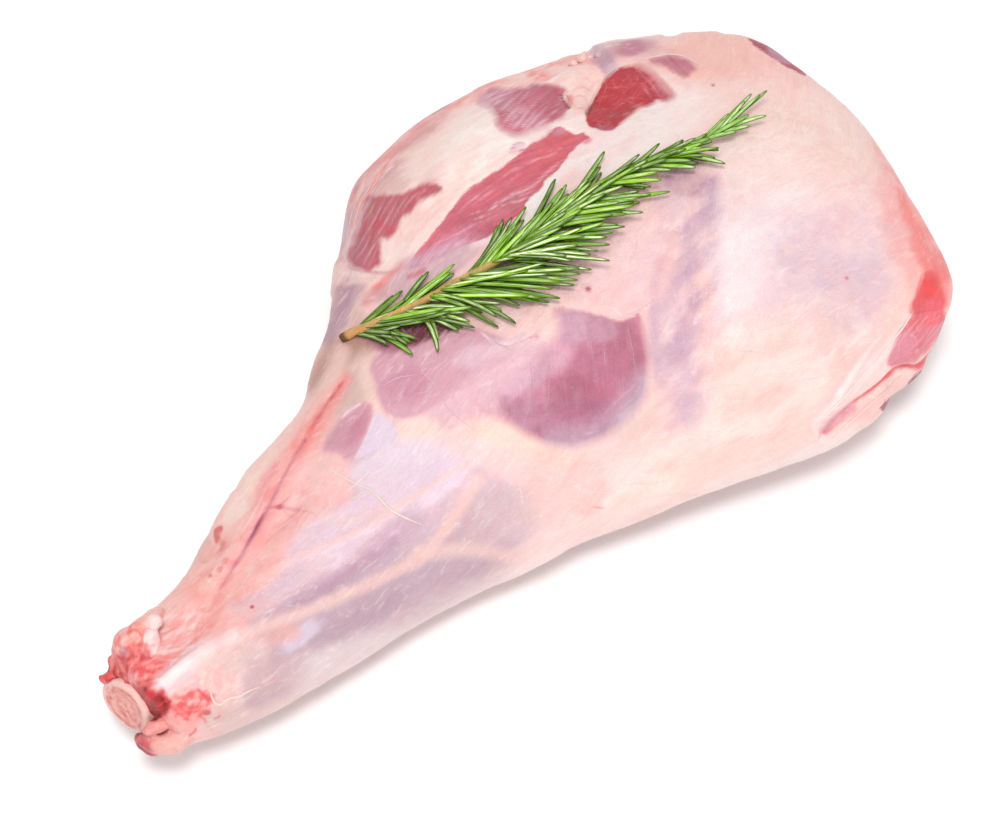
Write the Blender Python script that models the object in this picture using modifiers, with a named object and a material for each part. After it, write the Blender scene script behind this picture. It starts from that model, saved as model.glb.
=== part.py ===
"""Raw leg of lamb, trimmed and sawn at the hock, with a sprig of rosemary on it.

The leg lies on its flattened underside. +X points to the rump (chump) end,
-X to the sawn shank, -Y to the near flank, +Z up. All sizes are in metres.

  leg             the meat: a loft of rounded sections with muscle relief,
                  tendon stumps at the hock and a channel for the bone
  shank_bone      the sawn shank bone, running up inside the shank
  rosemary_sprig  woody stem with its needles, resting on the thigh
"""
import bpy
import bmesh
import math
import numpy as np
from mathutils import Vector
from mathutils.bvhtree import BVHTree

MM = 0.001

# ------------------------------------------------------------ driving sizes
# Sections of the leg, from hock to chump, in millimetres in the leg's own
# frame: station X, far side +Y, near side -Y, top, underside.
SECTIONS = (
    ("hock",        -186,  23,  -20, 51, 12),
    ("ankle",       -170,  27,  -27, 52, 10),
    ("lower_shank", -150,  30,  -33, 52,  8),
    ("shank",       -120,  37,  -39, 52,  5),
    ("upper_shank",  -90,  48,  -44, 54,  2),
    ("below_knee",   -60,  55,  -52, 61,  0),
    ("knee",         -30,  71,  -62, 69,  0),
    ("above_knee",     0,  94,  -76, 76,  0),
    ("lower_thigh",   30, 114,  -87, 81,  0),
    ("thigh",         60, 117, -101, 83,  0),
    ("upper_thigh",   90, 111, -111, 84,  0),
    ("hip",          120, 104, -111, 78,  0),
    ("lower_rump",   150,  92, -106, 74,  0),
    ("rump",         170,  82,  -92, 68,  0),
    ("rump_edge",    186,  70,  -61, 62,  2),
    ("chump",        196,  61,  -40, 55,  5),
    ("chump_end",    202,  49,  -27, 41, 10),
)
CENTRE_X, CENTRE_Y = 1.8, 2.26     # middle of the whole box, in the leg's frame
TOP_ROUND, BOTTOM_ROUND = 2.2, 2.7  # superellipse powers, above and below
WAIST = 0.42                       # height of the widest line in a section
REST_SINK = 1.5                    # how far the belly is pressed flat
RINGS, SIDES = 60, 44              # loft resolution
SMALLEST_GAP = 0.35                # kept between touching pieces

# Broad relief of the muscles: start and end of a line on the surface, half
# width, height (negative is a hollow), all in millimetres.
RELIEF = (
    ("seam_rump_thigh_a", (100, -6, 83), (46, -41, 77), 15, -2.6),
    ("seam_rump_thigh_b", (46, -41, 77), (8, -70, 55), 14, -2.2),
    ("rump_dome",         (122, -48, 76), (100, -56, 76), 42, 2.2),
    ("thigh_muscle",      (-2, -20, 74), (20, -30, 76), 26, 1.8),
    ("shank_vein_groove", (-166, 2, 52), (-100, 15, 52), 6, -1.8),
    ("shank_vein_upper",  (-100, 15, 52), (-50, 38, 58), 7, -1.6),
    ("shank_belly",       (-120, -20, 46), (-50, -26, 60), 13, 1.6),
    ("shin_tendon",       (-180, -6, 50), (-140, -10, 51), 6, 1.6),
    ("knee_hollow",       (-43, 50, 56), (-4, 62, 66), 14, -2.4),
    ("inner_red_muscle",  (14, 50, 76), (88, 42, 81), 10, -1.6),
    ("inner_fat_roll",    (36, 76, 73), (70, 80, 74), 13, 2.6),
    ("pelvic_hollow_a",   (118, 52, 72), (130, 42, 72), 12, -3.0),
    ("pelvic_hollow_b",   (92, 70, 72), (108, 66, 72), 10, -2.2),
    ("aitch_strip",       (112, 74, 66), (140, 74, 60), 7, 2.0),
    ("flank_lip",         (150, -90, 60), (106, -105, 56), 8, 1.6),
    ("shank_far_swell",   (-124, 36, 31), (-96, 43, 33), 13, 2.3),
    ("ankle_far_dip",     (-158, 28, 33), (-150, 29, 33), 12, -1.7),
    ("knee_far_swell",    (-50, 58, 36), (-44, 60, 38), 11, 2.0),
    ("flank_swell",       (-44, -54, 16), (-36, -59, 20), 10, 1.5),
    ("flank_dip",         (-16, -69, 26), (0, -75, 27), 12, -1.2),
    ("chump_corner",      (158, -96, 44), (138, -104, 31), 15, 3.8),
    ("chump_low",         (122, -106, 28), (106, -110, 29), 12, 2.0),
    ("top_corner",        (193, 44, 52), (193, 36, 54), 12, 1.5),
    ("far_rump_swell",    (88, 105, 54), (98, 107, 47), 12, 1.3),
    ("far_top_swell",     (155, 84, 47), (165, 80, 47), 10, 0.9),
    ("knee_far_dip",      (-64, 53, 34), (-57, 55, 34), 7, -1.8),
    ("far_flank_swell",   (-16, 82, 34), (22, 108, 40), 14, 0.9),
)

# The sawn shank bone.
BONE_SAW_CENTRE = (-195.5, 7.0, 30.5)
BONE_OUTWARD = (-0.985, 0.045, 0.110)   # along the shaft, out of the leg
BONE_SAW_NORMAL = (-0.955, -0.050, 0.292)
BONE_PROFILE = ((8, 11.4), (0, 11.4), (-8, 10.8), (-30, 9.0), (-80, 8.2),
                (-120, 9.0), (-142, 10.0), (-149, 7.5), (-151, 0.0))
BONE_SIDES = 26

# Tendon stumps and flaps round the sawn end: centre, radii, turn about Z.
STUMPS = (
    ("achilles_stump", (-177, 14.5, 42.0), (12.0, 9.0, 9.5), 20),
    ("side_cartilage", (-166, 16.0, 43.0), (7.5, 6.5, 8.0), 10),
    ("flexor_stump",   (-187, -10.5, 20.5), (10.5, 6.5, 7.0), -12),
    ("shin_cap",       (-183, -4.0, 44.0), (7.0, 7.0, 6.5), 0),
)

# The butcher's cut round the chump: the wall under the fat's rim stands back.
# Plan bearings (degrees) are taken about CUT_CENTRE, from the near flank to
# the far corner.
CUT_CENTRE = (110, -10)
CUT_FROM, CUT_TO, CUT_FADE = -96, 34, 10
CUT_RIM, CUT_ROLL = 47, 7           # rim height, height over which it rolls in
CUT_DEPTH, CUT_LEAN = 2.2, 0.10     # set back, and further in towards the base

# Rosemary stem: plan position and height of its axis above the meat.
STEM = ((-35, 52, 2.6), (-26, 44, 4.0), (-6, 32, 5.6), (21, 22, 6.6),
        (57, 17, 7.0), (92, 8, 6.6), (124, 3, 6.0), (144, 3, 6.0))
STEM_RADIUS = (1.9, 0.8)           # cut end, tip
WHORLS, PER_WHORL = 19, 3
NEEDLE_LENGTH = (20, 33, 20)       # near the cut end, middle, tip
NEEDLE_WIDTH, NEEDLE_THICK = 2.8, 1.8


# ------------------------------------------------------------------ helpers
def monotone(xs, ys, x):
    """Monotone cubic curve through the design stations."""
    xs, ys = np.asarray(xs, float), np.asarray(ys, float)
    x = np.clip(np.asarray(x, float), xs[0], xs[-1])
    h = np.diff(xs)
    d = np.diff(ys) / h
    m = np.zeros_like(ys)
    for i in range(1, len(xs) - 1):
        if d[i - 1] * d[i] > 0:
            a, b = 2 * h[i] + h[i - 1], h[i] + 2 * h[i - 1]
            m[i] = (a + b) / (a / d[i - 1] + b / d[i])
    m[0] = end_slope(h[0], h[1], d[0], d[1])
    m[-1] = end_slope(h[-1], h[-2], d[-1], d[-2])
    i = np.clip(np.searchsorted(xs, x, side="right") - 1, 0, len(xs) - 2)
    t = (x - xs[i]) / h[i]
    return ((2 * t**3 - 3 * t**2 + 1) * ys[i] + (t**3 - 2 * t**2 + t) * h[i] * m[i]
            + (3 * t**2 - 2 * t**3) * ys[i + 1] + (t**3 - t**2) * h[i] * m[i + 1])


def end_slope(h0, h1, d0, d1):
    e = ((2 * h0 + h1) * d0 - h0 * d1) / (h0 + h1)
    if e * d0 <= 0:
        return 0.0
    if d0 * d1 <= 0 and abs(e) > 3 * abs(d0):
        return 3 * d0
    return e


def power(v, n):
    return np.sign(v) * np.abs(v) ** (2.0 / n)


def leg_grid(x, phi):
    """Points of the plain loft, for arrays of stations and angles."""
    tab = np.array([s[1:] for s in SECTIONS], float)
    far, near, top, bot = (monotone(tab[:, 0], tab[:, k], x) for k in (1, 2, 3, 4))
    mid, half = (far + near) / 2, (far - near) / 2
    waist = bot + WAIST * (top - bot)
    c, s = np.cos(phi), np.sin(phi)
    up = s >= 0
    e = np.where(up, TOP_ROUND, BOTTOM_ROUND)
    rise = np.where(up, top - waist, waist - bot + REST_SINK)
    y = mid + half * power(c, e)
    z = waist + rise * power(s, e)
    return np.stack([x + 0 * y, y, z], -1)


def relief(p):
    """Height of the muscle relief at points p, along the surface normal."""
    out = np.zeros(p.shape[:-1])
    for _, a, b, half, height in RELIEF:
        a, b = np.array(a, float), np.array(b, float)
        ab = b - a
        t = np.clip(((p - a) @ ab) / (ab @ ab), 0, 1)
        d = np.linalg.norm(p - a - t[..., None] * ab, axis=-1)
        out += height * np.exp(-(d / half) ** 2)
    return out


def ease(v):
    v = np.clip(v, 0, 1)
    return v * v * (3 - 2 * v)


def cut_wall(p):
    """Points p with the wall under the chump's rim set back in plan."""
    q = p[..., :2] - np.array(CUT_CENTRE, float)
    reach = np.maximum(np.hypot(q[..., 0], q[..., 1]), 1.0)
    bearing = np.degrees(np.arctan2(q[..., 1], q[..., 0]))
    along = ease((bearing - CUT_FROM) / CUT_FADE) * ease((CUT_TO - bearing) / CUT_FADE)
    below = ease((CUT_RIM - p[..., 2]) / CUT_ROLL)
    back = along * below * (CUT_DEPTH + CUT_LEAN * (CUT_RIM - p[..., 2]))
    back = back * ease((reach - 20) / 50)
    out = p.copy()
    out[..., :2] -= q * (back / reach)[..., None]
    return out


def grid_normals(g):
    du = np.gradient(g, axis=0)
    dv = np.roll(g, -1, 1) - np.roll(g, 1, 1)
    n = np.cross(dv, du)
    n /= np.maximum(np.linalg.norm(n, axis=-1, keepdims=True), 1e-9)
    return n


def to_part(p):
    """Leg frame in millimetres to part frame in metres."""
    p = np.array(p, float)
    return (p - np.array([CENTRE_X, CENTRE_Y, 0.0])) * MM


def new_mesh_object(name, verts, faces, coll):
    me = bpy.data.meshes.new(name)
    me.from_pydata([tuple(v) for v in verts], [], faces)
    me.update()
    ob = bpy.data.objects.new(name, me)
    coll.objects.link(ob)
    return ob


def finish_mesh(ob, flat_deg=40):
    me = ob.data
    bm = bmesh.new()
    bm.from_mesh(me)
    bmesh.ops.recalc_face_normals(bm, faces=bm.faces)
    bm.to_mesh(me)
    bm.free()
    me.shade_smooth()
    me.set_sharp_from_angle(angle=math.radians(flat_deg))


def material(name, colour, roughness, coat=0.0):
    m = bpy.data.materials.new(name)
    m.use_nodes = True
    b = m.node_tree.nodes["Principled BSDF"]
    b.inputs["Base Color"].default_value = (*colour, 1)
    b.inputs["Roughness"].default_value = roughness
    b.inputs["Metallic"].default_value = 0.0
    b.inputs["Coat Weight"].default_value = coat
    m.diffuse_color = (*colour, 1)
    return m


def as_cutter(ob):
    ob.hide_render = True
    ob.display_type = "WIRE"


def boolean(ob, name, operation, other):
    m = ob.modifiers.new(name, "BOOLEAN")
    m.operation = operation
    m.solver = "EXACT"
    m.object = other
    return m


def evaluated_copy(ob, name, coll):
    """A plain mesh object of what ob's modifiers make."""
    dg = bpy.context.evaluated_depsgraph_get()
    me = bpy.data.meshes.new_from_object(ob.evaluated_get(dg))
    new = bpy.data.objects.new(name, me)
    new.matrix_world = ob.matrix_world
    coll.objects.link(new)
    return new


# --------------------------------------------------------------------- meat
def make_leg(coll, cut, mat):
    x0, x1 = SECTIONS[0][1], SECTIONS[-1][1]
    # stations crowd towards the two ends, where the form turns fastest
    t = np.linspace(0, 1, RINGS)
    t = t + 0.055 * np.sin(2 * np.pi * t) * -1
    xs = x0 + (x1 - x0) * t
    phi = np.linspace(0, 2 * np.pi, SIDES, endpoint=False) + math.pi / SIDES
    g = leg_grid(np.repeat(xs[:, None], SIDES, 1), np.repeat(phi[None], RINGS, 0))
    n = grid_normals(g)
    g = g + n * relief(g)[..., None]
    rings = [r for r in g]

    # ends: the chump rounds over into its cut face, the hock into its collar
    def shrink(ring, x, k, keep_z=0.0):
        c = ring.mean(0)
        r = c + (ring - c) * k
        r[:, 0] = x + 0 * r[:, 0]
        return r

    last, first = rings[-1], rings[0]
    rings += [shrink(last, x1 + 1.6, 0.90), shrink(last, x1 + 2.2, 0.62),
              shrink(last, x1 + 2.4, 0.30)]
    rings = [shrink(first, x0 - 3.4, 0.60), shrink(first, x0 - 2.2, 0.86)] + rings
    g = cut_wall(np.array(rings))
    g[..., 2] = np.maximum(g[..., 2], 0.0)      # the belly rests flat

    count = len(g)
    verts = [v for v in to_part(g.reshape(-1, 3))]
    faces = []
    for i in range(count - 1):
        for j in range(SIDES):
            k = (j + 1) % SIDES
            faces.append((i * SIDES + j, i * SIDES + k,
                          (i + 1) * SIDES + k, (i + 1) * SIDES + j))
    for i, tip in ((0, to_part(g[0].mean(0))), (count - 1, to_part(g[-1].mean(0)))):
        verts.append(tip)
        for j in range(SIDES):
            faces.append((i * SIDES + j, i * SIDES + (j + 1) % SIDES, len(verts) - 1))
    leg = new_mesh_object("leg", verts, faces, coll)
    finish_mesh(leg)
    leg.data.materials.append(mat)

    for name, centre, radii, turn in STUMPS:
        bm = bmesh.new()
        bmesh.ops.create_uvsphere(bm, u_segments=12, v_segments=8, radius=1.0)
        me = bpy.data.meshes.new(name)
        bmesh.ops.scale(bm, vec=Vector(radii) * MM, verts=bm.verts)
        bm.to_mesh(me)
        bm.free()
        ob = bpy.data.objects.new(name, me)
        ob.location = to_part(centre)
        ob.rotation_euler = (0, 0, math.radians(turn))
        cut.objects.link(ob)
        as_cutter(ob)
        boolean(leg, name, "UNION", ob)
    return leg


# --------------------------------------------------------------------- bone
def turned(name, profile, extra, coll):
    """A turned rod along its own Z, from a list of (height, radius)."""
    pts = [(0.0, profile[0][0] + extra)]
    pts += [(r + extra if r else 0.0, z if i else z + extra)
            for i, (z, r) in enumerate(profile)]
    pts[-1] = (0.0, profile[-1][0] - extra)
    me = bpy.data.meshes.new(name)
    me.from_pydata([(r * MM, 0, z * MM) for r, z in pts],
                   [(i, i + 1) for i in range(len(pts) - 1)], [])
    ob = bpy.data.objects.new(name, me)
    coll.objects.link(ob)
    s = ob.modifiers.new("turn", "SCREW")
    s.axis = "Z"
    s.angle = 2 * math.pi
    s.steps = s.render_steps = BONE_SIDES
    s.use_merge_vertices = True
    s.merge_threshold = 0.00001
    s.use_smooth_shade = True
    return ob


def make_bone(coll, cut, leg, mat):
    outward = Vector(BONE_OUTWARD).normalized()
    turn = outward.to_track_quat("Z", "Y").to_euler()
    place = to_part(BONE_SAW_CENTRE)
    bone = turned("shank_bone", BONE_PROFILE, 0.0, coll)
    channel = turned("bone_channel", BONE_PROFILE, SMALLEST_GAP, cut)
    for ob in (bone, channel):
        ob.location = place
        ob.rotation_euler = turn
    as_cutter(channel)
    boolean(leg, "bone_channel", "DIFFERENCE", channel)

    # the saw cut: a block whose inner face is the slanted cut
    normal = Vector(BONE_SAW_NORMAL).normalized()
    bm = bmesh.new()
    bmesh.ops.create_cube(bm, size=0.06)
    me = bpy.data.meshes.new("saw_block")
    bm.to_mesh(me)
    bm.free()
    saw = bpy.data.objects.new("saw_block", me)
    saw.location = Vector(place) + normal * 0.03
    saw.rotation_euler = normal.to_track_quat("Z", "Y").to_euler()
    cut.objects.link(saw)
    as_cutter(saw)
    boolean(bone, "saw_cut", "DIFFERENCE", saw)
    bone.data.materials.append(mat)
    return bone


# ----------------------------------------------------------------- rosemary
def make_sprig(coll, cut, leg, mat):
    dg = bpy.context.evaluated_depsgraph_get()
    tree = BVHTree.FromObject(leg, dg)
    to_leg = leg.matrix_world.inverted()

    def floor_height(x, y):
        hit = tree.ray_cast(to_leg @ Vector((x, y, 0.3)), Vector((0, 0, -1)))
        return hit[0].z if hit[0] is not None else 0.0

    # stem axis, read from a smooth curve through the route's points
    route = np.array(STEM, float)
    run = np.r_[0, np.cumsum(np.hypot(*np.diff(route[:, :2], axis=0).T))]

    def stem_at(t):
        s = t * run[-1]
        p = to_part([monotone(run, route[:, 0], s), monotone(run, route[:, 1], s), 0])
        lift = float(monotone(run, route[:, 2], s)) * MM
        return Vector((p[0], p[1], floor_height(p[0], p[1]) + lift))

    cu = bpy.data.curves.new("stem_axis", "CURVE")
    cu.dimensions = "3D"
    cu.bevel_depth = MM
    cu.bevel_resolution = 1
    cu.use_fill_caps = True
    sp = cu.splines.new("POLY")
    steps = 30
    sp.points.add(steps)
    for i in range(steps + 1):
        t = i / steps
        sp.points[i].co = (*stem_at(t), 1)
        sp.points[i].radius = STEM_RADIUS[0] + (STEM_RADIUS[1] - STEM_RADIUS[0]) * t
    tube = bpy.data.objects.new("stem_axis", cu)
    cut.objects.link(tube)
    dg = bpy.context.evaluated_depsgraph_get()
    me = bpy.data.meshes.new_from_object(tube.evaluated_get(dg))
    bm = bmesh.new()
    bm.from_mesh(me)
    bmesh.ops.remove_doubles(bm, verts=bm.verts, dist=0.00005)
    bmesh.ops.recalc_face_normals(bm, faces=bm.faces)
    bm.to_mesh(me)
    bm.free()
    sprig = bpy.data.objects.new("rosemary_sprig", me)
    sprig.matrix_world = tube.matrix_world
    coll.objects.link(sprig)
    bpy.data.objects.remove(tube)

    # needles: long narrow spindles, swept forwards, in whorls of three that
    # turn from one to the next; those that would enter the meat bend over it
    needles = bpy.data.collections.new("needle_shapes")
    cut.children.link(needles)
    profile = ((0.0, 0.55), (0.25, 1.0), (0.65, 0.9), (0.92, 0.45))
    for w in range(WHORLS):
        t = 0.05 + 0.93 * w / (WHORLS - 1)
        base = stem_at(min(t, 0.995))
        along = (stem_at(min(t + 0.02, 1.0)) - stem_at(max(t - 0.02, 0.0))).normalized()
        side = along.cross(Vector((0, 0, 1))).normalized()
        up = side.cross(along).normalized()
        length = float(monotone((0, 0.5, 1), NEEDLE_LENGTH, t))
        for k in range(PER_WHORL):
            spin = math.radians((10, 90, 170)[k] + (-14 if w % 2 else 14))
            out = side * math.cos(spin) + up * (0.62 * math.sin(spin))
            # the near side carries the longer, more open needles
            near = math.cos(spin) > 0.3
            open_deg = 50 * (1 - 0.45 * t) if near else 27 * (1 - 0.2 * t)
            sweep = math.radians(open_deg)
            long = length * (1.0 if near else 0.82)
            aim = (along * math.cos(sweep) + out.normalized() * math.sin(sweep)).normalized()
            wide = aim.cross(up)
            if wide.length < 0.2:
                wide = side
            wide.normalize()
            thick = wide.cross(aim).normalized()
            rings = []
            for s, r in profile:
                c = base + aim * (s * long * MM)
                clear = floor_height(c.x, c.y) + (SMALLEST_GAP + 0.9 + 1.1 * s) * MM
                c.z = max(c.z, clear)
                rings.append([c + wide * (NEEDLE_WIDTH / 2 * r * MM),
                              c + thick * (NEEDLE_THICK / 2 * r * MM),
                              c - wide * (NEEDLE_WIDTH / 2 * r * MM),
                              c - thick * (NEEDLE_THICK / 2 * r * MM)])
            tip = base + aim * (long * MM)
            tip.z = max(tip.z, floor_height(tip.x, tip.y) + (SMALLEST_GAP + 2.0) * MM)
            root = base - aim * (0.4 * MM)
            verts = [v for ring in rings for v in ring] + [root, tip]
            a, b = len(verts) - 2, len(verts) - 1
            faces = []
            for i in range(len(rings) - 1):
                for j in range(4):
                    m = (j + 1) % 4
                    faces.append((4 * i + j, 4 * i + m, 4 * (i + 1) + m, 4 * (i + 1) + j))
            last = 4 * (len(rings) - 1)
            for j in range(4):
                m = (j + 1) % 4
                faces.append((m, j, a))
                faces.append((last + j, last + m, b))
            ob = new_mesh_object("needle_%02d_%d" % (w, k), verts, faces, needles)
            finish_mesh(ob)
            as_cutter(ob)
    m = sprig.modifiers.new("needles", "BOOLEAN")
    m.operation = "UNION"
    m.solver = "EXACT"
    m.operand_type = "COLLECTION"
    m.collection = needles
    m.use_self = True
    sprig.data.materials.append(mat)
    sprig.data.shade_smooth()
    sprig.data.set_sharp_from_angle(angle=math.radians(40))
    return sprig


# --------------------------------------------------------------------- main
def main():
    for ob in list(bpy.data.objects):
        bpy.data.objects.remove(ob)
    scene = bpy.context.scene
    parts = bpy.data.collections.new("leg_of_lamb")
    cutters = bpy.data.collections.new("cutters")
    scene.collection.children.link(parts)
    scene.collection.children.link(cutters)

    meat = material("meat", (0.80, 0.52, 0.50), 0.42, 0.2)
    bone = material("bone", (0.84, 0.60, 0.54), 0.55)
    green = material("rosemary", (0.08, 0.20, 0.07), 0.5)

    leg = make_leg(parts, cutters, meat)
    make_bone(parts, cutters, leg, bone)
    bpy.context.view_layer.update()
    make_sprig(parts, cutters, leg, green)


main()
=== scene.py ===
import math

import bmesh
import bpy
import numpy as np
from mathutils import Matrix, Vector
from mathutils.bvhtree import BVHTree


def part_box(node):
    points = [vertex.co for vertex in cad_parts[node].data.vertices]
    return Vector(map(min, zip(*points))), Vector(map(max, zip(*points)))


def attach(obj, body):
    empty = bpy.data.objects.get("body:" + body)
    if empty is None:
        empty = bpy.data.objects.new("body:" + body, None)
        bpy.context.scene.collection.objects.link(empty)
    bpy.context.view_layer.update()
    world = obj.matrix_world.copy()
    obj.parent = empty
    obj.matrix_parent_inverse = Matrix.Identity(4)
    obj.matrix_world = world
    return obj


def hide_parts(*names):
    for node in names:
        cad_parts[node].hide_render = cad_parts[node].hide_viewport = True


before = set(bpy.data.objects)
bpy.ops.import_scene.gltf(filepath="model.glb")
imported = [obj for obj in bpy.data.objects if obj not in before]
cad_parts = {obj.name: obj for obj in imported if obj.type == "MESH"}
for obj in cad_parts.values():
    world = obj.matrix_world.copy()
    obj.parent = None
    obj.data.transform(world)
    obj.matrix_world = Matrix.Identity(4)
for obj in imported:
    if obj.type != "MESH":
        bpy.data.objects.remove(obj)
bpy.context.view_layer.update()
LEG_LO, LEG_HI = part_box("leg")
BONE_LO, BONE_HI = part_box("shank_bone")
MM = 0.001

# =====================================================================
# The drawing sheet. Places on the meat are given on a sheet laid square to
# one fixed line of sight: x to the right, y down, 0.4 mm a unit, with the
# sheet's middle at (500, 411.5) over the middle of the leg. The leg's own
# frame, in millimetres, is carried into the model by `shift`.
# =====================================================================
AZIMUTH, ELEVATION, REACH = -45.0, 60.0, 0.944
LENS, SENSOR = 85.0, 36.0
_a, _e = math.radians(AZIMUTH), math.radians(ELEVATION)
BACK = np.array([math.sin(_a) * math.cos(_e), -math.cos(_a) * math.cos(_e), math.sin(_e)])
RIGHT = np.array([math.cos(_a), math.sin(_a), 0.0])
UP = np.cross(BACK, RIGHT)
FOCAL = LENS / SENSOR * 1000.0


def to_sheet(p):
    d = p - EYE
    z = -(d @ BACK)
    return np.stack([500 + FOCAL * (d @ RIGHT) / z, 411.5 - FOCAL * (d @ UP) / z], -1)


def sheet_ray(x, y):
    d = RIGHT * (x - 500) / FOCAL + UP * (411.5 - y) / FOCAL - BACK
    return Vector(EYE), Vector(d).normalized()


# =====================================================================
# Small tools
# =====================================================================
def ease(v):
    v = np.clip(v, 0, 1)
    return v * v * (3 - 2 * v)


def hash3(i, j, k, seed):
    n = (i * 374761393 + j * 668265263 + k * 2147483647 + seed * 1274126177) & 0xFFFFFFFF
    n = ((n ^ (n >> 13)) * 1274126177) & 0xFFFFFFFF
    n = (n ^ (n >> 16)) & 0xFFFFFFFF
    return n / 4294967295.0


def vnoise(p, size, seed=0, octaves=2):
    """Smooth value noise in -1..1 at points p (n, 2 or 3), cells of the given size."""
    p = np.asarray(p, float)
    if p.shape[1] == 2:
        p = np.c_[p, np.zeros(len(p))]
    out = np.zeros(len(p))
    amp, total = 1.0, 0.0
    for o in range(octaves):
        q = p / (size / 2 ** o) + 37.7 * o
        c = np.floor(q).astype(np.int64)
        f = q - c
        f = f * f * (3 - 2 * f)
        v = 0
        for di in (0, 1):
            for dj in (0, 1):
                for dk in (0, 1):
                    w = (np.where(di, f[:, 0], 1 - f[:, 0]) * np.where(dj, f[:, 1], 1 - f[:, 1])
                         * np.where(dk, f[:, 2], 1 - f[:, 2]))
                    v = v + w * hash3(c[:, 0] + di, c[:, 1] + dj, c[:, 2] + dk, seed + 11 * o)
        out += amp * (v * 2 - 1)
        total += amp
        amp *= 0.5
    return out / total


def smooth_path(pts, closed=False, per=6):
    """Catmull-Rom curve through the given points (any width of rows)."""
    p = np.array(pts, float)
    n = len(p)
    if n < 3 and not closed:
        t = np.linspace(0, 1, per + 1)[:, None]
        return p[0] * (1 - t) + p[-1] * t
    if closed:
        q = np.concatenate([p[-1:], p, p[:2]])
        segs = n
    else:
        q = np.concatenate([2 * p[:1] - p[1:2], p, 2 * p[-1:] - p[-2:-1]])
        segs = n - 1
    out = []
    for s in range(segs):
        a, b, c, d = q[s], q[s + 1], q[s + 2], q[s + 3]
        for t in np.arange(per) / per:
            out.append(0.5 * (2 * b + (c - a) * t + (2 * a - 5 * b + 4 * c - d) * t * t
                              + (3 * b - a - 3 * c + d) * t ** 3))
    if not closed:
        out.append(q[-2])
    return np.array(out)


def seg_distance(xy, path, closed=False):
    """Distance to a path, the index along it (0..1) and the side (+1 left)."""
    a = path
    b = np.roll(path, -1, 0) if closed else path[1:]
    if not closed:
        a = path[:-1]
    best = np.full(len(xy), 1e9)
    along = np.zeros(len(xy))
    side = np.ones(len(xy))
    n = len(a)
    for i in range(n):
        ab = b[i] - a[i]
        L = ab @ ab + 1e-12
        ap = xy - a[i]
        t = np.clip((ap @ ab) / L, 0, 1)
        d = np.hypot(ap[:, 0] - t * ab[0], ap[:, 1] - t * ab[1])
        m = d < best
        best = np.where(m, d, best)
        along = np.where(m, (i + t) / n, along)
        side = np.where(m, np.sign(ab[0] * ap[:, 1] - ab[1] * ap[:, 0]), side)
    return best, along, side


def inside(xy, path):
    a, b = path, np.roll(path, -1, 0)
    odd = np.zeros(len(xy), bool)
    x, y = xy[:, 0], xy[:, 1]
    for i in range(len(a)):
        (x0, y0), (x1, y1) = a[i], b[i]
        if y0 == y1:
            continue
        cross = ((y0 > y) != (y1 > y)) & (x < (x1 - x0) * (y - y0) / (y1 - y0) + x0)
        odd ^= cross
    return odd


def srgb(c):
    c = np.asarray(c, float)
    return np.where(c <= 0.04045, c / 12.92, ((c + 0.055) / 1.055) ** 2.4)


# =====================================================================
# The leg's form: sections from hock to chump in millimetres
# (station, far side, near side, top, underside)
# =====================================================================
SECTIONS = np.array((
    (-186,  23,  -20, 51, 12), (-170,  27,  -27, 52, 10), (-150,  30,  -33, 52,  8),
    (-120,  37,  -39, 52,  5), (-90,  48,  -44, 54,  2), (-60,  55,  -52, 61,  0),
    (-30,  71,  -62, 69,  0), (0,  94,  -76, 76,  0), (30, 114,  -87, 81,  0),
    (60, 117, -101, 83,  0), (90, 111, -111, 84,  0), (120, 104, -111, 78,  0),
    (150,  92, -106, 74,  0), (170,  82,  -92, 68,  0), (186,  70,  -61, 62,  2),
    (196,  61,  -40, 55,  5), (202,  49,  -27, 41, 10)), float)
TOP_ROUND, BOTTOM_ROUND, WAIST, REST_SINK = 2.2, 2.7, 0.42, 1.5

RELIEF = (
    ((100, -6, 83), (46, -41, 77), 15, -2.6), ((46, -41, 77), (8, -70, 55), 14, -2.2),
    ((122, -48, 76), (100, -56, 76), 42, 2.2), ((-2, -20, 74), (20, -30, 76), 26, 1.8),
    ((-166, 2, 52), (-100, 15, 52), 6, -1.8), ((-100, 15, 52), (-50, 38, 58), 7, -1.6),
    ((-120, -20, 46), (-50, -26, 60), 13, 1.6), ((-180, -6, 50), (-140, -10, 51), 6, 1.6),
    ((-43, 50, 56), (-4, 62, 66), 14, -2.4), ((14, 50, 76), (88, 42, 81), 10, -1.6),
    ((36, 76, 73), (70, 80, 74), 13, 2.6), ((118, 52, 72), (130, 42, 72), 12, -3.0),
    ((92, 70, 72), (108, 66, 72), 10, -2.2), ((112, 74, 66), (140, 74, 60), 7, 2.0),
    ((150, -90, 60), (106, -105, 56), 8, 1.6), ((-124, 36, 31), (-96, 43, 33), 13, 2.3),
    ((-158, 28, 33), (-150, 29, 33), 12, -1.7), ((-50, 58, 36), (-44, 60, 38), 11, 2.0),
    ((-44, -54, 16), (-36, -59, 20), 10, 1.5), ((-16, -69, 26), (0, -75, 27), 12, -1.2),
    ((158, -96, 44), (138, -104, 31), 15, 3.8), ((122, -106, 28), (106, -110, 29), 12, 2.0),
    ((193, 44, 52), (193, 36, 54), 12, 1.5), ((88, 105, 54), (98, 107, 47), 12, 1.3),
    ((155, 84, 47), (165, 80, 47), 10, 0.9), ((-64, 53, 34), (-57, 55, 34), 7, -1.8),
    ((-16, 82, 34), (22, 108, 40), 14, 0.9),
)
CUT_CENTRE = (110, -10)
CUT_FROM, CUT_TO, CUT_FADE = -96, 34, 10
CUT_RIM, CUT_ROLL = 47, 7
CUT_DEPTH, CUT_LEAN = 2.2, 0.10


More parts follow.
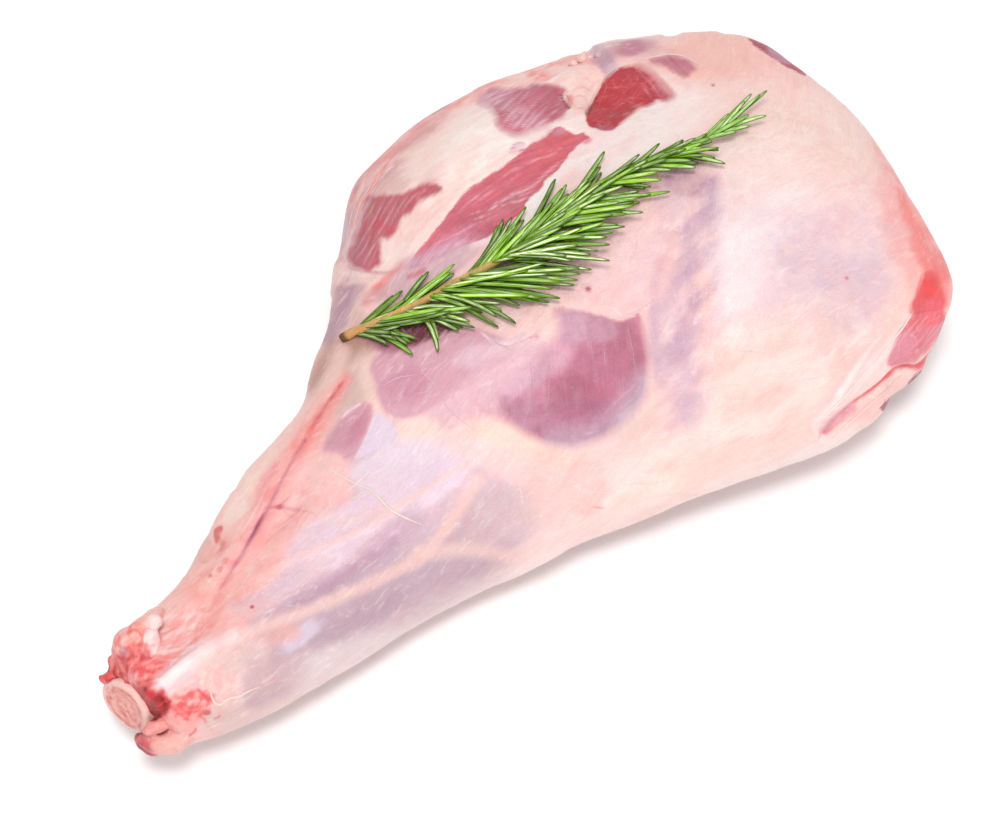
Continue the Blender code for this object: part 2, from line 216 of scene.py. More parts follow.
def end_slope(h0, h1, d0, d1):
    e = ((2 * h0 + h1) * d0 - h0 * d1) / (h0 + h1)
    if e * d0 <= 0:
        return 0.0
    if d0 * d1 <= 0 and abs(e) > 3 * abs(d0):
        return 3 * d0
    return e


def monotone(xs, ys, x):
    xs, ys = np.asarray(xs, float), np.asarray(ys, float)
    x = np.clip(np.asarray(x, float), xs[0], xs[-1])
    h = np.diff(xs)
    d = np.diff(ys) / h
    m = np.zeros_like(ys)
    for i in range(1, len(xs) - 1):
        if d[i - 1] * d[i] > 0:
            a, b = 2 * h[i] + h[i - 1], h[i] + 2 * h[i - 1]
            m[i] = (a + b) / (a / d[i - 1] + b / d[i])
    m[0] = end_slope(h[0], h[1], d[0], d[1])
    m[-1] = end_slope(h[-1], h[-2], d[-1], d[-2])
    i = np.clip(np.searchsorted(xs, x, side="right") - 1, 0, len(xs) - 2)
    t = (x - xs[i]) / h[i]
    return ((2 * t**3 - 3 * t**2 + 1) * ys[i] + (t**3 - 2 * t**2 + t) * h[i] * m[i]
            + (3 * t**2 - 2 * t**3) * ys[i + 1] + (t**3 - t**2) * h[i] * m[i + 1])


def leg_grid(x, phi):
    far, near, top, bot = (monotone(SECTIONS[:, 0], SECTIONS[:, k], x) for k in (1, 2, 3, 4))
    mid, half = (far + near) / 2, (far - near) / 2
    waist = bot + WAIST * (top - bot)
    c, s = np.cos(phi), np.sin(phi)
    up = s >= 0
    e = np.where(up, TOP_ROUND, BOTTOM_ROUND)
    rise = np.where(up, top - waist, waist - bot + REST_SINK)
    y = mid + half * np.sign(c) * np.abs(c) ** (2 / e)
    z = waist + rise * np.sign(s) * np.abs(s) ** (2 / e)
    return np.stack([x + 0 * y, y, z], -1)


def grid_normals(g):
    du = np.gradient(g, axis=0)
    dv = np.roll(g, -1, 1) - np.roll(g, 1, 1)
    n = np.cross(dv, du)
    return n / np.maximum(np.linalg.norm(n, axis=-1, keepdims=True), 1e-9)


def broad_relief(p):
    out = np.zeros(p.shape[:-1])
    for a, b, half, height in RELIEF:
        a, b = np.array(a, float), np.array(b, float)
        ab = b - a
        t = np.clip(((p - a) @ ab) / (ab @ ab), 0, 1)
        d = np.linalg.norm(p - a - t[..., None] * ab, axis=-1)
        out += height * np.exp(-(d / half) ** 2)
    return out


def wall_weight(p):
    """How much a point belongs to the butcher's cut round the chump."""
    q = p[..., :2] - np.array(CUT_CENTRE, float)
    reach = np.maximum(np.hypot(q[..., 0], q[..., 1]), 1.0)
    bearing = np.degrees(np.arctan2(q[..., 1], q[..., 0]))
    along = ease((bearing - CUT_FROM) / CUT_FADE) * ease((CUT_TO - bearing) / CUT_FADE)
    return q, reach, along, bearing


def cut_wall(p, roll):
    q, reach, along, _ = wall_weight(p)
    below = ease((CUT_RIM - p[..., 2]) / roll)
    back = along * below * (CUT_DEPTH + CUT_LEAN * (CUT_RIM - p[..., 2]))
    back = back * ease((reach - 20) / 50)
    out = p.copy()
    out[..., :2] -= q * (back / reach)[..., None]
    return out


def leg_surface(rings, sides):
    """The leg as a closed grid: rings along X, sides denser over the top."""
    x0, x1 = SECTIONS[0, 0], SECTIONS[-1, 0]
    t = np.linspace(0, 1, rings)
    t = t - 0.035 * np.sin(2 * np.pi * t)
    xs = x0 + (x1 - x0) * t
    u = np.linspace(0, 1, sides, endpoint=False)
    # crowd the lines over the upper side and the near flank
    dens = 1 + 0.55 * np.cos(2 * np.pi * (np.linspace(0, 1, 721) - 0.30))
    cum = np.r_[0, np.cumsum((dens[1:] + dens[:-1]) / 2)]
    inv = np.interp(u * cum[-1], cum, np.linspace(0, 1, 721))
    # dens is highest at 0.30 of the turn: phi = 108 degrees, a little to the near side
    phi = 2 * np.pi * inv
    g = leg_grid(np.repeat(xs[:, None], sides, 1), np.repeat(phi[None], rings, 0))
    n = grid_normals(g)
    g = g + n * broad_relief(g)[..., None]

    def shrink(ring, x, k):
        c = ring.mean(0)
        r = c + (ring - c) * k
        r[:, 0] = x
        return r

    rings_ = [r for r in g]
    last, first = rings_[-1], rings_[0]
    steps = np.linspace(0, 1, 26)[1:-1]
    for k in steps:                       # chump end closes over
        s = 1 - k
        rings_.append(shrink(last, x1 + 2.4 * (1 - s ** 2) ** 0.5, s))
    head = []
    for k in np.linspace(0, 1, 13)[1:-1]:
        s = 1 - k
        head.append(shrink(first, x0 - 3.6 * (1 - s ** 2.5) ** 0.5, s))
    g = np.array(head[::-1] + rings_)
    n = grid_normals(g)
    keep = ease((np.abs(g[..., 0] - 8) - 205) / 12)      # the two ends keep their own line
    soft = 0.35 * vnoise(g.reshape(-1, 3), 17, 3, 2).reshape(g.shape[:2])
    g = g + n * (soft * (1 - keep) * ease((g[..., 2] - 2) / 10))[..., None]
    g = cut_wall(g, CUT_ROLL)
    g[..., 2] = np.maximum(g[..., 2], 0.0)
    return g


def grid_faces(count, sides, verts):
    """Quads of a closed grid plus two end fans; adds the two end points."""
    i = np.arange(count - 1)[:, None] * sides
    j = np.arange(sides)[None]
    k = (j + 1) % sides
    quads = np.stack([i + j, i + k, i + sides + k, i + sides + j], -1).reshape(-1, 4)
    faces = [tuple(int(v) for v in q) for q in quads]
    lo, hi = len(verts), len(verts) + 1
    verts = np.concatenate([verts, verts[:sides].mean(0)[None], verts[-sides:].mean(0)[None]])
    for j in range(sides):
        k = (j + 1) % sides
        faces.append((k, j, lo))
        faces.append(((count - 1) * sides + j, (count - 1) * sides + k, hi))
    return verts, faces


def make_object(name, verts, faces, smooth=True):
    me = bpy.data.meshes.new(name)
    me.from_pydata([tuple(v) for v in verts], [], faces)
    me.update()
    if smooth:
        me.shade_smooth()
    ob = bpy.data.objects.new(name, me)
    bpy.context.scene.collection.objects.link(ob)
    return ob


def add_float(me, name, values):
    a = me.attributes.new(name, "FLOAT", "POINT")
    a.data.foreach_set("value", np.ascontiguousarray(values, np.float32))


def add_vector(me, name, values):
    a = me.attributes.new(name, "FLOAT_VECTOR", "POINT")
    a.data.foreach_set("vector", np.ascontiguousarray(values, np.float32).ravel())


LEVEL = np.array([0.79, 0.755, 0.76])          # the meat's own lightness under this light


def add_colour(me, name, rgb, level=1.0):
    a = me.attributes.new(name, "FLOAT_COLOR", "POINT")
    c = np.concatenate([srgb(np.clip(rgb, 0, 1)) * level, np.ones((len(rgb), 1))], 1)
    a.data.foreach_set("color", np.ascontiguousarray(c, np.float32).ravel())


def vertex_normals(me):
    n = np.empty(len(me.vertices) * 3, np.float32)
    me.vertices.foreach_get("normal", n)
    return n.reshape(-1, 3).astype(float)


def coords(me):
    n = np.empty(len(me.vertices) * 3, np.float32)
    me.vertices.foreach_get("co", n)
    return n.reshape(-1, 3).astype(float)


# =====================================================================
# Painting: soft and crisp fields of colour on the sheet
# =====================================================================
class Paint:
    """Colours of the fat (base), of bare muscle (deep) and their border."""

    def __init__(self, pos, nrm):
        self.p = pos / MM
        self.xy = to_sheet(pos)
        drift = [4.2 * vnoise(self.p, 13, 61 + k, 3) + 1.0 * vnoise(self.p, 4, 63 + k, 2) for k in (0, 1)]
        self.loose = self.xy + np.stack(drift, -1)
        stretched = self.p * np.array([0.42, 1.0, 1.0])
        self.rough = [vnoise(stretched, 5.5, 70 + k, 4) for k in range(5)]
        self.calls = 0
        to_eye = EYE - pos
        to_eye /= np.linalg.norm(to_eye, axis=1, keepdims=True)
        self.facing = (nrm * to_eye).sum(1)
        self.top = ease((self.facing + 0.30) / 0.25)
        n = len(pos)
        self.base = np.zeros((n, 3))
        self.deep = np.zeros((n, 3))
        self.deep[:] = np.array([205, 105, 120]) / 255
        self.cut = np.full(n, -12.0)          # mm inside bare muscle
        self.film = np.zeros(n)
        self.net = np.zeros(n)
        self.lift = np.zeros(n)               # fine relief, mm
        self.wet = np.zeros(n)
        self.turn = np.zeros(n)               # fibre direction off the leg's length
        self.grain = np.full(n, 0.5)          # strength of the fibre streaks
        self.fray = np.full(n, 0.4)           # how far the border follows the fibres, mm
        self.soft = np.full(n, 0.45)          # half width of the border, mm
        self.tint = np.zeros((n, 3))
        self.tint[:] = np.array([238, 205, 212]) / 255
        self.ident = np.zeros(n)
        self.cross = np.zeros(n)

    def near(self, pts, margin):
        p = np.asarray(pts, float)[:, :2]
        lo, hi = p.min(0) - margin, p.max(0) + margin
        return np.where((self.xy[:, 0] > lo[0]) & (self.xy[:, 0] < hi[0])
                        & (self.xy[:, 1] > lo[1]) & (self.xy[:, 1] < hi[1])
                        & (self.top > 0))[0]

    def blob(self, cx, cy, rx, ry, turn=0, soft=0.5, ragged=0.0, cell=18, seed=1):
        """Mask of a soft ellipse: 1 inside, fading over the outer part."""
        a = math.radians(turn)
        xy = self.loose if min(rx, ry) > 7 else self.xy
        dx, dy = xy[:, 0] - cx, xy[:, 1] - cy
        u = (dx * math.cos(a) - dy * math.sin(a)) / rx
        v = (dx * math.sin(a) + dy * math.cos(a)) / ry
        r = np.hypot(u, v)
        if ragged:
            r = r + ragged * vnoise(self.xy, cell, seed, 3)
        m = ease((1 + soft / 2 - r) / soft)
        return (self.textured(m) if soft * min(rx, ry) > 7 else m) * self.top

    def textured(self, m):
        """Breaks a wide soft edge up along the fibres."""
        self.calls += 1
        n = self.rough[self.calls % len(self.rough)]
        hard = ease((m - 0.5 + 0.75 * n * (m > 0) * (m < 1)) / 0.8 + 0.5)
        return 0.45 * m + 0.55 * hard

    def poly(self, pts, soft=3.0, ragged=0.0, cell=10, seed=1, per=5):
        """Mask of a smooth closed outline; soft is its edge's width."""
        m = np.zeros(len(self.xy))
        sd = self.poly_sd(pts, ragged, cell, seed, soft * 2 + 6, per, self.loose if soft > 7 else None)
        m = ease(sd / soft + 0.5)
        return (self.textured(m) if soft > 7 else m) * self.top

    def poly_sd(self, pts, ragged=0.0, cell=10, seed=1, margin=30, per=5, xy=None):
        xy = self.xy if xy is None else xy
        path = smooth_path(pts, True, per)
        k = self.near(pts, margin + ragged * 2)
        sd = np.full(len(self.xy), -float(margin))
        if len(k):
            d, _, _ = seg_distance(xy[k], path, True)
            s = np.where(inside(xy[k], path), d, -d)
            if ragged:
                s = s + ragged * vnoise(self.xy[k], cell, seed, 3)
            sd[k] = np.maximum(s, -margin)
        return sd

    def line(self, pts, width, soft=None, ragged=0.0, cell=10, seed=1):
        """Mask of a stroke; rows are x, y and an optional width factor."""
        q = np.array([(r[0], r[1], r[2] if len(r) > 2 else 1.0) for r in pts], float)
        path = smooth_path(q, False, 6)
        soft = soft if soft is not None else width
        m = np.zeros(len(self.xy))
        k = self.near(pts, width + soft + ragged * 2 + 2)
        if len(k):
            d, t, _ = seg_distance(self.xy[k], path[:, :2])
            w = np.interp(t, np.linspace(0, 1, len(path)), path[:, 2]) * width / 2
            if ragged:
                d = d + ragged * vnoise(self.xy[k], cell, seed, 2)
            m[k] = ease((w + soft / 2 - d) / soft) * np.clip(w * 2 / max(width, 1e-6) * 1.0, 0, 1)
        return m * self.top

    def to(self, mask, colour, strength=1.0):
        c = np.array(colour, float) / 255
        m = (mask * strength)[:, None]
        self.base = self.base * (1 - m) + c * m

    def to_deep(self, mask, colour, strength=1.0):
        c = np.array(colour, float) / 255
        m = (mask * strength)[:, None]
        self.deep = self.deep * (1 - m) + c * m

    def muscle(self, pts, colour, ragged=1.2, cell=9, seed=1, angle=None, film=0.0, net=0.0,
               fray=0.4, soft=0.45, grain=1.0, sink=0.0, tint=None):
        """Bare muscle with its own border, fibres (angle on the sheet) and film."""
        sd = self.poly_sd(pts, ragged, cell, seed, 34) * 0.4
        sd = np.where(self.top > 0.6, sd, -12.0)
        reach = ease((sd + fray * 1.6 + soft + 2.0) / 1.2)
        self.to_deep(reach, colour)
        win = sd > self.cut
        self.cut = np.maximum(self.cut, sd)
        k = win & (sd > -(fray * 1.6 + soft + 2.5))
        if angle is not None:
            ca, sa = math.cos(math.radians(angle)), math.sin(math.radians(angle))
            self.turn[k] = math.atan2((sa / 0.612 - ca / 0.707) / 2, (ca / 0.707 + sa / 0.612) / 2)
        self.film[k] = film
        self.net[k] = net
        self.fray[k] = fray
        self.soft[k] = soft
        self.grain[k] = grain
        self.ident[k] = seed * 7.3
        if tint is not None:
            self.tint[k] = np.array(tint) / 255
        if sink:
            self.lift -= sink * ease(sd / 2.0 + 0.5) * self.top
        return ease(sd / 1.0 + 0.5) * self.top

    def streaks(self, rows, colour, strength=0.8, soft=1.6):
        """Thin strokes, on fat and bare muscle alike: x0, y0, x1, y1, width."""
        for i, (x0, y0, x1, y1, w) in enumerate(rows):
            sag = 0.05 * math.sin(2.4 * i + 1)
            mid = ((x0 + x1) / 2 - sag * (y1 - y0), (y0 + y1) / 2 + sag * (x1 - x0), 1.15)
            m = self.line([(x0, y0, 0.5), mid, (x1, y1, 0.35)], w, soft, 0.5, 5, 90 + i)
            self.to(m, colour, strength)
            self.to_deep(m, colour, strength)

    def swing(self, mask):
        """Skin whose fibres run across the leg instead of along it."""
        self.cross = np.maximum(self.cross, mask)


# =====================================================================
# Node helper and the materials
# =====================================================================
class Tree:
    def __init__(self, name):
        self.mat = bpy.data.materials.new(name)
        self.mat.use_nodes = True
        self.nt = self.mat.node_tree
        self.nt.nodes.clear()

    def put(self, kind, inputs=None, **props):
        n = self.nt.nodes.new(kind)
        for k, v in props.items():
            setattr(n, k, v)
        for k, v in (inputs or {}).items():
            self.feed(n.inputs[k], v)
        return n

    def feed(self, socket, v):
        if isinstance(v, bpy.types.NodeSocket):
            self.nt.links.new(v, socket)
        elif isinstance(v, bpy.types.Node):
            self.nt.links.new(v.outputs[0], socket)
        else:
            socket.default_value = v

    def attr(self, name, what="Fac"):
        return self.put("ShaderNodeAttribute", attribute_name=name).outputs[what]

    def math(self, op, a, b=0.0, c=0.0, clamp=False):
        return self.put("ShaderNodeMath", {0: a, 1: b, 2: c}, operation=op, use_clamp=clamp).outputs[0]

    def ramp(self, v, lo, hi, out0=0.0, out1=1.0, kind="SMOOTHSTEP"):
        return self.put("ShaderNodeMapRange", {"Value": v, "From Min": lo, "From Max": hi,
                                               "To Min": out0, "To Max": out1},
                        interpolation_type=kind).outputs[0]

    def noise(self, vec, scale=1.0, detail=2.0, rough=0.5, warp=0.0):
        return self.put("ShaderNodeTexNoise", {"Vector": vec, "Scale": scale, "Detail": detail,
                                               "Roughness": rough, "Distortion": warp}).outputs[0]

    def scaled(self, vec, k):
        return self.put("ShaderNodeVectorMath", {0: vec, 1: k}, operation="MULTIPLY").outputs[0]

    def mix(self, fac, a, b, blend="MIX"):
        n = self.put("ShaderNodeMix", data_type="RGBA", blend_type=blend, clamp_factor=True)
        self.feed(n.inputs[0], fac)
        self.feed(n.inputs[6], a if not isinstance(a, tuple) else (*a[:3], 1.0))
        self.feed(n.inputs[7], b if not isinstance(b, tuple) else (*b[:3], 1.0))
        return n.outputs[2]

    def brighten(self, colour, k):
        return self.put("ShaderNodeVectorMath", {0: colour, "Scale": k}, operation="SCALE").outputs[0]

    def finish(self, colour, rough, height=None, depth=0.0005, strength=0.6, **values):
        b = self.put("ShaderNodeBsdfPrincipled", {"Base Color": colour, "Roughness": rough})
        for k, v in values.items():
            b.inputs[k.replace("_", " ")].default_value = v
        if height is not None:
            bump = self.put("ShaderNodeBump", {"Height": height, "Distance": depth,
                                               "Strength": strength})
            self.feed(b.inputs["Normal"], bump.outputs[0])
        out = self.put("ShaderNodeOutputMaterial", {"Surface": b.outputs[0]})
        return self.mat


def lin(r, g, b):
    return tuple(float(v) for v in srgb(np.array([r, g, b]) / 255))


def meat_material():
    t = Tree("raw_lamb")
    fib = t.attr("fib", "Vector")
    skin = t.attr("skin", "Vector")
    pos = t.put("ShaderNodeTexCoord").outputs["Object"]

    def at(vec, along, across, off=0.0):
        moved = t.scaled(vec, (along, across, 1.0))
        if off:
            moved = t.put("ShaderNodeVectorMath", {0: moved, 1: (off, off * 0.7, off)}, operation="ADD").outputs[0]
        return moved

    fine = t.noise(pos, 900.0, 3.0, 0.6)
    mid = t.noise(pos, 260.0, 3.0, 0.6)
    wide = t.noise(pos, 70.0, 3.0, 0.6)
    s1 = t.noise(at(fib, 0.035, 0.75), 1.0, 4.0, 0.62, 0.3)
    s2 = t.noise(at(fib, 0.11, 2.4), 1.0, 3.0, 0.62, 0.3)
    grain = t.attr("grain")
    film = t.attr("film")
    tint = t.attr("tint", "Color")

    # ---- border of the bare muscle
    e = t.math("MULTIPLY_ADD", t.math("SUBTRACT", s1, 0.5), t.math("MULTIPLY", t.attr("fray"), 5.0), t.attr("cut"))
    e = t.math("MULTIPLY_ADD", t.math("SUBTRACT", mid, 0.5), 1.5, e)
    e = t.math("MULTIPLY_ADD", t.math("SUBTRACT", fine, 0.5), 0.6, e)
    m = t.ramp(t.math("DIVIDE", e, t.attr("soft")), -1.0, 1.0)

    # ---- muscle: fibres, darker bundles, milky film, white threads
    k = t.math("MULTIPLY_ADD", t.math("SUBTRACT", s1, 0.5), t.math("MULTIPLY", grain, 0.85), 1.0)
    k = t.math("MULTIPLY_ADD", t.math("SUBTRACT", s2, 0.5), t.math("MULTIPLY", grain, 0.40), k)
    k = t.math("MULTIPLY_ADD", t.math("SUBTRACT", mid, 0.5), 0.40, k)
    k = t.math("MULTIPLY_ADD", t.math("SUBTRACT", wide, 0.5), 0.45, k)
    k = t.math("MULTIPLY_ADD", t.math("SUBTRACT", fine, 0.5), 0.25, k)
    red = t.brighten(t.attr("deep", "Color"), k)
    bundle = t.noise(at(fib, 0.028, 0.24, 31.0), 1.0, 3.0, 0.6, 0.5)
    red = t.mix(t.math("MULTIPLY", t.ramp(bundle, 0.50, 0.66), t.math("MULTIPLY", grain, 0.75), clamp=True), red, (0.90, 0.74, 0.78), "MULTIPLY")
    hairs = t.math("MULTIPLY", t.ramp(s2, 0.57, 0.72), t.math("MULTIPLY", grain, 0.36))
    red = t.mix(hairs, red, tint)
    haze = t.noise(at(fib, 0.045, 0.22, 77.0), 1.0, 5.0, 0.66, 0.8)
    veil = t.math("MULTIPLY", film, t.ramp(haze, 0.34, 0.66, 0.15, 1.75), clamp=True)
    red = t.mix(veil, red, tint)
    fleece = t.noise(at(fib, 0.10, 0.55, 13.0), 1.0, 4.0, 0.7, 1.4)
    red = t.mix(t.math("MULTIPLY", t.ramp(fleece, 0.58, 0.70), t.math("MULTIPLY_ADD", film, 0.9, t.math("MULTIPLY", grain, 0.14)), clamp=True),
                red, tint)
    warp = t.put("ShaderNodeTexNoise", {"Vector": at(fib, 0.07, 0.07), "Scale": 1.0, "Detail": 3.0}).outputs[1]

    def web(along, across, size, bend, off):
        v = t.put("ShaderNodeVectorMath", {0: at(fib, along, across, off), 1: t.scaled(warp, (bend, bend, 0.0))},
                  operation="ADD").outputs[0]
        d = t.put("ShaderNodeTexVoronoi", {"Vector": v, "Scale": 1.0}, feature="DISTANCE_TO_EDGE").outputs[0]
        return t.ramp(d, size, size * 0.15)

    net = t.attr("net")
    lines = t.math("MULTIPLY", web(0.075, 0.20, 0.045, 1.3, 0.0), t.ramp(mid, 0.40, 0.62, 0.10, 1.0))
    thin = t.math("MULTIPLY", web(0.17, 0.42, 0.05, 1.8, 9.0), t.ramp(wide, 0.48, 0.62, 0.0, 0.55))
    lines = t.math("MULTIPLY", t.math("MAXIMUM", lines, thin), net)
    red = t.mix(t.math("MULTIPLY", lines, 0.85), red, (0.84, 0.60, 0.60))

    # ---- fat and skin: two plain sets of fibres, one along and one across the leg
    side = t.put("ShaderNodeMapping", {"Vector": skin, "Rotation": (0.0, 0.0, 0.96)}).outputs[0]
    cross = t.attr("cross")

    def fibre(along, across, detail, rough, bend, off=0.0):
        a = t.noise(at(skin, along, across, off), 1.0, detail, rough, bend)
        b = t.noise(at(side, across, along, off), 1.0, detail, rough, bend)
        return t.put("ShaderNodeMix", {0: cross, 2: a, 3: b}, data_type="FLOAT").outputs[0]

    f1 = fibre(0.035, 0.60, 4.0, 0.62, 0.2)
    f2 = fibre(0.16, 1.9, 3.0, 0.66, 0.8)
    f3 = fibre(0.045, 0.17, 5.0, 0.66, 0.9, 21.0)
    f4 = fibre(0.10, 0.26, 5.0, 0.68, 1.2, 55.0)
    k = t.math("MULTIPLY_ADD", t.math("SUBTRACT", f1, 0.5), t.math("MULTIPLY", grain, 0.14), 1.0)
    k = t.math("MULTIPLY_ADD", t.math("SUBTRACT", mid, 0.5), 0.10, k)
    k = t.math("MULTIPLY_ADD", t.math("SUBTRACT", fine, 0.5), 0.10, k)
    fat = t.brighten(t.attr("base", "Color"), k)
    fat = t.mix(t.math("MULTIPLY", t.ramp(f3, 0.46, 0.70), 0.45), fat, (0.99, 0.83, 0.82), "MULTIPLY")
    fat = t.mix(t.math("MULTIPLY", t.ramp(f4, 0.50, 0.74), 0.40), fat, (0.90, 0.84, 0.93), "MULTIPLY")
    milk = t.ramp(f4, 0.48, 0.28)
    fat = t.mix(t.math("MULTIPLY", milk, 0.26), fat, (0.96, 0.80, 0.77))
    pale = t.math("MULTIPLY", t.ramp(f2, 0.57, 0.74), 0.15)
    fat = t.mix(pale, fat, (0.92, 0.77, 0.74))
    flush = t.ramp(t.noise(pos, 120.0, 4.0, 0.68), 0.56, 0.72, 0.0, 0.5)
    fat = t.mix(t.math("MULTIPLY", flush, t.attr("blush")), fat, (0.74, 0.28, 0.27))
    bend = t.put("ShaderNodeTexNoise", {"Vector": at(skin, 0.06, 0.06), "Scale": 1.0, "Detail": 3.0}).outputs[1]
    vary = t.put("ShaderNodeVectorMath", {0: at(skin, 0.024, 0.070), 1: t.scaled(bend, (2.4, 2.4, 0.0))},
                 operation="ADD").outputs[0]
    veins = t.put("ShaderNodeTexVoronoi", {"Vector": vary, "Scale": 1.0}, feature="DISTANCE_TO_EDGE").outputs[0]
    hair = t.math("MULTIPLY", t.ramp(veins, 0.010, 0.002), t.ramp(wide, 0.50, 0.62, 0.0, 0.16))
    fat = t.mix(hair, fat, (0.95, 0.80, 0.77))
    colour = t.mix(m, fat, red)

    rough = t.ramp(t.math("ADD", t.math("MULTIPLY", mid, 0.5), t.math("MULTIPLY", fine, 0.5)), 0.3, 0.7, 0.30, 0.52)
    g2 = t.put("ShaderNodeMix", {0: m, 2: f2, 3: s2}, data_type="FLOAT").outputs[0]
    g1 = t.put("ShaderNodeMix", {0: m, 2: f3, 3: s1}, data_type="FLOAT").outputs[0]
    h = t.math("MULTIPLY", g2, 0.40)
    h = t.math("MULTIPLY_ADD", g1, 0.9, h)
    h = t.math("MULTIPLY_ADD", fine, 0.35, h)
    h = t.math("MULTIPLY_ADD", mid, 0.7, h)
    h = t.math("MULTIPLY_ADD", lines, 0.25, h)
    h = t.math("MULTIPLY_ADD", hair, 0.12, h)
    return t.finish(colour, rough, h, 0.0009, 0.6, Subsurface_Weight=0.12,
                    Subsurface_Radius=(1.0, 0.42, 0.32), Subsurface_Scale=0.0035,
                    Coat_Weight=0.07, Coat_Roughness=0.20, Specular_IOR_Level=0.34, IOR=1.42)


# =====================================================================
# The leg
# =====================================================================
def quads_object(name, g):
    count, sides = g.shape[:2]
    verts = g.reshape(-1, 3)
    verts, faces = grid_faces(count, sides, verts)
    return make_object(name, verts, faces), verts


RINGS, SIDES = ((510, 440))
grid = leg_surface(RINGS, SIDES)

# fit the loft to the CAD leg's box: its chump end and its two flanks
shift = np.array([LEG_HI.x - grid[..., 0].max() * MM,
                  (LEG_LO.y + LEG_HI.y) / 2 - (grid[..., 1].min() + grid[..., 1].max()) / 2 * MM, 0.0])
MID = np.array([-7.13, -6.85, 0.0]) * MM + shift
AIM = MID + np.array([0.0, 0.0, 38.0]) * MM
EYE = AIM + BACK * REACH
ROW = grid.shape[0]
arc = np.linalg.norm(np.diff(np.concatenate([grid, grid[:, :1]], 1), axis=1), axis=2)
crest = int(np.argmax(grid[ROW // 2, :, 2]))
run = np.cumsum(arc, 1) - arc
run = run - run[:, crest:crest + 1]
low = int(np.argmin(np.abs(np.arange(SIDES) - (crest + SIDES // 2) % SIDES)))
total_arc = arc.sum(1, keepdims=True)
run = -np.where(run > total_arc / 2, run - total_arc, np.where(run < -total_arc / 2, run + total_arc, run))
pos = grid.reshape(-1, 3) * MM + shift
nrm = grid_normals(grid).reshape(-1, 3)
LEGMM = pos / MM                                  # part frame, mm

FAT, FAT_LIGHT, CREAM, PEACH = (252, 219, 211), (255, 239, 233), (251, 229, 215), (252, 213, 200)
PINK, SALMON, CORAL, RED = (250, 197, 190), (247, 166, 158), (243, 132, 128), (214, 78, 82)
DEEP_RED, DARK = (160, 46, 54), (96, 24, 30)
LILAC, LILAC_LIGHT, LILAC_GREY, MAUVE_VEIL = (232, 208, 219), (241, 226, 236), (213, 190, 198), (214, 178, 190)
GREY_PINK = (226, 192, 191)

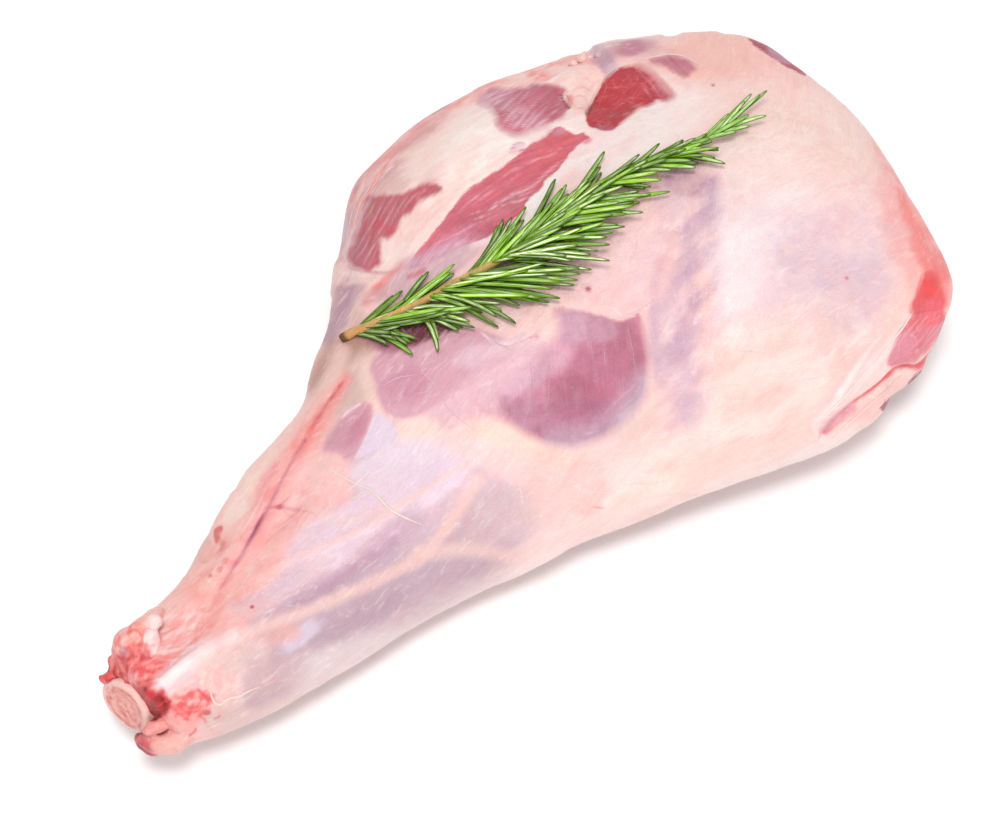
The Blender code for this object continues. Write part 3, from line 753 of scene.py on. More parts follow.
def paint_leg(P, nrm):
    """All the colours, muscles and folds of the leg, on any mesh of it."""
    P.blush = np.full(len(P.p), 0.25)
    N3 = lambda size, seed, oct=3: vnoise(P.p, size, seed, oct)

    # ---- grounds that go all round: fat, thin skin over muscle, the pressed underside
    c = lambda v: np.array(v, float) / 255
    P.base[:] = c(FAT)
    w = ease(N3(46, 5) * 1.6 + 0.30)[:, None]
    P.base = P.base * (1 - 0.55 * w) + c(LILAC_GREY) * 0.55 * w
    w = ease(N3(30, 8) * 1.8 + 0.1)[:, None]
    P.base = P.base * (1 - 0.45 * w) + c(FAT_LIGHT) * 0.45 * w
    w = ease(N3(22, 9) * 2.0 - 0.35)[:, None]
    P.base = P.base * (1 - 0.5 * w) + c(SALMON) * 0.5 * w
    under = ease((-nrm[:, 2] - 0.35) / 0.4)[:, None]
    P.base = P.base * (1 - 0.6 * under) + c((240, 204, 196)) * 0.6 * under

    # ---- the sheet's own grounds
    T = P.top
    P.to(T, FAT, 0.9)

    # shank: thin lilac skin over the muscles, fleshy pink along the far edge
    P.to(P.poly([(205, 700), (180, 740), (260, 740), (400, 670), (520, 590), (560, 520), (520, 470), (440, 430),
                 (380, 420), (330, 470), (285, 540), (235, 610)], 26), (229, 201, 210))
    P.to(P.poly([(120, 650), (200, 560), (225, 480), (300, 400), (330, 330), (345, 330), (350, 400), (300, 480),
                 (262, 560), (215, 650), (150, 690)], 14), (249, 203, 194))
    P.to(P.blob(215, 560, 22, 34, 55, 0.9), (229, 182, 176), 0.75)
    P.to(P.blob(190, 595, 26, 34, 55, 0.9), (247, 186, 176), 0.8)
    P.to(P.blob(300, 450, 16, 46, -30, 0.9), (249, 186, 180), 0.85)
    P.to(P.blob(256, 540, 15, 50, -32, 0.9), (251, 192, 188), 0.9)
    P.to(P.blob(285, 465, 9, 40, -30, 0.9), (244, 168, 166), 0.7)
    P.to(P.blob(240, 503, 9, 26, -32, 0.8), (251, 226, 215), 0.85)
    P.to(P.blob(262, 455, 12, 30, -35, 0.9), (251, 215, 203), 0.8)
    P.to(P.poly([(332, 318), (352, 300), (376, 330), (386, 372), (372, 398), (345, 412), (318, 420), (305, 408), (318, 360)],
                16), (229, 196, 189))
    P.to(P.blob(330, 325, 16, 30, 20, 0.9), (211, 184, 188), 0.85)
    P.to(P.blob(352, 350, 18, 26, 20, 0.9), (236, 203, 192), 0.8)
    P.to(P.blob(372, 372, 12, 30, -8, 0.9), (250, 222, 208), 0.8)
    # pink flesh between the vein and the lilac muscles
    P.to(P.poly([(212, 655), (232, 600), (262, 545), (300, 480), (335, 440), (352, 470), (330, 500), (300, 545), (270, 600),
                 (235, 655)], 26, 4, 14), (251, 197, 191), 0.85)
    P.to(P.blob(322, 480, 20, 34, 40, 0.9), (250, 196, 190), 0.9)
    P.to(P.blob(262, 590, 10, 34, 40, 0.9), (252, 205, 199), 0.7)
    P.to(P.poly([(352, 470), (392, 440), (470, 425), (500, 446), (470, 470), (415, 520), (385, 512), (360, 490)], 12),
         (240, 224, 234), 0.8)
    P.to(P.blob(315, 545, 34, 20, 42, 0.9), (238, 214, 224), 0.9)
    P.to(P.blob(300, 575, 34, 12, 40, 0.9), (241, 214, 219), 0.7)
    P.to(P.blob(352, 520, 42, 16, 40, 0.9), (238, 214, 226), 0.9)
    P.to(P.blob(435, 470, 34, 20, 38, 0.9), (237, 218, 231), 0.9)
    P.to(P.blob(420, 445, 44, 16, 10, 0.9), (243, 228, 237), 0.7)
    P.to(P.blob(478, 522, 40, 22, 45, 0.9), (217, 187, 192), 0.9)
    P.to(P.blob(440, 520, 26, 14, 45, 0.9), (222, 194, 204), 0.8)
    # the dark mauve band between the two pale strips, and the lower muscle
    P.to(P.line([(262, 628), (300, 604), (345, 578), (385, 548), (412, 520)], 26, 22), (206, 176, 190), 0.85)
    P.to(P.line([(300, 604), (336, 583), (368, 560), (392, 542)], 13, 12), (192, 156, 174), 0.7)
    P.to(P.line([(235, 606), (262, 596), (300, 570)], 14, 14), (222, 200, 212), 0.7)
    P.to(P.line([(244, 678), (300, 645), (360, 606), (430, 566), (490, 560)], 52, 30), (206, 177, 187), 0.9)
    P.to(P.line([(270, 676), (330, 640), (400, 598)], 18, 20), (195, 165, 176), 0.55)
    P.to(P.line([(250, 700), (330, 668), (420, 620), (500, 575)], 26, 20), (213, 184, 186), 0.8)
    P.to(P.line([(205, 735), (290, 702), (390, 655), (480, 603), (540, 566)], 12, 14), (240, 213, 206), 0.8)
    P.to(P.blob(300, 636, 24, 9, 38, 0.9), (236, 218, 232), 0.9)
    P.to(P.blob(350, 546, 30, 9, 40, 0.9), (240, 222, 234), 0.6)
    # pale strips of fascia along the shank
    P.to(P.line([(252, 577), (300, 556), (354, 533), (399, 507), (440, 480), (470, 462)], 6, 7, 1.5), (251, 213, 207), 0.75)
    P.to(P.line([(214, 645), (284, 620), (367, 585), (424, 553), (452, 520), (478, 480)], 13, 11, 2), (251, 212, 205), 0.9)
    P.to(P.line([(421, 554), (452, 549), (486, 551), (520, 556), (560, 545)], 15, 15, 2), (250, 213, 206), 0.85)
    P.to(P.line([(240, 648), (268, 640), (292, 632)], 16, 12, 2), (249, 190, 184), 0.75)
    P.to(P.line([(300, 500), (340, 520), (385, 512)], 8, 10, 1.5), (243, 213, 208), 0.6)
    # hock: pale pink skin, bright tendon, blood-stained patches
    P.to(P.poly([(108, 650), (135, 615), (165, 615), (205, 600), (225, 630), (240, 670), (238, 712), (190, 752), (140, 755),
                 (118, 720)], 14), (250, 208, 204))
    P.to(P.blob(180, 665, 34, 14, 42, 0.9), (253, 226, 222), 0.9)
    P.to(P.line([(150, 690), (175, 670), (200, 652), (232, 636)], 17, 9), (255, 240, 238), 0.95)
    P.to(P.blob(222, 668, 22, 20, 20, 0.9), (250, 215, 206), 0.9)
    P.to(P.blob(252, 664, 26, 30, 20, 1.0), (244, 212, 208), 0.8)
    P.to(P.blob(178, 718, 26, 20, 20, 0.9), (249, 178, 172), 0.9)
    P.to(P.blob(160, 742, 24, 9, 18, 0.9), (249, 219, 213), 0.9)
    P.to(P.blob(225, 718, 26, 16, 22, 0.9), (236, 204, 199), 0.9)
    P.to(P.blob(205, 620, 20, 12, 50, 0.9), (245, 196, 190), 0.8)
    P.to(P.line([(128, 668), (150, 662), (176, 648)], 12, 10, 2), (238, 120, 120), 0.7)
    P.to(P.line([(140, 676), (152, 668), (166, 664)], 8, 8, 1.5), (222, 84, 88), 0.65)
    P.to(P.blob(190, 704, 17, 12, 20, 0.9, 0.5, 6, 3), (240, 122, 116), 0.7)
    P.to(P.blob(178, 700, 7, 6, 0, 0.9, 0.5, 5, 4), (236, 106, 102), 0.6)
    P.to(P.blob(200, 697, 5, 4, 0, 0.9, 0.4, 5, 5), (220, 76, 80), 0.75)
    P.to(P.blob(206, 712, 5, 3, 0, 0.8, 0.2, 7, 6), (190, 60, 70), 0.8)
    P.to(P.blob(150, 698, 22, 16, -50, 0.5, 0.2, 9, 7), (196, 46, 50), 0.95)
    P.to(P.blob(152, 700, 12, 9, -50, 0.6, 0.2, 9, 8), (148, 26, 32), 0.9)
    P.to(P.line([(150, 718), (160, 712), (170, 704)], 7, 5), (140, 26, 32), 0.8)

    # thigh and rump grounds
    P.to(P.poly([(380, 300), (470, 250), (560, 215), (700, 150), (730, 200), (715, 300), (700, 420), (640, 500), (560, 540),
                 (500, 480), (420, 430), (375, 380)], 30), (254, 218, 213), 0.9)
    P.to(P.blob(690, 420, 70, 110, 12, 0.9), (254, 218, 210), 0.9)
    P.to(P.blob(600, 500, 70, 30, 25, 0.9), (255, 220, 216), 0.9)
    P.to(P.blob(565, 545, 60, 24, 25, 0.9), (255, 224, 219), 0.9)
    P.to(P.blob(640, 498, 70, 16, 24, 0.9), (255, 233, 226), 0.8)
    P.to(P.blob(540, 498, 34, 26, 30, 0.9), (240, 208, 204), 0.8)
    P.to(P.blob(500, 505, 26, 24, 45, 0.9), (226, 201, 206), 0.8)
    P.to(P.blob(508, 436, 60, 14, -18, 0.9), (253, 222, 208), 0.9)
    P.to(P.blob(430, 424, 42, 14, 10, 0.9), (254, 230, 220), 0.9)
    P.to(P.blob(560, 458, 30, 10, -10, 0.9), (252, 212, 200), 0.8)
    P.to(P.blob(800, 130, 120, 80, -30, 0.9), (255, 221, 213), 0.95)
    P.to(P.blob(720, 55, 60, 26, 0, 0.9), (253, 202, 190), 0.9)
    P.to(P.blob(770, 82, 34, 34, 0, 0.9), (253, 206, 197), 0.8)
    P.to(P.blob(680, 120, 40, 34, 20, 0.9), (254, 223, 219), 0.9)
    P.to(P.blob(775, 340, 110, 60, -12, 0.9), (250, 219, 212), 0.9)
    P.to(P.blob(760, 420, 90, 44, 18, 0.9), (255, 219, 212), 0.9)
    P.to(P.blob(735, 465, 60, 20, 22, 0.9), (254, 228, 220), 0.8)
    # painted highlight: the near-white patch on the rump's dome stands in for the broad sheen of the light
    P.to(P.blob(745, 258, 50, 74, -8, 1.0), (250, 229, 230), 0.95)
    P.to(P.blob(738, 265, 24, 44, -8, 1.0), (252, 236, 238), 0.8)
    P.to(P.blob(838, 262, 52, 74, -14, 0.9), (241, 215, 221), 0.9)
    P.to(P.blob(812, 215, 34, 26, -20, 0.9, 0.2), (240, 211, 217), 0.8)
    P.to(P.blob(852, 285, 34, 34, -20, 0.9, 0.2), (231, 203, 208), 0.7)
    P.to(P.blob(790, 300, 34, 20, 0, 0.9), (240, 214, 218), 0.6)
    P.to(P.blob(912, 236, 26, 84, 22, 0.9), (252, 190, 184), 0.85)
    P.to(P.blob(926, 238, 15, 62, 20, 0.9), (249, 152, 148), 0.9)
    P.to(P.blob(932, 300, 12, 40, -8, 0.9), (243, 128, 128), 0.8)
    P.to(P.blob(850, 400, 80, 20, 44, 0.9), (255, 230, 225), 0.9)
    P.to(P.blob(835, 430, 70, 26, 30, 0.9), (255, 218, 211), 0.9)
    P.to(P.blob(700, 180, 34, 60, -10, 0.9), (246, 212, 214), 0.6)
    P.to(P.blob(600, 160, 50, 26, 30, 0.9), (243, 210, 205), 0.9)
    P.to(P.blob(640, 145, 34, 20, 30, 0.9), (252, 222, 216), 0.9)

    vein_ = ease(vnoise(P.p, 6, 231, 4) * 1.4 + 0.4)[:, None] * (0.45 * P.blob(835, 260, 62, 84, -14, 0.9))[:, None]
    P.base = P.base * (1 - vein_) + c((220, 200, 216)) * vein_
    # far side: cream fat between the bare muscles
    P.to(P.poly([(345, 200), (400, 130), (480, 78), (560, 56), (590, 60), (600, 90), (585, 140), (500, 170), (440, 210),
                 (400, 270), (370, 300), (345, 290)], 16), (252, 226, 220), 0.95)
    P.to(P.poly([(338, 250), (352, 190), (380, 150), (420, 124), (436, 134), (400, 170), (372, 215), (360, 262)], 12),
         (221, 186, 180), 0.85)
    P.to(P.line([(352, 200), (382, 152), (408, 128), (440, 108), (478, 84)], 12, 8, 2), (238, 168, 162), 0.8)
    P.to(P.line([(412, 128), (392, 152), (372, 184), (358, 224)], 6, 5, 1), (247, 178, 170), 0.8)
    P.to(P.blob(352, 240, 14, 34, -14, 0.9), (206, 178, 186), 0.85)
    P.to(P.blob(345, 270, 12, 22, -10, 0.9), (226, 196, 196), 0.8)
    P.to(P.blob(430, 158, 44, 18, 40, 0.9), (249, 226, 216), 0.9)
    P.to(P.blob(455, 138, 34, 16, 35, 0.9), (250, 219, 209), 0.8)
    P.to(P.blob(395, 178, 20, 14, 30, 0.9), (226, 188, 184), 0.7)
    P.to(P.blob(440, 172, 24, 9, 30, 0.9), (196, 150, 168), 0.75)
    P.to(P.blob(478, 158, 20, 24, 30, 0.9), (255, 236, 230), 0.9)
    P.to(P.line([(372, 270), (404, 246), (440, 206), (470, 180)], 20, 14, 2), (253, 228, 222), 0.9)
    P.to(P.line([(366, 300), (380, 288), (404, 262)], 11, 10, 2), (246, 160, 152), 0.8)
    P.to(P.blob(380, 290, 8, 7, 30, 0.9, 0.4, 6), (238, 108, 104), 0.7)
    P.to(P.blob(352, 290, 16, 14, 0, 0.9), (216, 182, 182), 0.8)
    # mauve skin darkened in the hollow left of the sprig's foot: painted shade
    P.to(P.line([(328, 338), (336, 318), (343, 300), (350, 284)], 15, 12, 1.5), (182, 148, 162), 0.85)
    P.to(P.line([(336, 330), (346, 308), (356, 292)], 4, 5, 1), (206, 178, 190), 0.6)
    # painted shadow: the sprig's shadow and the shade of the valley under its stem
    P.to(P.line([(314, 382), (342, 352), (375, 336), (402, 330)], 24, 20, 2), (190, 150, 136), 0.85)
    P.to(P.poly([(334, 276), (337, 266), (346, 262), (362, 269), (384, 273), (374, 281), (352, 285), (338, 286)], 5, 1.5), (243, 213, 206), 0.85)
    # painted shadow: a dark line under the edge of the cream lump
    P.to(P.line([(349, 267), (366, 271), (384, 273), (398, 270)], 2.6, 3), (190, 140, 150), 0.7)
    P.lift += 1.2 * P.line([(338, 266), (335, 280), (333, 292)], 9, 9) - 1.2 * P.line([(340, 322), (346, 304)], 12, 14)
    P.to(P.blob(385, 292, 16, 8, 20, 0.9), (218, 180, 182), 0.8)
    P.to(P.poly([(400, 262), (440, 250), (476, 236), (488, 240), (462, 268), (430, 290), (395, 300)], 10), (217, 184, 192), 0.85)
    P.to(P.line([(409, 277), (424, 270)], 5, 4), (214, 132, 146), 0.8)
    P.to(P.blob(525, 76, 46, 12, 18, 0.9), (250, 196, 186), 0.8)
    P.to(P.blob(540, 74, 14, 6, 10, 0.9, 0.3, 8), (243, 152, 146), 0.6)
    P.to(P.blob(585, 84, 20, 28, 0, 0.9), (253, 216, 207), 0.9)
    P.to(P.blob(603, 64, 14, 12, 0, 0.9), (205, 168, 180), 0.8)
    P.to(P.blob(632, 50, 26, 7, 5, 0.9), (199, 152, 164), 0.8)
    P.to(P.blob(655, 62, 40, 12, 0, 0.9), (240, 198, 192), 0.7)
    P.to(P.blob(587, 144, 22, 12, 20, 0.9), (244, 208, 208), 0.8)

    # valley beside the sprig: lilac bands showing through
    P.to(P.poly([(655, 176), (690, 166), (716, 172), (714, 220), (704, 270), (694, 320), (668, 330), (650, 300), (640, 330),
                 (622, 300), (650, 240)], 22, 6, 24), (238, 204, 210), 0.75)
    P.to(P.blob(688, 182, 28, 14, 0, 0.9), (196, 152, 166), 0.75)
    P.to(P.blob(706, 204, 8, 30, 5, 0.9, 0.2), (220, 182, 194), 0.7)
    P.to(P.blob(692, 262, 9, 38, 8, 0.9, 0.25), (218, 184, 196), 0.75)
    P.to(P.blob(668, 296, 8, 28, 5, 0.8, 0.2), (216, 182, 195), 0.8)
    P.to(P.blob(650, 275, 7, 30, 5, 0.8, 0.2), (222, 188, 198), 0.6)
    P.to(P.line([(676, 232), (672, 280), (670, 330)], 6, 7), (250, 210, 200), 0.7)
    P.to(P.line([(702, 250), (692, 310), (690, 350)], 6, 8), (250, 209, 198), 0.7)
    P.to(P.blob(600, 262, 40, 20, 30, 0.9), (250, 214, 214), 0.8)
    P.to(P.blob(628, 300, 26, 14, 0, 0.9), (251, 210, 208), 0.8)
    P.to(P.blob(660, 340, 20, 40, 8, 0.9), (229, 198, 200), 0.7)
    P.to(P.blob(676, 380, 22, 40, 10, 0.9), (236, 205, 198), 0.7)
    P.to(P.blob(694, 408, 12, 16, -20, 0.9), (215, 196, 200), 0.6)
    P.to(P.blob(640, 425, 34, 14, 30, 0.9), (236, 208, 202), 0.8)

    P.to(P.line([(648, 268), (645, 300), (645, 340), (650, 372)], 6, 6, 1), (251, 212, 206), 0.8)
    P.to(P.line([(660, 262), (655, 300), (655, 340), (658, 376)], 7, 6, 1), (222, 188, 198), 0.8)
    P.to(P.line([(668, 262), (662, 300), (662, 340), (666, 380)], 4.5, 5, 1), (250, 214, 206), 0.75)
    P.to(P.line([(686, 244), (679, 290), (676, 330), (680, 376)], 13, 14, 2.5), (224, 192, 202), 0.7)
    P.to(P.blob(693, 296, 7, 16, 5, 0.9, 0.2), (206, 164, 182), 0.7)
    P.to(P.line([(708, 282), (704, 330), (702, 378)], 12, 10, 1.5), (251, 208, 194), 0.8)
    P.to(P.blob(690, 419, 9, 10, -20, 0.9), (216, 198, 208), 0.7)
    P.to(P.poly([(567, 468), (584, 458), (602, 462), (607, 486), (600, 510), (580, 516), (568, 500)], 12), (251, 206, 202), 0.7)
    P.to(P.line([(625, 500), (652, 486), (684, 478), (706, 466)], 18, 14, 2), (254, 226, 214), 0.8)

    # pale mauve muscle seen through thick skin, left of the big one
    P.to(P.poly([(378, 352), (376, 380), (380, 404), (396, 418), (420, 414), (446, 402), (470, 386), (500, 366), (520, 352),
                 (505, 340), (480, 330), (440, 338)], 9, 2, 14), (219, 170, 186), 0.9)
    P.to(P.blob(408, 385, 26, 18, 30, 0.9), (208, 150, 170), 0.7)
    P.to(P.blob(480, 356, 24, 12, 20, 0.9), (236, 204, 216), 0.8)
    P.to(P.blob(500, 388, 24, 14, 40, 0.9), (240, 205, 213), 0.8)
    P.to(P.blob(520, 345, 26, 12, 20, 0.9), (243, 214, 218), 0.9)
    # dark mauve muscle under the foot of the sprig, with the sprig's painted shadow darkest over it
    P.to(P.poly([(372, 318), (392, 306), (420, 300), (446, 306), (452, 322), (436, 336), (408, 348), (384, 352), (372, 338)],
                12, 2, 12), (196, 138, 154), 0.9)
    P.to(P.blob(414, 328, 40, 17, 14, 0.9), (146, 84, 102), 0.85)
    P.to(P.blob(426, 330, 26, 12, 10, 0.9), (112, 58, 70), 0.8)
    P.to(P.poly([(424, 414), (452, 390), (488, 362), (520, 346), (552, 350), (534, 386), (498, 412), (454, 426)], 24, 3, 14),
         (232, 192, 202), 0.8)
    # mauve patch under the knee, soft to the left and sharp to the right
    P.to(P.blob(344, 434, 24, 15, 48, 0.9), (222, 176, 186), 0.85)
    P.to(P.poly([(324, 451), (337, 454), (346, 461), (356, 454), (365, 436), (371, 420), (373, 407), (363, 403), (352, 410),
                 (340, 424), (328, 438)], 7, 1.6, 8), (212, 158, 174), 0.75)
    P.to(P.blob(358, 428, 7, 20, -30, 0.9, 0.2), (202, 138, 156), 0.55)
    P.to(P.poly([(376, 412), (386, 419), (394, 426), (398, 436), (390, 444), (374, 451), (358, 458), (366, 438)], 2.6, 0.6, 8),
         (236, 222, 238), 0.9)
    # painted highlight along the upper edge of the mauve patch
    P.to(P.line([(343, 417), (350, 410), (360, 404)], 2.4, 2.4), (255, 238, 240), 0.8)
    P.to(P.line([(356, 457), (366, 437), (374, 418)], 1.4, 1.2), (250, 232, 240), 0.8)

    P.to(P.poly([(712, 356), (730, 350), (752, 352), (759, 368), (750, 388), (728, 395), (714, 382)], 14), (243, 214, 204), 0.6)

    # cut end by the chump
    P.to(P.line([(816, 428), (852, 388), (888, 346), (912, 312)], 8, 7, 1), (255, 236, 232), 0.85)
    P.to(P.poly([(848, 408), (866, 392), (884, 382), (905, 372), (900, 390), (878, 412), (850, 430), (826, 440)], 8, 1),
         (252, 212, 204), 0.9)

    # vein and blood down the shank
    VEIN = [(207, 607), (216, 592), (230, 571), (243, 552), (253, 535), (261, 520), (268, 507), (275, 492), (283, 476),
            (292, 459), (303, 441), (319, 416), (331, 398)]
    P.to(P.line(VEIN, 18, 16, 2), (249, 172, 170), 0.65)
    P.to(P.line([(296, 452), (308, 432), (320, 412), (336, 390), (344, 380)], 16, 14, 1.5), (247, 158, 154), 0.8)
    P.to(P.line([(274, 464), (265, 482), (256, 507)], 8, 9, 1.5), (240, 164, 166), 0.7)
    P.to(P.line([(343, 381, 0.4), (334, 393, 0.9), (324, 404, 1.2), (318, 414, 1.2), (312, 424, 0.9), (304, 440, 0.5)], 5.5, 6.5, 1.0),
         (226, 100, 100), 0.8)
    P.to(P.line([(343, 382, 0.4), (336, 390, 0.7), (330, 398, 0.9), (322, 408, 1.0), (317, 417, 0.8), (311, 426, 0.5)], 2.6, 1.8, 0.8), (176, 50, 62), 0.85)
    P.to(P.blob(318, 411, 4.0, 8.5, -32, 0.9, 0.3, 5), (200, 54, 60), 0.75)
    P.to(P.line([(304, 440, 1.0), (296, 452, 0.8), (288, 467, 0.9), (280, 482, 0.7)], 3.2, 3.0, 0.8), (198, 112, 134), 0.85)
    P.to(P.line([(280, 482, 0.6), (272, 499, 0.9), (264, 514, 1.0), (256, 529, 1.2), (248, 543, 1.0), (240, 557, 1.1), (231, 571, 0.8)],
                3.6, 4.0, 0.9), (186, 108, 130), 0.75)
    P.to(P.line([(263, 513, 0.6), (254, 531, 1.0), (243, 551, 0.6)], 2.2, 1.8, 0.8), (150, 70, 98), 0.75)
    P.to(P.line([(236, 562, 0.9), (228, 576, 0.9), (219, 589, 0.7)], 3.4, 3.0, 0.9), (186, 112, 134), 0.8)
    P.to(P.line([(266, 489, 0.5), (258, 505, 1.0), (250, 520, 0.8), (243, 531, 0.5)], 2.0, 1.6, 0.8), (255, 232, 230), 0.7)
    P.to(P.line([(246, 556, 0.5), (238, 570, 0.9), (230, 586, 0.5)], 2.2, 2.0, 0.8), (255, 222, 220), 0.6)
    P.to(P.line([(268, 520, 0.6), (258, 540, 1.0), (246, 562, 0.8), (234, 586, 0.6)], 7, 7, 1.2), (250, 176, 172), 0.55)
    P.to(P.line([(266, 508, 1.0), (274, 507, 1.0), (284, 508, 0.9), (298, 510, 0.8), (314, 513, 0.4)], 2.8, 3.0, 0.8), (208, 128, 138), 0.75)
    P.to(P.line([(279, 507, 1.0), (285, 501, 0.8), (291, 496, 0.5)], 2.4, 2.6), (206, 122, 134), 0.7)
    P.to(P.line([(282, 509, 1.0), (290, 516, 0.7), (300, 525, 0.4)], 2.2, 3.0), (224, 152, 158), 0.6)
    P.to(P.blob(280, 507, 4.0, 2.8, 20, 0.9, 0.3, 5, 3), (172, 76, 92), 0.8)
    P.to(P.blob(304, 440, 2.2, 2.4, 0, 0.9), (160, 66, 88), 0.5)
    P.to(P.blob(252, 607, 2.2, 1.7, 30, 0.9), (196, 70, 84), 0.85)
    # the far edge's soft cream lump and rosy skin
    P.to(P.line([(342, 352), (334, 372), (320, 396), (306, 414), (288, 436), (268, 458), (250, 476)], 16, 12, 2), (253, 220, 210), 0.75)
    P.to(P.poly([(246, 474), (236, 488), (228, 506), (224, 522), (232, 520), (244, 502), (254, 486), (258, 472)], 9, 1.5), (255, 228, 216), 0.8)
    P.to(P.line([(226, 500), (218, 516), (213, 530)], 6, 6, 1), (250, 206, 196), 0.7)
    P.to(P.line([(208, 556), (198, 574), (186, 592), (172, 606)], 16, 12, 2), (251, 196, 186), 0.7)
    P.lift += -2.8 * P.line([(203, 557), (211, 549), (217, 542)], 7, 9)
    P.lift += 0.9 * P.line([(232, 496), (222, 514), (216, 530)], 9, 9)
    def mottled(mask, one, two, cell, seed, strength, stretch=0.55):
        n_ = ease(vnoise(P.p * np.array([stretch, 1.0, 1.0]), cell, seed, 4) * 1.5 + 0.5)[:, None]
        col_ = np.array(one) / 255 * n_ + np.array(two) / 255 * (1 - n_)
        m_ = (mask * strength)[:, None]
        P.base = P.base * (1 - m_) + col_ * m_

    P.mottled = mottled
    mottled(P.line([(160, 640), (190, 618), (214, 590), (236, 560)], 44, 26, 3), (244, 150, 144), (255, 216, 206), 4.0, 211, 0.45)
    mottled(P.line([(214, 640), (236, 600), (258, 566), (280, 530), (300, 500)], 24, 22, 3), (246, 160, 156), (255, 214, 208), 4.5, 212, 0.40)
    mottled(P.line([(262, 500), (284, 464), (306, 430), (326, 404)], 22, 18, 2), (242, 150, 148), (253, 210, 202), 4.0, 213, 0.35)
    # small tears in the skin beside it
    P.to(P.poly([(214, 534), (218, 529), (223, 527), (222, 533), (217, 539), (213, 541)], 2.4, 1.4, 3, 3, 3), (206, 100, 100), 0.75)
    P.to(P.line([(212, 542, 0.5), (211, 536, 1.0), (215, 530, 0.7)], 2.0, 2.0), (255, 226, 216), 0.6)
    P.to(P.blob(222, 545, 3.2, 6, -30, 0.9, 0.3, 6), (226, 128, 124), 0.6)
    P.to(P.blob(220, 569, 2.4, 3.4, -30, 0.9, 0.4, 4), (214, 92, 92), 0.7)
    P.to(P.blob(211, 576, 2.4, 2.2, 0, 0.9, 0.4, 4), (220, 100, 98), 0.7)
    P.to(P.blob(225, 561, 3.0, 4.5, -30, 0.9, 0.3, 5), (232, 140, 136), 0.5)
    P.to(P.line([(205, 608, 0.4), (203, 612, 0.9), (200, 615, 0.6)], 3.4, 3.0, 1.2), (190, 96, 96), 0.65)
    P.to(P.line([(199, 618, 0.6), (196, 632, 0.8), (196, 646, 0.4)], 2.0, 2.6, 0.8), (214, 160, 168), 0.7)
    P.to(P.line([(206, 604, 0.4), (200, 608, 1.0), (197, 613, 0.4)], 2.0, 1.4), (254, 224, 216), 0.7)

    # far side: bright cream between the muscles, thick lumps of fat between upper and deep
    P.to(P.poly([(400, 172), (432, 138), (462, 116), (480, 112), (498, 130), (508, 142), (488, 164), (460, 184), (440, 180),
                 (420, 180)], 18, 3), (255, 232, 224), 0.7)
    P.to(P.line([(450, 214), (424, 236), (402, 252), (384, 264)], 16, 12, 2), (255, 234, 228), 0.75)
    P.to(P.poly([(572, 84), (582, 72), (596, 66), (606, 72), (600, 84), (594, 98), (586, 112), (574, 118), (570, 104), (567, 94)],
                5, 1, 8), (254, 212, 203), 0.9)
    for row, wide_ in (([(573, 92), (582, 88), (590, 90), (594, 84)], 2.2), ([(572, 104), (579, 110), (585, 106)], 2.0),
                       ([(586, 78), (592, 82), (600, 80)], 2.0), ([(576, 98), (584, 98), (589, 103)], 1.6)):
        P.to(P.line(row, wide_, 2.6, 0.6), (242, 160, 152), 0.5)
        P.lift += -0.25 * P.line(row, wide_ + 1, 4)
    P.lift += 0.7 * P.blob(581, 94, 7, 8, 0, 0.9) + 0.6 * P.blob(592, 74, 8, 6, 0, 0.9) + 0.6 * P.blob(580, 114, 8, 5, 0, 0.9)
    # outline: raised film by the deep muscle, lip under the chump
    P.lift += 1.7 * P.line([(596, 50), (612, 46), (636, 44), (660, 40)], 8, 8) + 1.4 * P.line([(684, 36), (716, 34)], 8, 12)
    P.lift += 2.2 * P.line([(846, 436, 0.1), (866, 422, 0.35), (886, 404, 0.8), (900, 392, 1.0), (914, 376, 1.0), (924, 360, 0.8), (934, 344, 0.3)], 12, 22)

    mottled(P.line([(440, 110), (478, 88), (520, 72), (560, 62), (584, 60)], 18, 14, 2), (240, 134, 128), (253, 218, 208), 4.5, 214, 0.6)
    mottled(P.line([(344, 250), (352, 214), (372, 178), (402, 142), (436, 116)], 26, 16, 2), (218, 140, 142), (240, 204, 204), 4.5, 215, 0.45)
    mottled(P.line([(880, 140), (906, 186), (928, 230), (940, 270)], 24, 18, 2), (240, 132, 130), (252, 196, 188), 6.0, 216, 0.45)
    # painted light: the fat over the far slope is lifted past its own colour (values over 255) to offset the shade the
    # slope falls into
    P.to(P.poly([(566, 154), (600, 134), (640, 110), (660, 104), (664, 140), (640, 180), (592, 182)], 24, 3), (264, 246, 240), 0.5)
    P.to(P.poly([(660, 104), (690, 88), (740, 76), (800, 84), (850, 116), (880, 160), (862, 204), (800, 206),
                 (756, 184), (700, 172), (660, 150)], 30, 3), (266, 234, 227), 0.5)
    P.to(P.poly([(470, 150), (500, 140), (552, 132), (560, 124), (576, 132), (560, 176), (540, 206), (500, 234), (470, 246), (520, 196),
                 (548, 160)], 12, 3), (264, 246, 240), 0.5)
    P.to(P.poly([(440, 150), (476, 124), (496, 134), (500, 150), (470, 176), (440, 190), (428, 172)], 14, 3), (262, 242, 235), 0.45)
    # painted light: the edge underneath the outline nearest the eye, lightened to offset the shade on it
    P.to(P.line([(300, 672), (420, 634), (480, 600), (540, 578), (620, 545), (700, 512), (780, 478), (850, 440)], 36, 24, 3),
         (262, 248, 244), 0.6)
    P.to(P.blob(325, 474, 26, 24, 0, 0.9), (252, 222, 218), 0.45)
    P.to(P.blob(166, 626, 44, 28, 30, 0.9), (254, 224, 218), 0.55)
    P.to(P.blob(276, 672, 30, 18, 20, 0.9), (216, 180, 180), 0.55)
    low_ = P.line([(220, 690), (290, 648), (360, 612), (420, 580), (500, 526)], 74, 30, 3)[:, None]
    P.base = P.base * (1 - low_ * np.array([0.055, 0.035, 0.030]))
    P.to(P.blob(672, 350, 22, 52, 6, 0.9), (214, 182, 200), 0.55)
    P.to(P.blob(500, 522, 44, 22, 20, 0.9), (224, 194, 194), 0.45)
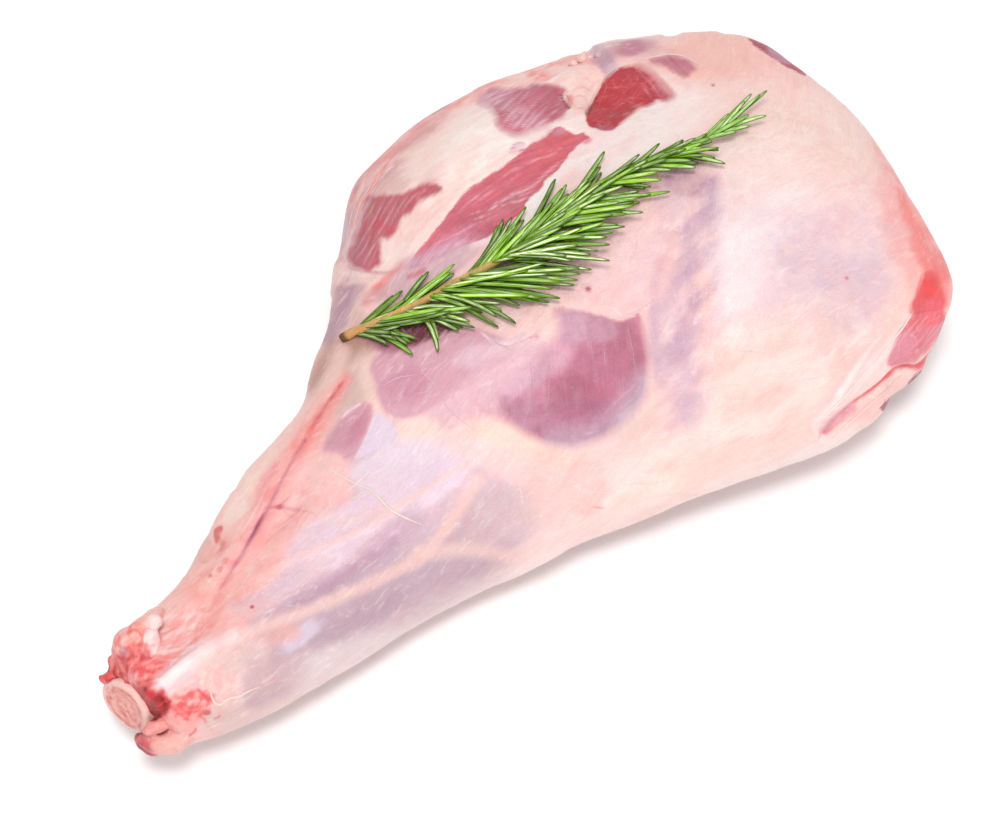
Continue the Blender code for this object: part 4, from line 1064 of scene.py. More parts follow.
    # uneven fat: paler flakes, warmer patches and faint wrinkles
    mottled(P.line([(690, 176), (696, 230), (692, 300), (686, 360), (682, 408)], 54, 20, 4), (200, 168, 192), (254, 226, 220), 5.0, 218, 0.42, 0.22)
    mottled(P.poly([(700, 400), (720, 330), (790, 300), (850, 300), (870, 340), (840, 400), (770, 450), (700, 480), (640, 500),
                    (600, 470), (660, 440)], 26, 4), (243, 208, 198), (262, 240, 232), 7.0, 219, 0.42, 0.45)
    mottled(P.poly([(720, 90), (790, 96), (850, 150), (880, 210), (860, 260), (780, 220), (730, 230), (716, 160)], 26, 4),
            (246, 212, 206), (264, 238, 230), 7.0, 220, 0.35, 0.5)
    mottled(P.poly([(420, 180), (470, 140), (500, 140), (520, 150), (440, 220), (400, 240), (392, 210)], 16, 4),
            (244, 206, 196), (262, 244, 236), 5.0, 231, 0.5, 0.35)
    mottled(P.poly([(560, 160), (620, 130), (640, 140), (560, 210), (500, 240), (470, 250)], 14, 4),
            (246, 210, 206), (264, 244, 240), 5.0, 232, 0.5, 0.35)
    mottled(P.poly([(520, 260), (600, 240), (660, 220), (668, 300), (600, 306), (540, 304), (500, 320)], 16, 4),
            (238, 202, 204), (260, 230, 230), 5.0, 233, 0.5, 0.3)
    P.lift += 0.10 * vnoise(P.p * np.array([0.5, 1.0, 1.0]), 4.0, 234, 3)
    # painted light: the far slope and the top of the rump are lightened a little to offset the shade on them
    far_slope_light_ = P.poly([(450, 130), (520, 80), (580, 62), (640, 62), (700, 92), (690, 130), (640, 160), (580, 200), (520, 240),
                    (470, 240), (450, 190)], 26, 3)[:, None]
    P.base = P.base * (1 + far_slope_light_ * np.array([0.040, 0.046, 0.048]))
    P.base = P.base * (1 + P.blob(752, 196, 64, 54, 20, 0.9)[:, None] * np.array([0.010, 0.040, 0.045]))
    ridge_ = [(813, 425, 0.5), (824, 412, 0.8), (836, 398, 1.0), (848, 380, 1.0), (860, 362, 0.9), (872, 346, 0.7), (884, 332, 0.4)]
    P.to(P.line(ridge_, 13, 10, 2), (244, 200, 200), 0.55)
    P.to(P.line(ridge_, 5.0, 4.0, 1.6), (266, 254, 250), 0.65)
    P.lift += 0.8 * P.line(ridge_, 5, 5)
    P.to(P.line([(846, 350, 0.5), (858, 338, 0.9), (872, 326, 0.6)], 4.5, 4, 1.4), (264, 254, 250), 0.6)
    # ---- bare muscles
    M = {}
    M["thigh"] = P.muscle([(555, 309), (568, 309), (581, 311), (593, 314), (604, 316), (614, 320), (627, 319), (638, 314),
                           (644, 337), (648, 358), (648, 377), (646, 395), (638, 408), (622, 424), (604, 437), (585, 444),
                           (567, 447), (549, 444), (533, 437), (517, 429), (504, 420), (492, 410), (482, 402), (496, 392),
                           (507, 384), (516, 376), (531, 366), (540, 352), (550, 342), (557, 332), (559, 320)],
                          (206, 138, 156), 1.2, 16, 11, 97, film=0.02, fray=0.30, soft=1.1, grain=0.12,
                          tint=(232, 196, 208))
    M["left"] = P.muscle([(366, 198), (383, 195), (398, 194), (413, 188), (427, 183), (436, 183), (442, 189), (436, 195),
                          (422, 201), (413, 210), (402, 219), (398, 228), (389, 238), (381, 238), (380, 251), (381, 264),
                          (369, 270), (357, 268), (350, 263), (348, 254), (354, 242), (360, 228), (362, 213)],
                         (192, 100, 112), 1.8, 9, 12, 60, film=0.06, fray=0.40, soft=1.3, grain=0.6,
                         tint=(232, 190, 192))
    M["long"] = P.muscle([(558, 126), (570, 132), (584, 133), (590, 137), (583, 141), (570, 153), (556, 171), (545, 180),
                          (541, 189), (529, 199), (520, 214), (500, 228), (486, 238), (475, 241), (451, 251), (428, 263),
                          (407, 269), (416, 254), (428, 239), (439, 225), (448, 213), (457, 201), (475, 184), (498, 169),
                          (525, 148), (545, 136)],
                         (214, 112, 124), 0.9, 9, 13, 40, film=0.02, fray=0.45, soft=0.5, grain=0.75,
                         tint=(240, 196, 200), sink=0.5)
    M["upper"] = P.muscle([(480, 98), (490, 88), (500, 87), (510, 89), (524, 87), (535, 84), (550, 84), (560, 86),
                           (566, 91), (562, 97), (566, 103), (569, 108), (565, 116), (555, 121), (546, 126), (538, 128),
                           (528, 131), (520, 135), (511, 134), (503, 130), (497, 125), (496, 117), (492, 110), (485, 106),
                           (478, 104)],
                          (192, 98, 112), 1.8, 8, 14, 52, film=0.10, fray=0.45, soft=1.4, grain=0.6,
                          tint=(236, 194, 204))
    M["deep"] = P.muscle([(587, 112), (590, 105), (597, 93), (603, 81), (610, 74), (617, 68), (627, 65), (640, 66),
                          (650, 70), (660, 79), (667, 86), (673, 94), (671, 98), (665, 100), (657, 99), (654, 102),
                          (647, 105), (640, 106), (634, 111), (628, 116), (622, 121), (615, 128), (606, 130), (597, 128),
                          (590, 126), (587, 119)],
                         (190, 66, 74), 0.9, 8, 15, 55, film=0.0, net=0.12, fray=0.22, soft=0.8, grain=0.6,
                         tint=(226, 150, 152), sink=0.9)
    M["small"] = P.muscle([(650, 60), (660, 57), (673, 56), (683, 58), (691, 63), (696, 69), (691, 72), (687, 77),
                           (680, 76), (672, 70), (662, 65), (655, 63)],
                          (194, 108, 124), 1.2, 8, 16, 120, film=0.12, fray=0.4, soft=1.6, grain=0.7)
    M["chump"] = P.muscle([(900, 328), (916, 311), (936, 306), (944, 312), (946, 326), (934, 342), (922, 354), (912, 362),
                           (898, 366), (888, 364), (890, 350)],
                          (228, 128, 142), 1.4, 8, 17, 50, film=0.06, net=0.30, fray=0.4, soft=1.2, grain=0.5,
                          tint=(246, 206, 206))
    M["chump_red"] = P.muscle([(926, 272), (934, 273), (942, 288), (946, 304), (938, 314), (924, 316), (908, 315), (914, 298), (920, 284)],
                              (232, 102, 104), 1.4, 8, 18, 80, film=0.0, fray=0.4, soft=1.6, grain=0.4,
                              tint=(246, 166, 160))
    M["lens"] = P.muscle([(818, 430), (832, 414), (850, 404), (856, 410), (840, 424), (826, 434)],
                         (230, 168, 176), 1.0, 8, 19, 40, film=0.1, fray=0.5, soft=1.4, grain=0.5)
    M["sliver"] = P.muscle([(878, 407), (888, 396), (902, 384), (914, 370), (922, 365), (915, 382), (901, 398), (888, 410)],
                           (164, 96, 114), 0.8, 8, 20, 40, fray=0.3, soft=0.4, grain=0.5)
    M["far_sliver"] = P.muscle([(748, 37), (762, 40), (780, 49), (798, 63), (806, 75), (792, 70), (772, 57), (756, 47)],
                               (176, 62, 76), 0.8, 8, 21, -35, film=0.05, fray=0.3, soft=0.45, grain=0.6,
                               tint=(226, 170, 180))

    # thigh: gradients within it
    P.to_deep(P.blob(572, 386, 54, 34, 15, 0.9), (198, 126, 150), 0.8)
    P.to_deep(P.blob(602, 376, 46, 44, 20, 0.9), (192, 120, 144), 0.6)
    P.to_deep(P.blob(577, 394, 32, 22, 10, 0.9), (184, 106, 130), 0.85)
    P.to_deep(P.blob(624, 350, 18, 28, 5, 0.9), (186, 116, 136), 0.8)
    P.to_deep(P.blob(606, 366, 24, 14, 20, 0.9), (192, 118, 142), 0.6)
    P.to_deep(P.blob(572, 326, 22, 18, 0, 0.9), (214, 172, 190), 0.9)
    P.to_deep(P.blob(600, 328, 18, 14, 0, 0.9), (208, 160, 178), 0.8)
    P.to_deep(P.blob(546, 354, 24, 18, 20, 0.9), (226, 180, 196), 0.85)
    P.to_deep(P.blob(528, 374, 16, 14, 30, 0.9), (220, 174, 192), 0.85)
    P.to_deep(P.blob(510, 386, 24, 15, 30, 0.9), (230, 190, 206), 0.9)
    P.to_deep(P.blob(508, 408, 18, 12, -20, 0.9), (212, 154, 176), 0.85)
    P.to_deep(P.blob(488, 402, 12, 8, -20, 0.9), (232, 190, 202), 0.9)
    P.to_deep(P.blob(528, 422, 20, 12, -30, 0.9), (198, 130, 150), 0.8)
    P.to_deep(P.blob(578, 418, 44, 22, 12, 0.9), (174, 112, 136), 0.7)
    P.to_deep(P.blob(528, 416, 26, 18, -20, 0.9), (186, 122, 146), 0.8)
    P.to_deep(P.line([(552, 444), (572, 446), (592, 441), (612, 430), (632, 412), (646, 388)], 20, 20), (190, 156, 174), 0.85)
    P.to_deep(P.line([(622, 416), (638, 400), (646, 380)], 9, 9), (198, 178, 194), 0.8)
    P.soft += 2.6 * P.line([(559, 318), (556, 336), (544, 350), (530, 367), (508, 386)], 22, 16) + 2.6 * P.blob(496, 392, 34, 30, 20, 0.8) + 2.4 * P.line([(482, 404), (504, 420), (533, 437)], 18, 14) \
        + 2.6 * P.line([(549, 446), (585, 446), (622, 426), (646, 396)], 14, 12) + 2.2 * P.line([(641, 326), (647, 352), (648, 384)], 10, 8)
    P.to_deep(P.line([(562, 440), (592, 436), (614, 424), (632, 406), (645, 384)], 36, 20, 3), (204, 176, 190), 0.5)
    P.to_deep(P.blob(522, 420, 20, 14, -20, 0.9), (184, 126, 148), 0.6)
    P.streaks([(581, 311, 594, 360, 3.0), (594, 358, 597, 392, 1.6)], (226, 184, 196), 0.40, 3.4)
    P.streaks([(627, 319, 638, 380, 1.6), (603, 338, 607, 376, 1.6), (531, 362, 523, 430, 1.6), (546, 348, 549, 428, 1.6),
               (575, 314, 578, 350, 1.4), (614, 322, 618, 352, 1.4)], (230, 192, 204), 0.28, 2.6)
    P.streaks([(609, 406, 643, 376, 1.4), (604, 414, 636, 386, 1.2), (585, 435, 594, 432, 1.8)], (236, 214, 224), 0.32, 2.4)
    # long muscle: redder head, lilac tail, pale streaks along it
    P.to_deep(P.blob(552, 150, 30, 11, 42, 0.9), (218, 108, 116), 0.9)
    P.to_deep(P.blob(500, 186, 40, 12, 40, 0.9), (212, 104, 118), 0.8)
    P.to_deep(P.blob(560, 130, 8, 5, 20, 0.9), (216, 146, 162), 0.8)
    P.to_deep(P.blob(504, 206, 34, 12, 36, 0.9), (216, 128, 142), 0.8)
    P.to_deep(P.blob(462, 216, 30, 14, 36, 0.9), (214, 116, 134), 0.85)
    P.to_deep(P.blob(450, 240, 30, 9, 30, 0.9), (216, 136, 156), 0.9)
    P.to_deep(P.line([(407, 268), (428, 258), (451, 248), (480, 238)], 15, 10), (222, 182, 200), 0.9)
    P.to_deep(P.blob(486, 228, 22, 10, 30, 0.9), (206, 110, 126), 0.6)
    P.streaks([(569, 155, 524, 196, 2.0), (554, 148, 512, 172, 1.6), (545, 176, 500, 202, 2.0), (530, 160, 478, 196, 1.3),
               (566, 143, 540, 160, 1.2), (512, 178, 470, 206, 1.4), (536, 189, 508, 200, 1.6), (520, 172, 496, 190, 1.2),
               (486, 190, 456, 214, 1.2), (476, 222, 440, 240, 1.4), (496, 214, 470, 226, 1.3), (460, 232, 424, 252, 1.4),
               (452, 244, 420, 258, 1.6), (478, 238, 440, 252, 1.6), (560, 160, 545, 174, 1.2)],
              (238, 178, 188), 0.75, 1.5)
    P.streaks([(494, 203, 512, 194, 1.5), (500, 206, 516, 199, 1.3), (506, 196, 522, 190, 1.3), (510, 203, 526, 196, 1.6),
               (488, 210, 502, 203, 1.3), (470, 214, 486, 207, 1.2), (474, 219, 490, 212, 1.2), (516, 193, 530, 188, 1.2)],
              (250, 214, 216), 0.8, 1.2)
    # upper muscle: membrane over its lower left, streaks down to the left
    P.to_deep(P.blob(552, 98, 16, 12, 10, 0.9), (192, 104, 120), 0.85)
    P.to_deep(P.blob(530, 96, 16, 8, 30, 0.9), (200, 116, 134), 0.8)
    P.to_deep(P.blob(496, 97, 18, 12, 30, 0.9), (204, 138, 156), 0.85)
    P.to_deep(P.blob(484, 101, 8, 7, 30, 0.9), (214, 166, 182), 0.85)
    P.to_deep(P.blob(508, 122, 10, 8, 30, 0.9), (204, 118, 136), 0.7)
    P.to_deep(P.line([(504, 131), (513, 136), (526, 136)], 4, 3), (186, 112, 140), 0.7)
    P.streaks([(516, 90, 484, 106, 2.2), (524, 90, 498, 110, 2.0), (532, 88, 508, 112, 1.6), (508, 90, 478, 102, 1.6),
               (540, 98, 520, 116, 1.4), (548, 106, 532, 122, 1.4), (502, 88, 482, 98, 1.2), (526, 102, 506, 124, 1.4),
               (560, 108, 546, 120, 1.3), (536, 108, 524, 126, 1.3)], (236, 190, 204), 0.7, 1.5)
    veiled = P.poly([(508, 112), (520, 106), (534, 108), (546, 114), (550, 122), (538, 128), (522, 132), (510, 126)], 9, 2, 5, 3)
    P.to_deep(veiled, (214, 150, 166), 0.40)
    P.streaks([(522, 104, 502, 126, 3.0), (532, 106, 510, 132, 2.8), (541, 112, 520, 134, 2.6), (549, 118, 532, 131, 2.2),
               (512, 100, 496, 114, 2.2), (504, 98, 490, 108, 2.0)], (240, 206, 212), 0.85, 2.6)
    P.streaks([(527, 107, 506, 130, 1.2), (537, 110, 516, 133, 1.2), (516, 101, 500, 118, 1.0)], (252, 228, 230), 0.8, 1.4)
    P.soft += 1.8 * P.line([(486, 104), (496, 118), (508, 132), (526, 136), (546, 128)], 10, 8)
    # deep muscle: pinker streaked end, white seams
    P.to_deep(P.blob(602, 112, 18, 14, 0, 0.9), (186, 58, 66), 0.9)
    P.to_deep(P.blob(632, 80, 18, 12, -20, 0.9), (190, 72, 82), 0.8)
    P.to_deep(P.blob(664, 92, 14, 9, -30, 0.9), (204, 100, 112), 0.85)
    P.to_deep(P.blob(604, 127, 12, 3.5, 0, 0.9), (184, 116, 140), 0.7)
    P.streaks([(652, 72, 668, 96, 2.0), (646, 76, 662, 98, 1.8), (657, 76, 671, 92, 1.6), (640, 70, 650, 82, 1.2),
               (660, 80, 672, 95, 1.6), (642, 82, 654, 100, 1.4)], (232, 170, 176), 0.7, 2.0)
    P.streaks([(602, 86, 624, 84, 1.1), (624, 84, 641, 81, 1.0), (622, 86, 626, 98, 1.1), (626, 98, 637, 103, 1.1),
               (591, 110, 614, 107, 1.1), (614, 107, 630, 95, 1.0), (600, 96, 616, 92, 0.9), (608, 118, 612, 124, 1.0),
               (640, 84, 650, 92, 0.9), (630, 96, 648, 98, 0.9), (596, 104, 602, 114, 0.8), (612, 78, 620, 90, 0.8),
               (615, 106, 617, 120, 0.9), (628, 72, 632, 84, 0.9), (593, 118, 606, 121, 0.8)], (220, 132, 138), 0.55, 1.4)
    P.streaks([(630, 106, 644, 101, 2.0), (622, 114, 634, 108, 1.6)], (232, 176, 184), 0.7, 2.0)
    P.soft += 2.4 * P.line([(676, 96), (664, 86), (652, 72), (640, 65)], 9, 7) + 1.6 * P.line([(672, 100), (656, 102), (640, 108), (622, 122)], 6, 5)
    P.to_deep(P.line([(668, 98), (660, 84), (648, 70)], 7, 7, 2), (214, 140, 150), 0.6)
    # left muscle
    P.to_deep(P.blob(372, 206, 12, 12, 0, 0.9), (184, 104, 106), 0.8)
    P.to_deep(P.blob(420, 193, 20, 8, 30, 0.9), (202, 96, 110), 0.85)
    P.to_deep(P.blob(396, 208, 14, 10, 40, 0.9), (198, 110, 120), 0.7)
    P.to_deep(P.blob(361, 254, 11, 14, 20, 0.9), (184, 106, 120), 0.8)
    P.to_deep(P.blob(379, 224, 6, 6, 0, 0.9), (200, 74, 88), 0.85)
    P.to_deep(P.blob(392, 230, 6, 5, 0, 0.9), (202, 84, 98), 0.8)
    P.streaks([(412, 190, 386, 236, 1.6), (400, 195, 372, 244, 1.6), (386, 197, 362, 240, 1.4), (424, 188, 400, 214, 1.4),
               (376, 200, 362, 224, 1.2), (394, 196, 376, 226, 1.1), (380, 236, 362, 266, 1.6), (370, 236, 354, 262, 1.4),
               (430, 186, 414, 204, 1.1), (366, 232, 352, 256, 1.1)], (230, 184, 188), 0.65, 1.5)
    # chump
    P.to_deep(P.blob(900, 350, 16, 12, 40, 0.9), (230, 150, 168), 0.7)
    P.to_deep(P.blob(778, 55, 14, 6, -35, 0.9), (206, 160, 180), 0.85)
    P.to_deep(P.blob(930, 290, 8, 12, 10, 0.9), (240, 84, 86), 0.7)
    P.to_deep(P.blob(920, 316, 28, 13, 20, 0.9), (234, 112, 122), 0.85)
    P.streaks([(932, 312, 914, 334, 1.8), (922, 314, 902, 338, 1.6), (940, 318, 924, 342, 1.6), (912, 324, 896, 346, 1.4),
               (928, 330, 906, 354, 1.4)], (248, 196, 200), 0.55, 1.8)

    # ---- thin things in the fat
    WHITE = (255, 244, 240)
    P.streaks([(640, 500, 684, 470, 1.4), (636, 474, 662, 478, 1.3), (643, 502, 686, 505, 1.2), (735, 352, 756, 344, 1.6),
               (725, 406, 744, 400, 1.6), (716, 422, 744, 408, 1.5), (700, 168, 760, 128, 1.2), (640, 122, 700, 104, 1.6),
               (650, 128, 712, 108, 1.3), (636, 134, 684, 118, 1.3), (768, 320, 806, 300, 1.4), (812, 306, 836, 288, 1.2),
               (518, 485, 523, 508, 1.3), (534, 470, 560, 480, 1.2), (300, 530, 340, 512, 1.2), (420, 470, 452, 452, 1.2),
               (360, 476, 396, 462, 1.3), (240, 590, 256, 566, 1.2), (222, 604, 240, 580, 1.2), (205, 590, 216, 566, 1.3),
               (770, 200, 800, 184, 1.3), (790, 214, 812, 196, 1.2), (700, 360, 716, 342, 1.2), (590, 470, 620, 462, 1.3),
               (440, 160, 470, 146, 1.3), (455, 196, 478, 178, 1.4), (430, 212, 452, 196, 1.4)], WHITE, 0.34, 1.9)
    P.streaks([(396, 270, 378, 286, 3.2), (404, 262, 392, 276, 2.4), (419, 129, 398, 146, 3.0), (398, 146, 376, 164, 2.6),
               (384, 276, 372, 292, 2.2), (430, 118, 414, 132, 2.0)], (247, 150, 144), 0.6, 2.6)
    P.streaks([(538, 340, 534, 334, 1.6), (534, 336, 528, 338, 1.2), (593, 507, 606, 509, 1.4), (540, 74, 546, 76, 2.0),
               (552, 76, 558, 74, 2.0), (536, 72, 542, 68, 1.6), (548, 66, 552, 62, 1.6)], (226, 110, 116), 0.6, 1.6)
    # membranes hanging along the far edge: lilac, peach and salmon strips
    P.streaks([(369, 186, 351, 236, 5.0), (384, 168, 368, 190, 4.0)], (246, 180, 168), 0.75, 4)
    P.streaks([(376, 190, 356, 232, 3.0), (348, 206, 343, 250, 4.0), (360, 196, 350, 226, 2.0), (392, 170, 378, 188, 2.4),
               (372, 178, 358, 200, 2.2)], (206, 180, 198), 0.75, 3)
    P.streaks([(404, 150, 384, 172, 2.2), (396, 160, 376, 184, 1.6), (412, 148, 396, 160, 1.4), (352, 230, 346, 262, 1.6),
               (366, 176, 354, 204, 1.6)], (250, 226, 216), 0.7, 1.8)
    P.streaks([(424, 118, 392, 140, 3.0), (388, 143, 366, 168, 3.0), (362, 174, 350, 200, 3.0), (452, 104, 426, 118, 2.4)], (190, 126, 140), 0.7, 3)
    P.streaks([(345, 285, 352, 270, 3.0), (338, 296, 346, 276, 2.6), (352, 300, 366, 284, 3.2), (360, 306, 372, 296, 2.4),
               (334, 318, 340, 296, 2.4)], (200, 160, 176), 0.6, 3)
    P.streaks([(340, 272, 358, 276, 2.2), (358, 276, 384, 276, 2.0), (336, 306, 350, 290, 1.6), (342, 320, 356, 304, 1.6),
               (366, 300, 380, 296, 1.6)], (253, 232, 224), 0.7, 2)
    # small lilac island under the upper muscle
    P.to(P.poly([(509, 150), (514, 144), (522, 142), (526, 146), (520, 152), (512, 155)], 2.5, 1.6, 3, 5), (232, 196, 208), 0.6)
    P.streaks([(508, 152, 516, 143, 1.3), (516, 143, 525, 143, 1.3), (525, 147, 516, 154, 1.3)], (184, 122, 146), 0.6, 1.2)
    P.to(P.blob(587, 141, 5, 3, 20, 0.8), (222, 140, 152), 0.7)
    # broken lumps of fat along the far edge above the upper muscle
    for x, y, rx, ry, col in ((526, 78, 10, 4, (253, 220, 210)), (540, 68, 9, 4, (250, 196, 188)), (556, 70, 8, 5, (253, 212, 204)),
                              (568, 64, 7, 4, (250, 194, 186)), (547, 78, 6, 3, (246, 172, 166)), (578, 72, 8, 6, (254, 222, 212)),
                              (512, 80, 8, 3.4, (250, 204, 196)), (560, 80, 8, 3, (253, 214, 206)), (532, 74, 5, 2.6, (243, 150, 146))):
        P.to(P.blob(x, y, rx, ry, 18, 0.5, 0.25, 6, int(x)), col, 0.8)
    # lilac and mauve beside the deep muscle
    P.to(P.blob(604, 60, 9, 13, 20, 0.9), (194, 160, 176), 0.75)
    P.to(P.blob(598, 52, 6, 8, 0, 0.9), (214, 184, 192), 0.7)
    P.to(P.blob(612, 70, 7, 7, 0, 0.9), (224, 200, 210), 0.7)
    P.to(P.blob(632, 50, 13, 6, 8, 0.9), (200, 134, 152), 0.85)
    P.streaks([(616, 63, 636, 62, 1.6), (636, 62, 652, 56, 1.6), (652, 56, 676, 54, 1.6)], (250, 220, 222), 0.8, 1.6)
    # the notch of pale fat by the thigh muscle and the fine edge of the membrane
    P.streaks([(480, 332, 498, 344, 1.3), (498, 344, 514, 345, 1.3), (514, 345, 536, 332, 1.3), (612, 306, 628, 319, 1.5),
               (628, 319, 640, 312, 1.5), (640, 312, 652, 302, 1.3)], (255, 240, 240), 0.75, 1.3)
    P.to(P.blob(549, 331, 8, 11, 20, 0.7), (251, 224, 218), 0.85)

    # seams, lips and folds, in millimetres
    P.lift += -0.9 * P.line([(602, 82), (594, 97), (587, 112)], 4, 4)
    P.lift += -0.9 * P.line([(560, 94), (565, 101), (569, 108)], 4, 3)
    P.lift += -0.6 * P.line(VEIN, 7, 9)
    P.lift += 0.5 * P.line([(214, 645), (284, 620), (367, 585), (424, 553), (452, 520), (478, 480)], 14, 12)
    P.lift += 0.35 * P.line([(252, 577), (300, 556), (354, 533), (399, 507), (440, 480)], 8, 8)
    P.lift += 0.8 * P.line([(150, 690), (175, 670), (200, 652), (232, 636)], 14, 10)
    P.lift += 0.9 * P.line([(816, 428), (852, 388), (888, 346), (912, 312)], 12, 8)
    P.lift += -1.2 * P.line([(822, 438), (852, 406), (878, 388), (896, 370), (915, 366), (934, 350)], 5, 5)
    P.lift += 0.5 * P.poly([(378, 352), (376, 380), (380, 404), (396, 418), (430, 412), (480, 384), (520, 352), (480, 330)], 24)
    P.lift += 0.5 * P.line([(568, 60), (578, 84), (574, 108)], 14, 10)
    P.lift += 0.6 * P.line([(590, 62), (602, 72), (600, 84)], 10, 8)
    P.lift += -0.4 * P.line([(631, 235), (642, 254), (650, 280)], 5, 6)
    P.lift += 0.25 * vnoise(P.p, 9, 31, 2) + 0.12 * vnoise(P.p, 3.5, 32, 2)

    # red slits at the cut end
    P.to(P.line([(896, 369), (906, 366), (916, 366), (926, 358), (936, 348)], 5, 3, 0.8), (222, 76, 84), 0.85)
    P.to(P.line([(894, 371), (882, 382), (870, 392)], 4.5, 3, 0.8), (226, 84, 90), 0.85)
    P.to(P.line([(826, 434), (840, 420), (853, 405), (868, 394)], 3.5, 3, 0.8), (226, 110, 116), 0.8)
    P.cut = np.where(P.line([(896, 369), (906, 366), (916, 366), (926, 358), (936, 348)], 5, 3) > 0.4, -6, P.cut)

    # dark slits where muscle dips under fat: painted shade in the crease
    for pts, w in (([(561, 94), (564, 101), (569, 107)], 2.2), ([(587, 113), (591, 105), (597, 94)], 1.8)):
        m = P.line(pts, w, 1.6)
        P.to(m, (150, 48, 56), 0.85)
        P.to_deep(m, (130, 34, 42), 0.85)
    P.to(P.blob(570, 100, 3.4, 5, 10, 0.7), (240, 156, 152), 0.8)

    # dots and flecks
    for x, y, r_, col in ((713, 85, 1.8, (190, 120, 110)), (847, 278, 1.8, (220, 120, 120)), (588, 289, 3, (176, 96, 120))):
        P.to(P.blob(x, y, r_, r_, 0, 0.8), col, 0.8)

    # ---- the butcher's cut round the chump: muscle with seams of fat
    q, reach, along, bearing = wall_weight(P.p - shift / MM)
    # =====================================================================
    below = ease((CUT_RIM - 1 - P.p[:, 2]) / 3) * along * ease((reach - 40) / 10)
    hidden = 1 - ease((P.facing - 0.0) / 0.05)
    rim = (CUT_RIM - P.p[:, 2]) + 2.2 * N3(22, 41) + 1.0 * N3(7, 42)
    wall_sd = np.minimum(rim - 4.0, P.p[:, 2] + 1.5 * N3(20, 43) - 3.5)
    seam = np.abs(N3(38, 44, 2)) * 26 - 1.7
    wall_sd = np.minimum(wall_sd, seam)
    edge = (np.minimum(bearing - CUT_FROM, CUT_TO - bearing) * 0.9 - 5.5 - 0.28 * np.maximum(34 - P.p[:, 2], 0)
            + 2.2 * N3(18, 46))
    wall_sd = np.minimum(wall_sd, edge)
    wall = (below > 0.5) & (P.top < 0.5)
    k = wall
    P.cut = np.where(k, np.maximum(P.cut, wall_sd), P.cut)
    col = c((176, 72, 80)) * (1 + 0.16 * N3(16, 45))[:, None]
    P.deep[k] = col[k]
    P.net[k] = 0.55
    P.grain[k] = 0.5
    P.fray[k] = 0.28
    P.soft[k] = 0.5
    P.base[k] = P.base[k] * 0.4 + c((252, 226, 214)) * 0.6
    P.tint[k] = c((232, 176, 176))

    # skin whose fibres run across the leg
    P.swing(P.blob(700, 270, 70, 140, 8, 0.7))
    P.swing(P.blob(600, 250, 60, 50, 30, 0.7))

    P.film = np.clip(P.film, 0, 1)


P = Paint(pos, nrm)
paint_leg(P, nrm)

# apply the fine relief
calm = ease((np.abs(LEGMM[:, 2] - 0) - 1.2) / 3)
pos = pos + nrm * (P.lift * calm * MM)[:, None]
pos[:, 2] = np.maximum(pos[:, 2], 0.0)
leg_verts, leg_faces = grid_faces(ROW, SIDES, pos)


def dress(me, P, along_mm, across_mm, close=lambda a: a):
    """Puts the painted fields and the fibre places on a mesh."""
    wob = 2.2 * vnoise(P.p, 34, 51, 2) + 0.9 * vnoise(P.p, 12, 52, 2)
    u = along_mm * np.cos(P.turn) + across_mm * np.sin(P.turn)
    v = -along_mm * np.sin(P.turn) + across_mm * np.cos(P.turn) + wob
    def lively(c_, by):
        grey = c_.mean(1, keepdims=True)
        return np.clip(grey + by * (c_ - grey), 0, 1.14)

    add_colour(me, "base", close(lively(P.base, 1.10)), LEVEL)
    add_colour(me, "deep", close(lively(P.deep, 1.06)), LEVEL)
    add_colour(me, "tint", close(P.tint), LEVEL)
    add_vector(me, "skin", close(np.stack([along_mm, across_mm + wob, 0.02 * P.p[:, 2]], -1)))
    add_vector(me, "fib", close(np.stack([u, v, P.ident + 3.1 * np.sin(P.turn)], -1)))
    for name in ("cut", "fray", "soft", "film", "net", "grain", "blush", "cross"):
        add_float(me, name, close(getattr(P, name)))


meat = meat_material()
# the leg is one body; its surface is laid in three pieces that share their border rings
FIRST, LAST = 0, ROW - 1
BORDERS = [FIRST, int(ROW * 0.36), int(ROW * 0.67), LAST]
settled = grid_normals(pos.reshape(ROW, SIDES, 3))
for part_name, a, b in zip(("leg_shank", "leg_thigh", "leg_rump"), BORDERS[:-1], BORDERS[1:]):
    def part(values, a=a, b=b):
        v_ = np.asarray(values, float)
        v_ = v_.reshape((ROW, SIDES) + v_.shape[1:])[a:b + 1]
        rows_ = [v_.reshape((-1,) + v_.shape[2:])]
        if a == FIRST:
            rows_.append(v_[0].mean(0)[None])
        if b == LAST:
            rows_.append(v_[-1].mean(0)[None])
        return np.concatenate(rows_)

    count = b - a + 1
    i_ = np.arange(count - 1)[:, None] * SIDES
    j_ = np.arange(SIDES)[None]
    k_ = (j_ + 1) % SIDES
    quads = np.stack([i_ + j_, i_ + k_, i_ + SIDES + k_, i_ + SIDES + j_], -1).reshape(-1, 4)
    faces = [tuple(int(v) for v in q) for q in quads]
    if a == FIRST:
        faces += [((j + 1) % SIDES, j, count * SIDES) for j in range(SIDES)]
    if b == LAST:
        faces += [((count - 1) * SIDES + j, (count - 1) * SIDES + (j + 1) % SIDES, count * SIDES) for j in range(SIDES)]
    leg = make_object(part_name, part(pos), faces)
    dress(leg.data, P, LEGMM[:, 0], run.reshape(-1), part)
    out_ = part(settled.reshape(-1, 3))
    if a == FIRST:
        out_[-1] = (-1, 0, 0)
    if b == LAST:
        out_[-1] = (1, 0, 0)
    leg.data.normals_split_custom_set_from_vertices([tuple(v) for v in out_])
    leg.data.materials.append(meat)
    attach(leg, "root")
    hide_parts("leg")

BVH = BVHTree.FromPolygons([Vector(p) for p in leg_verts], leg_faces)


